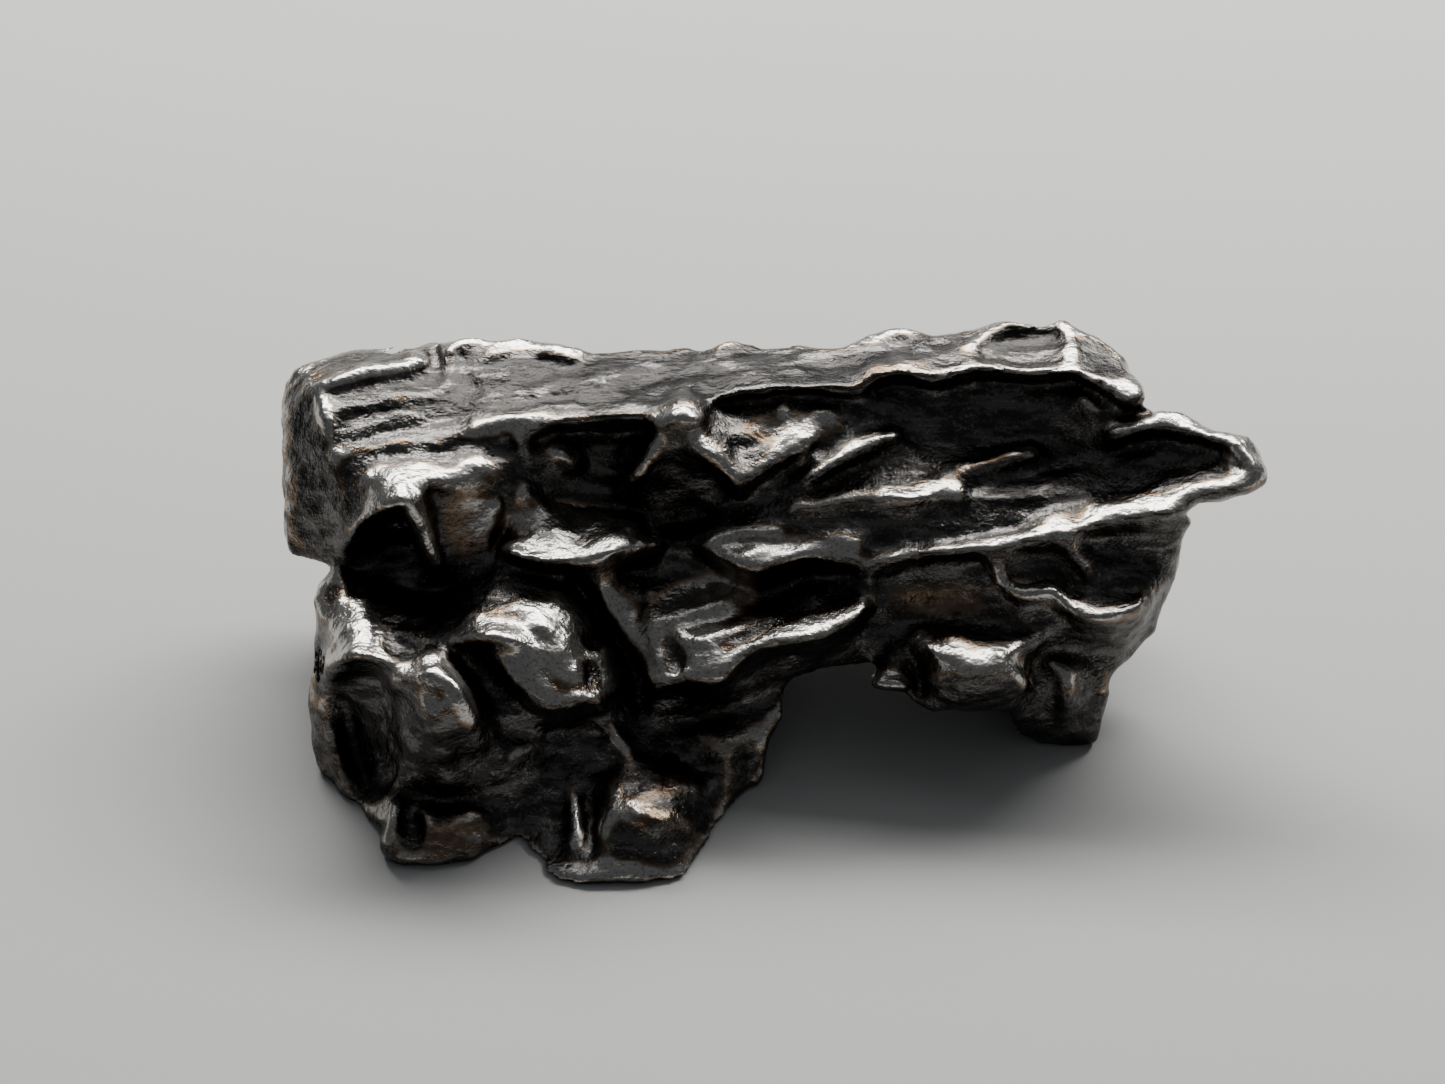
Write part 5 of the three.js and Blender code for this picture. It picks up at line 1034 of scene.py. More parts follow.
    "pit_top": ((548, 732, 0.3), (575, 726, 0.2), (602, 735, 0.0)),
    "pit_middle": ((552, 765, 0.2), (580, 762, 0.1), (606, 768, 0.2)),
    "pit_low": ((552, 800, 0.5), (554, 830, 1.1), (560, 852, 1.8)),
    "pit_right": ((592, 795, 0.4), (596, 825, 1.0), (595, 846, 1.7)),
    "post": ((568, 786, 0.7), (573, 806, 1.2), (577, 826, 1.7), (576, 846, 2.1)),
    "post_base": ((560, 856, 1.9), (576, 854, 2.1), (592, 852, 2.0)),
    "thin_line": ((602, 722, 0.6), (615, 735, 0.6), (628, 750, 0.65), (637, 768, 0.7)),
    "thin_line_back": ((622, 716, -0.1), (634, 732, -0.2), (646, 750, -0.2)),
    "foot_edge": (
        (637, 768, 0.7), (620, 784, 1.3), (607, 800, 1.8), (602, 825, 2.1), (602, 846, 2.3),
        (606, 862, 2.7),
    ),
    "foot_crown": ((645, 786, 1.3), (670, 782, 1.1), (694, 790, 0.8)),
    "foot_belly": ((632, 812, 2.2), (660, 822, 2.35), (684, 828, 1.9)),
    "foot_waist": ((628, 850, 2.5), (655, 855, 2.5), (685, 852, 2.1)),
    "foot_lip": (
        (542, 868, 2.3), (560, 874, 2.6), (582, 879, 2.85), (606, 875, 2.9), (626, 872, 2.8),
        (646, 877, 2.85), (670, 880, 2.75), (692, 872, 2.3),
    ),
    "foot_lip_top": ((556, 861, 2.0), (584, 862, 2.3), (603, 866, 2.7)),
    "foot_side": ((704, 800, 0.5), (714, 835, 1.0), (706, 862, 1.8)),
    "leg_fork": (
        (700, 734, -0.3), (714, 746, 0.0), (726, 753, 0.1), (740, 744, -0.1), (752, 733, -0.4),
    ),
    "leg_stem": ((726, 753, 0.1), (730, 775, 0.0), (728, 800, 0.1)),
    "leg_recess": ((665, 755, -0.3), (690, 762, -0.3), (706, 770, -0.4)),
    "leg_side": ((752, 760, -0.9), (750, 790, -0.7), (736, 820, -0.2)),
    "cavern_rim": (
        (860, 392, -1.0), (868, 380, -0.9), (888, 374, -1.0), (912, 374, -1.0), (924, 380, -1.0),
        (938, 382, -1.0), (950, 376, -1.0), (970, 370, -1.1), (990, 368, -1.1), (1010, 371, -1.1),
        (1030, 373, -1.1), (1056, 371, -1.1), (1075, 370, -1.0), (1090, 378, -1.0),
        (1110, 391, -0.9), (1126, 402, -0.8),
    ),
    "rim_tread": ((868, 362, -1.9), (900, 360, -1.9), (935, 362, -1.9)),
    "under_rim": (
        (872, 392, -1.9), (892, 385, -2.2), (916, 386, -2.2), (936, 393, -2.1), (955, 386, -2.4),
        (990, 379, -2.7), (1030, 384, -2.7), (1070, 382, -2.5), (1090, 392, -2.0),
        (1112, 406, -1.6),
    ),
    "cavern_corner": (
        (890, 425, -1.9), (925, 440, -2.2), (965, 445, -2.4), (1010, 438, -2.7), (1060, 445, -2.7),
        (1090, 455, -2.4),
    ),
    "cavern_rib": ((1084, 398, -1.5), (1096, 414, -1.5), (1094, 436, -1.8)),
    "cavern_floor": (
        (920, 470, -1.3), (958, 472, -1.2), (985, 463, -1.4), (1015, 453, -1.6), (1032, 451, -1.7),
    ),
    "floor_step": ((888, 496, 0.0), (912, 500, 0.0), (940, 492, -0.2)),
    "floor_step_back": ((890, 480, -0.9), (915, 478, -1.0), (945, 476, -1.0)),
    "floor_knob": ((952, 482, -0.7), (958, 490, -0.4), (960, 500, -0.4)),
    "floor_far": ((1000, 478, -1.5), (1050, 478, -1.7), (1085, 478, -1.7)),
    "floor_near": ((890, 522, -0.4), (940, 520, -0.5), (1000, 508, -0.7), (1045, 505, -0.8)),
    "ledge_back": ((870, 545, -0.3), (920, 538, -0.3), (970, 532, -0.3), (1040, 524, -0.2)),
    "long_ledge": (
        (868, 576, 0.0), (876, 566, 0.3), (900, 559, 0.4), (935, 553, 0.55), (965, 550, 0.65),
        (1000, 546, 0.7), (1030, 540, 0.7), (1052, 536, 0.6),
    ),
    "ledge_drop": (
        (1052, 536, 0.6), (1068, 546, 0.5), (1081, 562, 0.3), (1092, 576, 0.1), (1100, 585, -0.1),
    ),
    "under_long_ledge": ((878, 582, -0.8), (905, 569, -0.6), (950, 563, -0.5), (985, 562, -0.4)),
    "dark_facet": ((900, 600, -1.0), (935, 604, -1.0), (968, 604, -0.7)),
    "dark_facet_foot": ((880, 630, -0.9), (915, 624, -0.8), (960, 622, -0.5), (1000, 622, -0.3)),
    "under_drop": ((1020, 556, -0.1), (1048, 556, -0.2), (1066, 566, -0.3), (1082, 586, -0.3)),
    "snake_back": ((1010, 578, -0.1), (1030, 582, -0.05), (1056, 576, 0.0), (1072, 594, 0.1)),
    "snake": (
        (988, 560, 0.35), (997, 570, 0.4), (1004, 582, 0.5), (1015, 592, 0.6), (1030, 598, 0.65),
        (1043, 592, 0.65), (1052, 588, 0.7), (1062, 598, 0.75), (1072, 610, 0.8),
        (1085, 618, 0.85), (1105, 619, 0.85), (1126, 614, 0.8), (1141, 607, 0.6), (1147, 596, 0.3),
    ),
    "under_snake": (
        (985, 580, -0.2), (998, 598, 0.0), (1020, 612, 0.1), (1045, 608, 0.1), (1060, 620, 0.0),
        (1080, 632, 0.0), (1110, 634, 0.0), (1142, 624, -0.2),
    ),
    "pocket_back": ((1100, 556, -0.6), (1125, 552, -0.8), (1148, 556, -0.9)),
    "pocket_floor": ((1105, 590, -0.1), (1128, 592, -0.2), (1148, 582, -0.6)),
    "snake_recess": ((1045, 650, -0.9), (1090, 655, -1.1), (1132, 646, -1.1)),
    "right_rim": (
        (1190, 540, -1.3), (1178, 575, -1.5), (1164, 605, -1.5), (1152, 630, -1.6),
        (1130, 654, -1.8),
    ),
    "right_face": ((1165, 548, -0.9), (1160, 580, -0.9), (1154, 606, -0.8)),
    "over_bean": (
        (918, 640, 0.3), (932, 650, 0.9), (952, 653, 1.2), (972, 656, 1.3), (1000, 653, 1.1),
        (1020, 650, 0.9), (1038, 640, 0.4),
    ),
    "over_bean_back": ((922, 630, -0.2), (960, 634, 0.2), (1000, 636, 0.25), (1034, 628, -0.2)),
    "bean_top": (
        (932, 660, 0.9), (965, 664, 1.4), (1000, 666, 1.4), (1020, 676, 1.1), (1026, 692, 0.6),
    ),
    "bean_belly": ((930, 680, 0.7), (965, 688, 1.1), (1000, 692, 0.9)),
    "bean_sole": ((932, 708, 0.1), (965, 714, 0.2), (1000, 712, 0.0), (1016, 704, 0.0)),
    "bean_gap": ((916, 660, -0.6), (919, 690, -0.7)),
    "bean_gap_right": ((1032, 660, -0.9), (1036, 690, -1.0), (1022, 716, -1.1)),
    "lump_edge": ((872, 681, 0.0), (886, 685, 0.3), (900, 686, 0.4), (912, 684, 0.3)),
    "lump_top": ((906, 652, -0.5), (898, 668, -0.2), (886, 674, -0.2)),
    "lump_back": ((880, 650, -0.9), (870, 668, -0.8)),
    "heel_rib": ((1054, 666, -0.4), (1068, 680, -0.3), (1070, 700, -0.6), (1063, 720, -1.0)),
    "heel_left": ((1045, 690, -1.0), (1046, 715, -1.4), (1035, 738, -1.9)),
    "heel_right": ((1090, 680, -1.2), (1094, 710, -1.6), (1088, 740, -2.3)),
    "heel_sole": ((1020, 736, -2.1), (1050, 746, -2.5), (1085, 748, -2.6)),
    "arch_brow": ((1126, 403, -0.8), (1139, 398, -0.9), (1152, 402, -1.0), (1162, 411, -1.0)),
    "arch": ((1124, 414, -1.9), (1138, 410, -2.2), (1150, 414, -2.0)),
    "arch_sill": ((1116, 428, -1.1), (1134, 424, -1.1), (1150, 420, -1.0)),
    "trough_rim": (
        (1112, 440, -0.9), (1135, 431, -0.9), (1160, 427, -0.9), (1182, 430, -0.8),
        (1204, 436, -0.5), (1224, 441, -0.2), (1238, 446, 0.0), (1247, 456, 0.2),
        (1251, 468, 0.35),
    ),
    "beak_crown": (
        (1164, 406, -1.5), (1190, 416, -1.4), (1214, 427, -1.0), (1236, 436, -0.6),
        (1254, 450, -0.3),
    ),
    "trough_wall": (
        (1092, 462, -2.1), (1120, 447, -1.9), (1160, 440, -1.8), (1196, 444, -1.4),
        (1226, 451, -0.7),
    ),
    "trough": (
        (1095, 482, -1.7), (1130, 474, -1.7), (1170, 468, -1.5), (1210, 462, -1.0),
        (1238, 466, -0.3),
    ),
    "beam_back": (
        (1068, 508, -0.6), (1100, 500, -0.7), (1150, 490, -0.7), (1196, 478, -0.5),
        (1236, 474, 0.0),
    ),
    "beam_edge": (
        (1256, 482, 0.4), (1240, 490, 0.55), (1215, 498, 0.6), (1190, 507, 0.65),
        (1160, 515, 0.65), (1130, 520, 0.55), (1100, 525, 0.5), (1074, 531, 0.5), (1058, 528, 0.4),
    ),
    "under_beam": (
        (1088, 541, -0.6), (1120, 534, -0.6), (1160, 529, -0.5), (1196, 518, -0.4),
        (1230, 502, -0.2),
    ),
    "beak_end": ((1262, 462, 0.0), (1264, 476, 0.2), (1256, 489, 0.1)),
    "cup_rim": (
        (956, 364, -1.8), (966, 350, -2.4), (980, 336, -3.1), (1000, 324, -3.7), (1020, 318, -4.0),
        (1045, 317, -4.1), (1061, 322, -3.8), (1069, 336, -3.0), (1071, 350, -2.2),
        (1066, 361, -1.7),
    ),
    "cup_behind": ((962, 336, -3.8), (985, 322, -4.6), (1020, 313, -4.6)),
    "cup_floor_near": ((984, 358, -2.5), (1010, 360, -2.8), (1040, 359, -2.8), (1058, 354, -2.6)),
    "cup_floor_far": ((984, 348, -3.1), (1010, 340, -3.8), (1040, 336, -4.2), (1058, 334, -4.0)),
    "facet_edge": (
        (1071, 350, -2.2), (1080, 364, -1.7), (1100, 376, -1.4), (1130, 383, -1.3),
        (1150, 389, -1.5),
    ),
    "facet_face": ((1082, 346, -2.9), (1100, 358, -2.6), (1124, 372, -2.3)),
    "facet_rim": (
        (1070, 322, -3.9), (1090, 335, -3.7), (1114, 350, -3.3), (1136, 370, -2.6),
        (1156, 392, -2.0),
    ),
}

# Ridges and grooves of the front, relative to the film.
STREAKS: dict[str, Streak] = {
    "end_blob": Streak(((324, 402), (326, 424)), 7, 0.3),
    "top_left_back": Streak(((335, 380), (380, 368), (426, 360)), 7, 0.25),
    "top_left_back_dip": Streak(((345, 392), (390, 384), (425, 378)), 7, -0.2),
    "top_left_first": Streak(((345, 408), (390, 400), (430, 396)), 6, 0.18),
    "top_left_second": Streak(((350, 432), (385, 421), (410, 416)), 6, 0.2),
    "top_left_second_dip": Streak(((360, 442), (400, 431), (440, 420)), 6, -0.18),
    "top_left_third": Streak(((335, 458), (358, 447), (400, 440), (436, 444)), 6, 0.18),
    "corner_crease": Streak(((395, 458), (425, 452), (452, 460)), 6, -0.2),
    "top_notch_side": Streak(((444, 350), (446, 372), (440, 392)), 7, 0.22),
    "brown_dip": Streak(((462, 358), (468, 384)), 9, -0.25),
    "brow_ridge": Streak(((440, 440), (478, 428), (505, 416), (545, 414)), 6, 0.22),
    "brow_dip": Streak(((455, 420), (490, 408), (530, 400)), 7, -0.2),
    "crest_middle": Streak(((490, 350), (530, 344), (578, 356)), 7, 0.25),
    "crest_middle_dip": Streak(((540, 362), (575, 368), (600, 362)), 7, -0.25),
    "crest_middle_front": Streak(((498, 374), (525, 366), (552, 372)), 6, 0.2),
    "top_middle_first": Streak(((520, 394), (560, 386), (605, 379)), 6, 0.2),
    "top_middle_first_dip": Streak(((545, 402), (590, 396), (640, 392)), 6, -0.15),
    "top_middle_second": Streak(((595, 376), (640, 366), (668, 364)), 7, 0.22),
    "top_middle_dip": Streak(((630, 380), (680, 372), (720, 366)), 7, -0.2),
    "top_middle_third": Streak(((690, 384), (740, 374), (800, 368)), 7, 0.18),
    "top_slot": Streak(((705, 353), (745, 350), (790, 350)), 6, -0.4),
    "top_slot_rim": Streak(((700, 362), (745, 359), (790, 359)), 5, 0.15),
    "top_right_first": Streak(((800, 352), (840, 350), (880, 344)), 7, 0.22),
    "top_right_dip": Streak(((830, 366), (870, 358), (900, 356)), 7, -0.2),
    "top_right_second": Streak(((872, 334), (905, 325), (945, 318)), 6, 0.25),
    "top_right_second_dip": Streak(((890, 344), (930, 334), (955, 330)), 6, -0.25),
    "top_right_third": Streak(((905, 362), (935, 356), (955, 350)), 6, 0.15),
    "knob": Streak(((337, 570), (344, 588)), 8, 0.4),
    "knob_second": Streak(((356, 580), (372, 590)), 6, 0.25),
    "dome_streak": Streak(((362, 612), (378, 636)), 8, 0.2),
    "dome_side": Streak(((404, 630), (424, 658)), 6, 0.25),
    "dome_side_dip": Streak(((420, 626), (438, 648)), 6, -0.2),
    "shield_blob": Streak(((522, 600), (545, 632)), 10, 0.22),
    "shield_nick": Streak(((536, 634), (552, 644)), 6, -0.25),
    "shield_face_ridge": Streak(((528, 664), (546, 690)), 6, 0.15),
    "disc": Streak(((606, 650), (611, 668), (610, 686)), 11, 0.5),
    "disc_side": Streak(((592, 640), (588, 668)), 6, -0.25),
    "knuckle_rib": Streak(((484, 700), (490, 724), (500, 748)), 6, 0.2),
    "knuckle_nub": Streak(((514, 760), (524, 750)), 7, 0.35),
    "face_groove": Streak(((440, 700), (446, 730), (462, 756)), 8, -0.2),
    "pocket": Streak(((410, 816), (416, 832)), 9, -0.4),
    "pocket_rim": Streak(((427, 812), (430, 836)), 5, 0.2),
    "patch_left_bit": Streak(((500, 508), (522, 498)), 7, 0.2),
    "patch_left_notch": Streak(((500, 538), (526, 532)), 6, -0.3),
    "patch_grain": Streak(((545, 512), (560, 546)), 7, 0.15),
    "patch_grain_dip": Streak(((574, 516), (584, 548)), 7, -0.15),
    "patch_grain_second": Streak(((596, 514), (612, 536)), 6, 0.15),
    "patch_rim": Streak(((602, 556), (624, 543)), 5, 0.25),
    "patch_tail": Streak(((634, 526), (655, 545)), 6, 0.2),
    "cavity_bead": Streak(((526, 452), (540, 446)), 7, 0.3),
    "cavity_bead_second": Streak(((560, 456), (574, 470)), 7, 0.3),
    "shelf_ridge_first": Streak(((664, 618), (705, 604), (752, 593)), 7, 0.25),
    "shelf_dip_first": Streak(((640, 604), (680, 594), (730, 582)), 7, -0.25),
    "shelf_dip_second": Streak(((690, 626), (740, 614), (780, 600)), 6, -0.2),
    "shelf_ridge_second": Streak(((700, 640), (745, 624), (775, 612)), 6, 0.2),
    "shelf_ridge_third": Streak(((648, 590), (652, 625), (658, 662)), 7, 0.25),
    "shelf_dip_third": Streak(((668, 636), (676, 664)), 7, -0.25),
    "shelf_blob": Streak(((700, 662), (718, 672)), 12, 0.2),
    "shelf_dip_fourth": Streak(((740, 640), (775, 622), (820, 608)), 6, -0.15),
    "shelf_bit": Streak(((800, 590), (812, 598)), 6, 0.25),
    "facet_bit": Streak(((716, 418), (728, 430)), 7, 0.2),
    "facet_dip": Streak(((745, 448), (775, 436)), 6, -0.25),
    "facet_middle_bit": Streak(((820, 408), (838, 424)), 8, 0.2),
    "centre_dip": Streak(((720, 542), (750, 544), (790, 545)), 5, -0.2),
    "centre_bit": Streak(((838, 536), (856, 544)), 8, 0.2),
    "centre_bit_second": Streak(((744, 558), (762, 548)), 7, 0.2),
    "floor_grain": Streak(((958, 470), (996, 462), (1030, 452)), 7, 0.25),
    "floor_grain_dip": Streak(((975, 486), (1020, 474), (1060, 462)), 8, -0.3),
    "floor_grain_second": Streak(((880, 502), (925, 496)), 6, 0.2),
    "floor_grain_third": Streak(((1000, 500), (1050, 492), (1100, 484)), 7, 0.2),
    "tread_grain": Streak(((900, 540), (940, 528)), 7, 0.15),
    "tread_grain_dip": Streak(((930, 545), (985, 532), (1030, 522)), 6, -0.15),
    "facet_grain": Streak(((900, 596), (945, 590)), 8, 0.15),
    "bean_grain": Streak(((950, 634), (990, 642), (1020, 638)), 6, 0.2),
    "bean_rim": Streak(((1000, 654), (1020, 664), (1026, 684)), 6, 0.2),
    "bean_dip": Streak(((950, 684), (990, 694)), 12, -0.15),
    "heel_bit": Streak(((1052, 662), (1066, 672)), 7, 0.3),
    "heel_rib_bit": Streak(((1068, 690), (1066, 716)), 7, 0.25),
    "trough_grain": Streak(((1120, 466), (1150, 460)), 7, 0.2),
    "beam_grain": Streak(((1090, 512), (1140, 500), (1190, 488)), 6, 0.15),
    "beam_grain_dip": Streak(((1110, 492), (1160, 482)), 6, -0.15),
    "cup_bit": Streak(((1000, 352), (1040, 346)), 6, 0.15),
    "facet_patch": Streak(((1094, 356), (1112, 368)), 8, -0.15),
}

# Spots of painted light on the front: rubbed steel and painted highlights where the gain is positive,
# dull iron and painted shade where it is negative.
PAINTED_LIGHT_PATCHES: dict[str, Patch] = {
    "corner_face": Patch((396, 486), (40, 28), -12, 0.6),
    "blade": Patch((420, 524), (52, 10), 68, 1.0),
    "plate": Patch((464, 520), (30, 48), 0, 0.6),
    "end_edge": Patch((322, 410), (9, 24), -14, 0.6),
    "left_streak": Patch((385, 374), (52, 9), -14, 0.5),
    "brow_band": Patch((500, 428), (46, 12), -14, 0.5),
    "back_crest": Patch((530, 346), (52, 9), 10, 0.5),
    "patch": Patch((570, 530), (80, 34), 8, 0.9),
    "cavity_spots": Patch((556, 452), (24, 14), 20, 0.6),
    "nose_top": Patch((680, 416), (24, 12), 0, 0.6),
    "nose_left": Patch((650, 458), (30, 10), -60, 0.5),
    "nose_right": Patch((720, 462), (34, 10), 52, 0.5),
    "dome": Patch((360, 632), (32, 30), 0, 0.6),
    "knuckle": Patch((432, 670), (36, 11), 0, 0.7),
    "third_knuckle": Patch((490, 630), (42, 14), 0, 0.6),
    "shield": Patch((552, 630), (44, 46), 0, 0.8),
    "shield_bump": Patch((614, 668), (12, 22), 0, 0.8),
    "shelf": Patch((712, 662), (28, 20), -10, 0.6),
    "shelf_band": Patch((805, 624), (62, 13), -22, 0.6),
    "shelf_face": Patch((700, 606), (66, 34), -20, 1.0),
    "right_patch": Patch((765, 545), (60, 18), 0, 0.8),
    "facets": Patch((790, 425), (60, 26), 0, 0.8),
    "cavern_floor": Patch((920, 492), (46, 14), -8, 0.5),
    "dark_facet": Patch((940, 600), (70, 26), 0, 0.6),
    "bean_top": Patch((968, 664), (52, 9), 0, 0.5),
    "bean_end": Patch((1024, 676), (12, 22), 0, 0.6),
    "left_lump": Patch((888, 682), (24, 10), 0, 0.6),
    "snake": Patch((1040, 594), (50, 12), 20, 0.8),
    "foot_lip": Patch((590, 868), (56, 9), 0, 0.7),
    "post": Patch((577, 822), (8, 26), 0, 0.8),
    "foot_speckle": Patch((655, 800), (34, 22), 0, -0.35),
    "facet": Patch((1100, 360), (26, 18), 40, -0.5),
    "cavern_line": Patch((1030, 494), (60, 12), -6, -0.6),
    "cavern_rim": Patch((985, 465), (40, 14), -30, -0.4),
    "ledge": Patch((1110, 508), (80, 12), -14, 0.6),
    "rim_end": Patch((1122, 614), (30, 10), -8, 0.7),
    "crack_side": Patch((620, 600), (16, 44), -20, 0.6),
    "beak_tip": Patch((1246, 462), (22, 30), 0, 1.0),
    "top": Patch((640, 384), (290, 38), -2, -0.7),
    "cup": Patch((1022, 340), (38, 16), 0, -0.8),
    "knuckle_face": Patch((430, 756), (40, 34), 0, -0.5),
    "knuckle_flank": Patch((464, 706), (12, 32), -16, 0.6),
    "column": Patch((360, 738), (28, 62), 0, -0.5),
    "left_foot": Patch((440, 836), (52, 26), 0, -0.4),
    "right_foot": Patch((660, 842), (44, 28), 0, -0.4),
    "leg": Patch((712, 750), (44, 40), 0, -0.3),
    "bean_face": Patch((975, 696), (50, 14), 0, -0.4),
    "right_face": Patch((1160, 590), (36, 60), 20, -0.3),
}

# Low swellings of the front, with their lifts in millimetres.
SWELLS: dict[str, Patch] = {
    "corner": Patch((392, 488), (40, 24), -12, 0.3),
    "nose": Patch((690, 448), (26, 34), 0, 0.4),
    "facet_left": Patch((748, 434), (26, 16), -30, 0.25),
    "facet_right": Patch((806, 424), (28, 14), -20, 0.25),
    "right_patch": Patch((770, 540), (52, 18), 0, 0.3),
    "dome": Patch((352, 670), (30, 44), 0, 0.6),
    "knuckle": Patch((440, 714), (38, 42), 0, 0.85),
    "third_knuckle": Patch((492, 636), (42, 18), 0, 0.35),
    "shield": Patch((562, 640), (34, 42), 0, 0.3),
    "shelf": Patch((704, 646), (48, 36), -20, 0.4),
    "shelf_band": Patch((810, 632), (52, 18), -22, 0.35),
    "bean": Patch((980, 686), (44, 22), 0, 0.55),
    "right_foot": Patch((655, 812), (38, 34), 0, 0.4),
    "left_foot": Patch((440, 832), (40, 20), 0, 0.2),
}


@dataclass
class Skin:
    """A closed skin: points in millimetres and four-sided faces that point outwards."""

    points: Array
    faces: Array

    CORNERS = 8
    RING = ((1, 1), (0, 1), (0, 0), (1, 0))

    @classmethod
    def of(cls, clay: Clay) -> "Skin":
        """Finds the skin of the clay: a point in each crossed cell, a face on each crossed edge.

        Args:
            clay: the shaped clay.

        Returns:
            The skin, loose crumbs and bubbles included.
        """
        inside = clay.field < 0
        shape = tuple(n - 1 for n in inside.shape)
        held = sum(
            inside[tuple(slice(c, c + n) for c, n in zip(corner, shape))].astype(np.int8)
            for corner in np.ndindex(2, 2, 2)
        )
        cells = np.argwhere((held > 0) & (held < cls.CORNERS))
        index = np.full(shape, -1, np.int64)
        index[tuple(cells.T)] = np.arange(len(cells))
        faces = [cls.faces_across(inside, index, axis) for axis in range(3)]
        return cls(cls.crossings(clay, cells), np.concatenate(faces))

    @staticmethod
    def crossings(clay: Clay, cells: Array) -> Array:
        """Finds a point of the skin in each cell.

        Args:
            clay: the shaped clay.
            cells: the whole numbers of the cells that the skin crosses.

        Returns:
            The average of the places where it crosses a cell's edges, in millimetres.
        """
        total, count = np.zeros((len(cells), 3)), np.zeros(len(cells))
        for corner in np.ndindex(2, 2, 2):
            for axis in range(3):
                if corner[axis]:
                    continue
                start, along = np.array(corner), np.eye(3, dtype=int)[axis]
                a, b = (clay.field[tuple((cells + end).T)] for end in (start, start + along))
                crossed = (a < 0) != (b < 0)
                share = np.where(crossed, a / np.where(crossed, a - b, 1), 0)
                total += crossed[:, None] * (start + share[:, None] * along)
                count += crossed
        return clay.LOW + clay.step * (cells + total / count[:, None])

    @classmethod
    def faces_across(cls, inside: Array, index: Array, axis: int) -> Array:
        """Joins the points of the four cells round each crossed grid edge.

        Args:
            inside: which grid points lie in the clay.
            index: the number of each cell's point, -1 where it has none.
            axis: the way of the edges.

        Returns:
            The point numbers of each face, in the order that turns it outwards.
        """
        shape = index.shape
        p, q = (axis + 1) % 3, (axis + 2) % 3
        edges = np.argwhere(inside != np.roll(inside, -1, axis))
        usable = (edges[:, axis] < shape[axis]) & (edges[:, p] > 0) & (edges[:, q] > 0)
        usable &= (edges[:, p] < shape[p]) & (edges[:, q] < shape[q])
        edges = edges[usable]
        ring = []
        for back_p, back_q in cls.RING:
            cell = edges.copy()
            cell[:, p] -= back_p
            cell[:, q] -= back_q
            ring.append(index[tuple(cell.T)])
        quads = np.stack(ring, 1)
        entering = ~inside[tuple(edges.T)]
        quads[entering] = quads[entering][:, ::-1]
        return quads

    def links(self) -> Array:
        """Each pair of neighbouring points, once."""
        pairs = np.concatenate([self.faces[:, [n, (n + 1) % 4]] for n in range(4)])
        return np.unique(np.sort(pairs, 1), axis=0)

    def keep_largest(self) -> "Skin":
        """Drops loose crumbs and sealed bubbles.

        Returns:
            The joined part with the most points.
        """
        label = np.arange(len(self.points))
        links = self.links()
        while True:
            low = np.minimum(label[links[:, 0]], label[links[:, 1]])
            fresh = label.copy()
            np.minimum.at(fresh, links[:, 0], low)
            np.minimum.at(fresh, links[:, 1], low)
            fresh = fresh[fresh]
            if (fresh == label).all():
                break
            label = fresh
        kept = label == np.bincount(label).argmax()
        renumber = np.cumsum(kept) - 1
        faces = self.faces[kept[self.faces[:, 0]]]
        return Skin(self.points[kept], renumber[faces])

    def normals(self) -> Array:
        """Sums up the faces round each point.

        Returns:
            The outward direction at each point.
        """
        a, b, c, d = (self.points[self.faces[:, n]] for n in range(4))
        across = np.cross(c - a, d - b)
        total = np.zeros_like(self.points)
        for n in range(4):
            for m in range(3):
                total[:, m] += np.bincount(self.faces[:, n], across[:, m], len(self.points))
        return total / (np.linalg.norm(total, axis=1, keepdims=True) + LEAST_LENGTH)

    def eased(self, rounds: int) -> Array:
        """Moves each point to the middle of its neighbours, again and again.

        Args:
            rounds: how many times.

        Returns:
            The moved points.
        """
        links = self.links()
        heads = np.concatenate([links[:, 0], links[:, 1]])
        tails = np.concatenate([links[:, 1], links[:, 0]])
        count = np.bincount(heads, minlength=len(self.points))[:, None]
        points = self.points
        for _ in range(rounds):
            total = np.stack([
                np.bincount(heads, points[tails, m], len(points)) for m in range(3)
            ], 1)
            points = total / count
        return points


@dataclass(frozen=True)
class Prominence:
    """How rubbed a skin is where it stands proud of its eased self; the bright bands on its crests
    also serve as painted highlights.

    It is eased for that many rounds, and standing proud by the height counts as one, within the
    limits and times the share.
    """

    rounds: int
    height: float
    share: float
    least: float
    most: float

    def of(self, skin: Skin, normals: Array) -> Array:
        """Measures a skin.

        Args:
            skin: the skin.
            normals: the outward direction at each of its points.

        Returns:
            The rubbing at each point, negative in hollows.
        """
        proud = ((skin.points - skin.eased(self.rounds)) * normals).sum(1) / self.height
        return self.share * np.clip(proud, self.least, self.most)


class Operation(Enum):
    """What a Math or Vector Math node does."""

    ADD = "ADD"
    SUBTRACT = "SUBTRACT"
    MULTIPLY = "MULTIPLY"
    DIVIDE = "DIVIDE"
    SCALE = "SCALE"


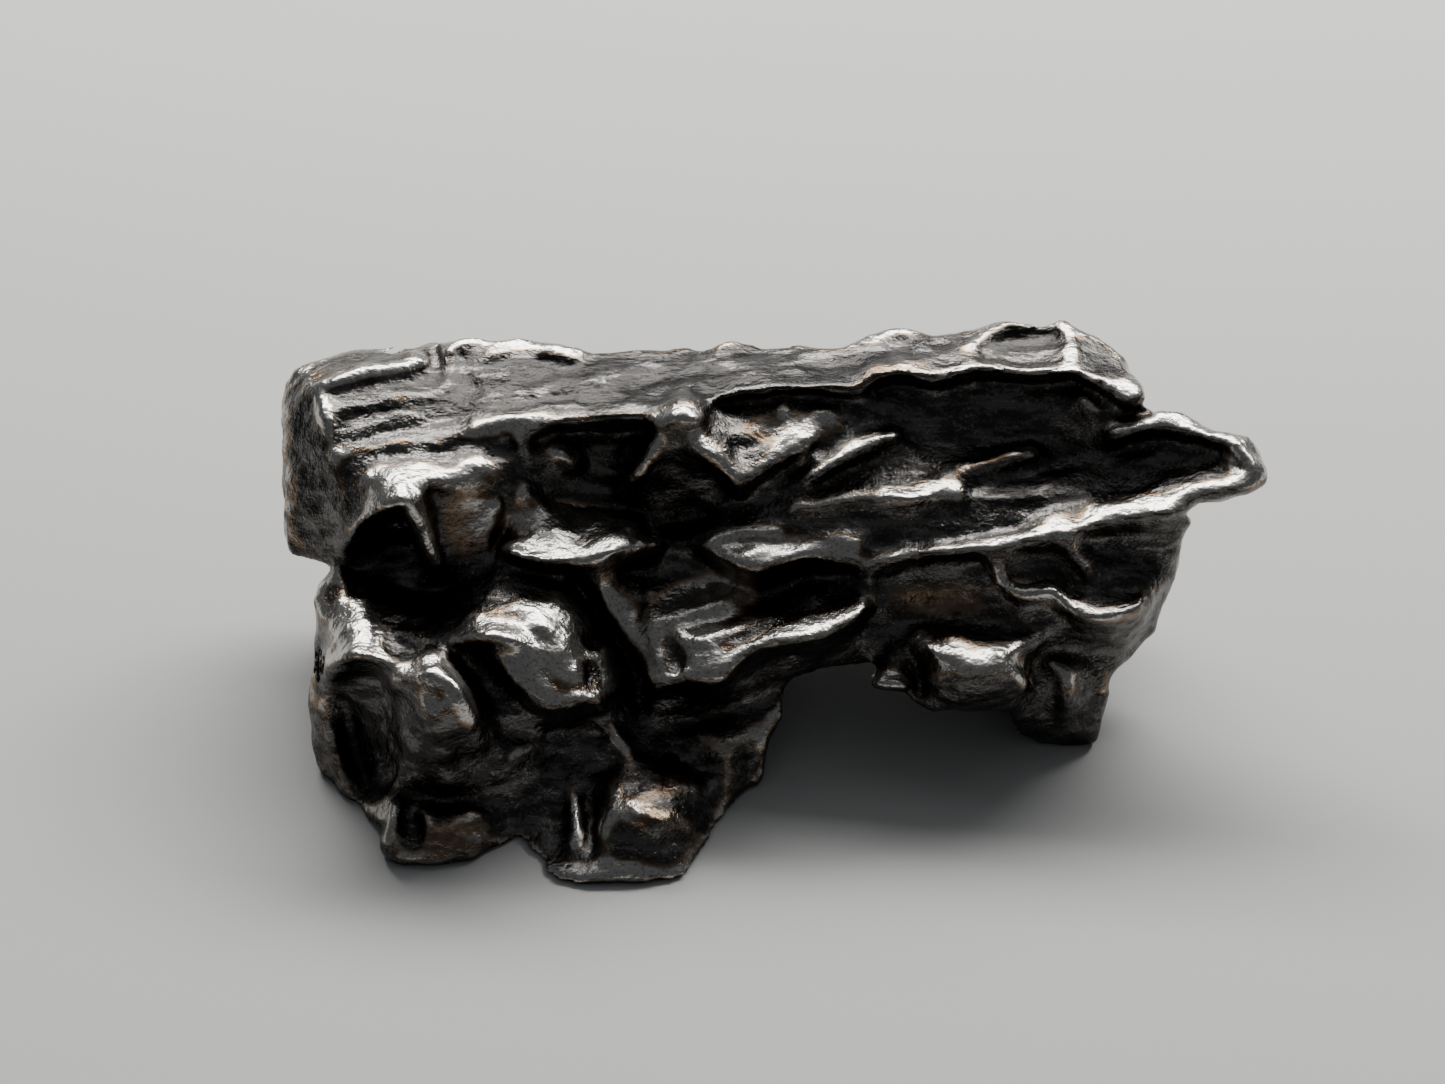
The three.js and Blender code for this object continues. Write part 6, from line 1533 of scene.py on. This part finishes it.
class Socket:
    """A socket of a node tree that takes part in Python expressions."""

    def __init__(self, graph: "Graph", link: bpy.types.NodeSocket | None) -> None:
        """Wraps an output socket."""
        self.graph = graph
        self.link = link

    def math(self, operation: Operation, a: "Socket | float", b: "Socket | float") -> "Socket":
        """A Math node on two values or sockets."""
        return self.graph.node("ShaderNodeMath", {"operation": operation.value}, {0: a, 1: b})

    def __add__(self, other: "Socket | float") -> "Socket":
        """Sum."""
        return self.math(Operation.ADD, self, other)

    def __radd__(self, other: float) -> "Socket":
        """Sum, with the number first."""
        return self.math(Operation.ADD, other, self)

    def __sub__(self, other: "Socket | float") -> "Socket":
        """Difference."""
        return self.math(Operation.SUBTRACT, self, other)

    def __rsub__(self, other: float) -> "Socket":
        """Difference, with the number first."""
        return self.math(Operation.SUBTRACT, other, self)

    def __mul__(self, other: "Socket | float") -> "Socket":
        """Product."""
        return self.math(Operation.MULTIPLY, self, other)

    def __rmul__(self, other: float) -> "Socket":
        """Product, with the number first."""
        return self.math(Operation.MULTIPLY, other, self)

    def __rtruediv__(self, other: float) -> "Socket":
        """Quotient of a number by the socket."""
        return self.math(Operation.DIVIDE, other, self)

    def ramp(self, low: float, high: float) -> "Socket":
        """A smooth rise.

        Args:
            low: the value up to which it is 0.
            high: the value from which it is 1.

        Returns:
            The socket of the rise.
        """
        return self.graph.node(
            "ShaderNodeMapRange",
            {"interpolation_type": "SMOOTHSTEP"},
            {"Value": self, "From Min": low, "From Max": high},
        )


Colour = tuple[float, float, float, float]
Band = tuple[float, float]

# The middle of a noise, which runs from 0 to 1.
MIDDLE = 0.5


@dataclass(frozen=True)
class Pattern:
    """A noise: its waves to a unit, its detail and its roughness."""

    scale: float
    detail: float
    roughness: float


@dataclass(frozen=True)
class Bump:
    """A bump: its strength and its height in metres."""

    strength: float
    height: float


class Graph:
    """Builds nodes in a shader or geometry tree."""

    MIX_SHARE, MIX_FIRST, MIX_SECOND, MIX_COLOUR = 0, 6, 7, 2

    def __init__(self, tree: bpy.types.NodeTree) -> None:
        """Works on that tree."""
        self.tree = tree

    @classmethod
    def of(cls, material: bpy.types.Material) -> "Graph":
        """The emptied tree of a material."""
        material.use_nodes = True
        material.node_tree.nodes.clear()
        return cls(material.node_tree)

    def node(
        self,
        kind: str,
        settings: dict[str, Any] | None = None,
        sockets: dict[int | str, Any] | None = None,
        out: int | str = 0,
    ) -> Socket:
        """Adds a node.

        Args:
            kind: Blender's name of its type.
            settings: its properties, set first.
            sockets: values or links of its input sockets, by name or number.
            out: the output that is returned.

        Returns:
            The wrapped output socket, or an empty one where the node has none.
        """
        made = self.tree.nodes.new(kind)
        for name, value in (settings or {}).items():
            setattr(made, name, value)
        for name, value in (sockets or {}).items():
            if isinstance(value, Socket):
                self.tree.links.new(value.link, made.inputs[name])
            else:
                made.inputs[name].default_value = value
        return Socket(self, made.outputs[out] if len(made.outputs) else None)

    def mix(self, share: Socket | float, first: Socket | Colour, second: Socket | Colour) -> Socket:
        """The colour that lies that share of the way from the first to the second."""
        sockets = {self.MIX_SHARE: share, self.MIX_FIRST: first, self.MIX_SECOND: second}
        return self.node("ShaderNodeMix", {"data_type": "RGBA"}, sockets, out=self.MIX_COLOUR)

    def scaled(self, vector: Socket, factor: Socket | float) -> Socket:
        """A vector times a factor."""
        settings = {"operation": Operation.SCALE.value}
        return self.node("ShaderNodeVectorMath", settings, {0: vector, "Scale": factor})

    def noise(self, vector: Socket, pattern: Pattern) -> Socket:
        """The noise of a pattern, from 0 to 1, read at a vector."""
        values = {"Scale": pattern.scale, "Detail": pattern.detail, "Roughness": pattern.roughness}
        return self.node("ShaderNodeTexNoise", {}, {"Vector": vector, **values})

    def bump(self, bump: Bump, height: Socket, normal: Socket | None = None) -> Socket:
        """Tilts the normal.

        Args:
            bump: how strongly and how high.
            height: the relief, from 0 to 1.
            normal: the normal that is tilted, where it isn't the mesh's own.

        Returns:
            The tilted normal.
        """
        sockets: dict[int | str, Any] = {
            "Strength": bump.strength, "Distance": bump.height, "Height": height,
        }
        if normal:
            sockets["Normal"] = normal
        return self.node("ShaderNodeBump", {}, sockets)

    def surface(self, sockets: dict[int | str, Any]) -> None:
        """Ends a material in a Principled surface with those values."""
        shader = self.node("ShaderNodeBsdfPrincipled", {}, sockets)
        self.node("ShaderNodeOutputMaterial", {}, {"Surface": shader})


@dataclass(frozen=True)
class IronState:
    """The iron at each place: its noises, its rubbing with painted highlights, its hollows with
    painted shade, and its dull skin with painted shade.
    """

    grain: Socket
    facet: Socket
    cloud: Socket
    streak: Socket
    rubbed_and_lit: Socket
    sunk: Socket
    dulled_and_shaded: Socket


@dataclass(frozen=True)
class WornIron:
    """Dark oxidised iron, granular on its facets, rubbed to bright steel on its ridges.
    Painted highlights brighten lit places, and painted shade darkens shaded ones and the hollows.

    Patterns are in waves to a millimetre. A band is the stretch of values over which something
    sets in. The other numbers say how much of one thing goes into another.
    """

    name: str = "worn_iron"
    # The oxide darkens the hollows and also stands in for their painted occlusion shade.
    oxide_and_shade: Colour = (0.03, 0.026, 0.022, 1)
    # The dull colour also paints shade on the shaded patches.
    dull_and_shade: Colour = (0.022, 0.021, 0.02, 1)
    steel_dark: Colour = (0.045, 0.043, 0.041, 1)
    steel: Colour = (0.12, 0.115, 0.11, 1)
    # The bright steel of rubbed ridges also paints highlights.
    bright: Colour = (0.5, 0.485, 0.46, 1)
    # The warm tint lies round the rubbed areas and the painted highlights.
    warm: Colour = (0.20, 0.135, 0.085, 1)
    speck: Colour = (0.42, 0.33, 0.25, 1)

    grain: Pattern = Pattern(9.0, 3.0, 0.65)
    facet: Pattern = Pattern(3.2, 2.0, 0.5)
    cloud: Pattern = Pattern(0.55, 2.0, 0.6)
    streak: Pattern = Pattern(2.4, 3.0, 0.6)
    streak_stretch: Point = (0.3, 1.0, 1.0)

    rubbed_and_lit_band: Band = (0.3, 1.0)
    rubbed_and_lit_facets: float = 0.25
    rubbed_and_lit_streaks: float = 0.5
    sunk_band: Band = (0.25, 0.85)
    sunk_facets: float = 0.3
    dulled_and_shaded_band: Band = (0.1, 0.45)
    dulled_and_shaded_streaks: float = -1.6

    steel_band: Band = (0.42, 0.62)
    steel_grain: float = 0.4
    speck_band: Band = (0.56, 0.68)
    speck_share: float = 0.1
    speck_sunk: float = 0.4
    speck_cloud: float = 0.25
    dull_and_shade_share: float = 0.9
    warm_band: Band = (0, 0.4)
    warm_share: float = 0.8
    bright_band: Band = (0.3, 1)
    fleck_band: Band = (0.5, 0.64)
    fleck_share: float = 0.6

    roughness: float = 0.2
    rough_grain: float = 0.14
    rough_sunk: float = 0.1
    rough_rubbed_and_lit: float = 0.05
    fine: Bump = Bump(0.55, 0.06 * MM)
    fine_worn_off: float = 0.7
    coarse: Bump = Bump(0.5, 0.12 * MM)

    def state(self, graph: Graph) -> IronState:
        """Reads the noises and the skin's two attributes.

        Args:
            graph: the material's nodes.

        Returns:
            The sockets that the finish is mixed from.
        """
        place = graph.scaled(graph.node("ShaderNodeTexCoord", out="Object"), 1 / MM)
        stretched = graph.node(
            "ShaderNodeVectorMath",
            {"operation": Operation.MULTIPLY.value},
            {0: place, 1: self.streak_stretch},
        )
        # The wear attribute carries rubbing, painted highlights and painted shade.
        wear_and_painted_light = graph.node("ShaderNodeAttribute", {"attribute_name": "wear_and_painted_light"}, out="Fac")
        depth = graph.node("ShaderNodeAttribute", {"attribute_name": "hollow"}, out="Fac")
        facet = graph.noise(place, self.facet)
        streak = graph.noise(stretched, self.streak)
        facets, streaks = facet - MIDDLE, streak - MIDDLE
        # Rubbing and painted highlights, broken up by noise.
        rubbed_and_lit = wear_and_painted_light + facets * self.rubbed_and_lit_facets + streaks * self.rubbed_and_lit_streaks
        # Hollows, darkened by oxide and painted occlusion shade.
        sunk = depth + facets * self.sunk_facets
        # Dull streaks, and painted shade where the wear attribute is negative.
        dulled_and_shaded = streaks * self.dulled_and_shaded_streaks - wear_and_painted_light
        return IronState(
            grain=graph.noise(place, self.grain),
            facet=facet,
            cloud=graph.noise(place, self.cloud),
            streak=streak,
            rubbed_and_lit=rubbed_and_lit.ramp(*self.rubbed_and_lit_band),
            sunk=sunk.ramp(*self.sunk_band),
            dulled_and_shaded=dulled_and_shaded.ramp(*self.dulled_and_shaded_band),
        )

    def colour(self, graph: Graph, iron: IronState) -> Socket:
        """Mixes the colour: steel, oxide with the painted shade of hollows, specks, dull skin with
        painted shade, warm rims, and bright ridges with painted highlights.

        Args:
            graph: the material's nodes.
            iron: what the iron is like.

        Returns:
            The colour's socket.
        """
        steel = iron.streak + (iron.grain - MIDDLE) * self.steel_grain
        specks = self.speck_share + iron.sunk * self.speck_sunk + iron.cloud * self.speck_cloud
        flecks = iron.grain.ramp(*self.fleck_band) * self.fleck_share
        body = graph.mix(steel.ramp(*self.steel_band), self.steel_dark, self.steel)
        # Oxide in the hollows, which also paints their occlusion shade.
        body = graph.mix(iron.sunk, body, self.oxide_and_shade)
        body = graph.mix(iron.grain.ramp(*self.speck_band) * specks, body, self.speck)
        # Dull streaks, and painted shade on the shaded patches.
        body = graph.mix(iron.dulled_and_shaded * self.dull_and_shade_share, body, self.dull_and_shade)
        # Warm tint round the rubbed areas and the painted highlights.
        body = graph.mix(iron.rubbed_and_lit.ramp(*self.warm_band) * self.warm_share, body, self.warm)
        # Bright steel where rubbed, which also paints the highlights.
        return graph.mix(iron.rubbed_and_lit.ramp(*self.bright_band) * (1 - flecks), body, self.bright)

    def make(self) -> bpy.types.Material:
        """Builds the material.

        Returns:
            The finished material.
        """
        material = bpy.data.materials.new(self.name)
        graph = Graph.of(material)
        iron = self.state(graph)
        grain = (iron.grain - MIDDLE) * self.rough_grain
        rough = self.roughness + grain + iron.sunk * self.rough_sunk + iron.rubbed_and_lit * self.rough_rubbed_and_lit
        fine = graph.bump(self.fine, iron.grain * (1 - iron.rubbed_and_lit * self.fine_worn_off))
        graph.surface({
            "Base Color": self.colour(graph, iron),
            "Metallic": 1.0,
            "Roughness": rough,
            "Normal": graph.bump(self.coarse, iron.facet, fine),
        })
        return material


@dataclass(frozen=True)
class TableFinish:
    """A plain pale matt table."""

    name: str = "pale_table"
    colour: Colour = (0.45, 0.45, 0.44, 1)
    roughness: float = 0.8

    def make(self) -> bpy.types.Material:
        """The finished material."""
        material = bpy.data.materials.new(self.name)
        Graph.of(material).surface({"Base Color": self.colour, "Roughness": self.roughness})
        return material


@dataclass
class WeatheredSkin:
    """Geometry Nodes that give a skin its fine relief: small dimples and soft ripples."""

    dimple_size: float = 0.9 * MM
    dimple_depth: float = 0.05 * MM
    dimple_softness: float = 0.4
    ripple_size: float = 0.35 * MM
    ripple_depth: float = 0.035 * MM
    ripple_detail: float = 2.0
    seed: int = 7

    INPUTS = ("Dimple Size", "Dimple Depth", "Ripple Size", "Ripple Depth")

    def inputs(self, graph: Graph) -> dict[str, Socket]:
        """Names the tree's inputs and its output.

        Args:
            graph: the empty tree.

        Returns:
            The socket of each input, by name.
        """
        face = graph.tree.interface
        face.new_socket("Geometry", in_out="INPUT", socket_type="NodeSocketGeometry")
        for name in self.INPUTS:
            face.new_socket(name, in_out="INPUT", socket_type="NodeSocketFloat")
        face.new_socket("Seed", in_out="INPUT", socket_type="NodeSocketInt")
        face.new_socket("Material", in_out="INPUT", socket_type="NodeSocketMaterial")
        face.new_socket("Geometry", in_out="OUTPUT", socket_type="NodeSocketGeometry")
        entry = graph.tree.nodes.new("NodeGroupInput")
        return {s.name: Socket(graph, s) for s in entry.outputs if s.name}

    def tree(self) -> bpy.types.NodeTree:
        """Builds the nodes.

        Returns:
            The node tree.
        """
        tree = bpy.data.node_groups.new("weathered_skin", "GeometryNodeTree")
        graph = Graph(tree)
        given = self.inputs(graph)
        place = graph.node("GeometryNodeInputPosition")
        cells = {"voronoi_dimensions": "4D", "feature": "SMOOTH_F1"}
        dimple = graph.node("ShaderNodeTexVoronoi", cells, {
            "Vector": graph.scaled(place, 1 / given["Dimple Size"]),
            "W": given["Seed"],
            "Scale": 1.0,
            "Smoothness": self.dimple_softness,
        })
        ripple = graph.node("ShaderNodeTexNoise", {"noise_dimensions": "4D"}, {
            "Vector": graph.scaled(place, 1 / given["Ripple Size"]),
            "W": given["Seed"],
            "Scale": 1.0,
            "Detail": self.ripple_detail,
        })
        dimples = (dimple - MIDDLE) * given["Dimple Depth"] * 2
        ripples = (ripple - MIDDLE) * given["Ripple Depth"] * 2
        offset = graph.scaled(graph.node("GeometryNodeInputNormal"), dimples + ripples)
        moved = graph.node(
            "GeometryNodeSetPosition", {}, {"Geometry": given["Geometry"], "Offset": offset}
        )
        real = graph.node("GeometryNodeRealizeInstances", {}, {"Geometry": moved})
        graph.node("NodeGroupOutput", {}, {0: graph.node(
            "GeometryNodeSetMaterial", {}, {"Geometry": real, "Material": given["Material"]}
        )})
        return tree

    def dress(self, piece: bpy.types.Object, material: bpy.types.Material) -> None:
        """Gives a piece the relief and its material, and leaves it a plain mesh.

        Args:
            piece: the mesh object, in place.
            material: the finish that the tree sets.
        """
        sizes = (self.dimple_size, self.dimple_depth, self.ripple_size, self.ripple_depth)
        values: dict[str, Any] = dict(zip(self.INPUTS, sizes), Seed=self.seed, Material=material)
        modifier = piece.modifiers.new("weathered_skin", "NODES")
        modifier.node_group = self.tree()
        for item in modifier.node_group.interface.items_tree:
            if item.in_out == "INPUT" and item.name in values:
                modifier[item.identifier] = values[item.name]
        bpy.context.view_layer.update()
        evaluated = piece.evaluated_get(bpy.context.evaluated_depsgraph_get())
        plain = bpy.data.meshes.new_from_object(evaluated)
        piece.modifiers.remove(modifier)
        piece.data = plain


@dataclass
class Stone:
    """The meteorite: its sizes, the order in which its features are worked, and its finish."""

    name: str = "iron_stone"
    node: str = "meteorite"
    slot: str = "iron"
    grid_step: float = 0.17
    broad_scallops: Scallops = Scallops(cell=2.1, depth=0.45, salt=977)
    small_scallops: Scallops = Scallops(cell=1.1, depth=0.1, salt=411)
    finish: WornIron = field(default_factory=WornIron)
    relief: WeatheredSkin = field(default_factory=WeatheredSkin)

    # Proud rims and crests are rubbed bright, and their bands also serve as painted highlights.
    rims: Prominence = Prominence(rounds=10, height=0.06, share=0.3, least=-0.5, most=1.2)
    crests: Prominence = Prominence(rounds=60, height=0.20, share=0.75, least=-0.7, most=1.2)
    # Painted light from above: the rubbing counts most where the skin faces up.
    top_light_rise: float = 0.1
    top_light_slope: float = 0.45
    top_light_least: float = 0.12
    # Feelers find the hollows, which the finish darkens with oxide and painted occlusion shade.
    feelers: tuple[float, ...] = (0.4, 0.8, 1.6, 2.8)
    feeler_least: float = 0.3
    feeler_share: float = 0.7
    open_gain: float = 1.4

    def shape(self, film: Film) -> Clay:
        """Works the clay, from the masses down to the scallops.

        Args:
            film: the front of the stone.

        Returns:
            The shaped clay.
        """
        clay = Clay(self.grid_step)
        for bulk in BULKS.values():
            bulk.press(clay)
        BEAK.press(clay)
        clay.face(film)
        for dent in DENTS.values():
            dent.press(clay)
        clay.scallop(self.broad_scallops, film)
        clay.scallop(self.small_scallops)
        clay.seat()
        return clay

    def wear_and_painted_light(self, skin: Skin, film: Film) -> Array:
        """Finds what is rubbed bright and where light and shade are painted: rims and crests, most of
        all where they look up, and named patches of painted highlight and painted shade.

        Args:
            skin: the skin of the clay.
            film: the front of the stone, where the patches lie.

        Returns:
            From -1 where a point carries painted shade, through 0, to 1 where it is rubbed bright and
            carries painted highlights.
        """
        normals = skin.normals()
        # Painted light from above: points that face up get more of the rubbing.
        top_light = (normals[:, 2] - self.top_light_rise) / self.top_light_slope
        top_light = np.clip(top_light, self.top_light_least, 1)
        proud = self.rims.of(skin, normals) + self.crests.of(skin, normals)
        u, v, _, _ = SIGHT.see(skin.points)
        # Named patches of painted highlight and painted shade.
        painted_light_spots = sum(patch.weight(u, v) for patch in PAINTED_LIGHT_PATCHES.values())
        in_front = 1 - film.behind(skin.points)
        return np.clip(top_light * np.clip(proud, 0, 1) + in_front * painted_light_spots, -1, 1)

    def depth(self, skin: Skin, clay: Clay) -> Array:
        """Feels for other parts of the stone in front of each point.

        Args:
            skin: the skin of the clay.
            clay: the shaped clay.

        Returns:
            From 0 where a point lies open to 1 where it lies deep.
        """
        normals = skin.normals()
        open_ = np.ones(len(skin.points))
        for distance in self.feelers:
            ahead = clay.sample(skin.points + normals * distance) / distance
            open_ *= np.clip(self.feeler_least + self.feeler_share * ahead, 0, 1)
        return 1 - np.clip(open_ * self.open_gain, 0, 1)

    def mesh(self, skin: Skin, attributes: dict[str, Array]) -> bpy.types.Mesh:
        """Turns a skin into a mesh in metres, in the frame's place.

        Args:
            skin: the skin of the clay.
            attributes: a value for each point, by attribute name.

        Returns:
            The smooth mesh.
        """
        mesh = bpy.data.meshes.new(self.name)
        placed = (skin.points + np.array([*CENTRING, 0.0])) * MM
        mesh.vertices.add(len(placed))
        mesh.vertices.foreach_set("co", placed.astype(np.float32).ravel())
        mesh.loops.add(skin.faces.size)
        mesh.loops.foreach_set("vertex_index", skin.faces.astype(np.int32).ravel())
        mesh.polygons.add(len(skin.faces))
        mesh.polygons.foreach_set("loop_start", np.arange(0, skin.faces.size, 4, dtype=np.int32))
        mesh.update(calc_edges=True)
        mesh.validate()
        mesh.shade_smooth()
        for name, values in attributes.items():
            attribute = mesh.attributes.new(name, "FLOAT", "POINT")
            attribute.data.foreach_set("value", values.astype(np.float32))
        return mesh

    def build(self) -> bpy.types.Object:
        """Makes the piece.

        Returns:
            The stone as a plain mesh in metres, in the frame's place.
        """
        film = Film(FRONT_LINES.values(), STREAKS.values(), SWELLS.values(), OUTLINE)
        clay = self.shape(film)
        skin = Skin.of(clay).keep_largest()
        LOG.info("skin: %d points, %d faces", len(skin.points), len(skin.faces))
        # The wear attribute carries rubbing with painted highlights and shade; the hollow attribute
        # guides the oxide that also paints the hollows' shade.
        mesh = self.mesh(skin, {"wear_and_painted_light": self.wear_and_painted_light(skin, film), "hollow": self.depth(skin, clay)})
        piece = bpy.data.objects.new(self.name, mesh)
        bpy.context.scene.collection.objects.link(piece)
        self.relief.dress(piece, self.finish.make())
        self.keep_in_box(piece)
        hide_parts(self.node)
        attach(piece, "root")
        return piece

    @staticmethod
    def keep_in_box(piece: bpy.types.Object) -> None:
        """Brings any point that stands outside the CAD box back to its face.

        Args:
            piece: the stone, a plain mesh in metres.
        """
        low, high = (np.array(corner) for corner in CAD_BOX)
        co = np.zeros(len(piece.data.vertices) * 3, np.float32)
        piece.data.vertices.foreach_get("co", co)
        co = np.clip(co.reshape(-1, 3), low, high)
        piece.data.vertices.foreach_set("co", co.astype(np.float32).ravel())
        piece.data.update()


@dataclass(frozen=True)
class SoftLight:
    """A rectangular light that faces the stone: width and height in metres, power in watts."""

    name: str
    azimuth: float
    elevation: float
    distance: float
    size: tuple[float, float]
    power: float
    colour: Point

    def hang(self, target: Vector) -> None:
        """Hangs the light.

        Args:
            target: the point that it faces; azimuth 0 lies towards -Y of it.
        """
        a, e = math.radians(self.azimuth), math.radians(self.elevation)
        way = Vector((math.sin(a) * math.cos(e), -math.cos(a) * math.cos(e), math.sin(e)))
        data = bpy.data.lights.new(self.name, "AREA")
        data.shape = "RECTANGLE"
        data.size, data.size_y = self.size
        data.energy = self.power
        data.color = self.colour
        lamp = bpy.data.objects.new(self.name, data)
        lamp.location = target + way * self.distance
        lamp.rotation_euler = way.to_track_quat("Z", "Y").to_euler()
        bpy.context.scene.collection.objects.link(lamp)


@dataclass
class Studio:
    """The plain table, the soft lights and the camera."""

    floor_size: float = 1.2
    floor_finish: TableFinish = field(default_factory=TableFinish)
    window: SoftLight = SoftLight("window", 172, 43, 0.22, (0.34, 0.06), 1.5, (1.0, 0.99, 0.97))
    glow: SoftLight = SoftLight("glow", 172, 50, 0.22, (0.34, 0.26), 0.11, (0.95, 0.98, 1.0))
    sky_colour: Colour = (0.9, 0.95, 1.0, 1)
    sky_strength: float = 0.11
    sight_end: float = 10

    @property
    def target(self) -> Vector:
        """The point that the camera looks at."""
        x, y, z = SIGHT.middle
        return Vector(((x + CENTRING[0]) * MM, (y + CENTRING[1]) * MM, z * MM))

    def table(self) -> None:
        """Lays the floor."""
        half = self.floor_size / 2
        mesh = bpy.data.meshes.new("table")
        corners = [(-half, -half, 0), (half, -half, 0), (half, half, 0), (-half, half, 0)]
        mesh.from_pydata(corners, [], [(0, 1, 2, 3)])
        mesh.materials.append(self.floor_finish.make())
        floor = bpy.data.objects.new("table", mesh)
        bpy.context.scene.collection.objects.link(floor)

    def sky(self) -> None:
        """Fills the room with a weak even light."""
        world = bpy.data.worlds.new("sky")
        world.use_nodes = True
        background = world.node_tree.nodes["Background"]
        background.inputs["Color"].default_value = self.sky_colour
        background.inputs["Strength"].default_value = self.sky_strength
        bpy.context.scene.world = world

    def camera(self) -> None:
        """Puts the camera at the eye of the photograph."""
        data = bpy.data.cameras.new("eye")
        data.lens = SIGHT.lens
        data.sensor_width = SIGHT.sensor
        data.clip_start = MM
        data.clip_end = self.sight_end
        eye = bpy.data.objects.new("eye", data)
        right, up, near = (Vector(row) for row in SIGHT.axes)
        turn = Matrix((right, up, near)).transposed().to_4x4()
        eye.matrix_world = Matrix.Translation(self.target + near * SIGHT.eye_distance * MM) @ turn
        bpy.context.scene.collection.objects.link(eye)
        bpy.context.scene.camera = eye

    def build(self) -> None:
        """Sets up the camera, the lights and the table."""
        self.camera()
        self.window.hang(self.target)
        self.glow.hang(self.target)
        self.sky()
        self.table()


def main() -> None:
    """Builds the scene and reports each piece."""
    logging.basicConfig(level=logging.INFO, format="%(name)s: %(message)s")
    Studio().build()
    LOG.info("studio: camera, lights and table")
    stone = Stone().build()
    LOG.info("%s: %d faces", stone.name, len(stone.data.polygons))


if __name__ == "__main__":
    main()
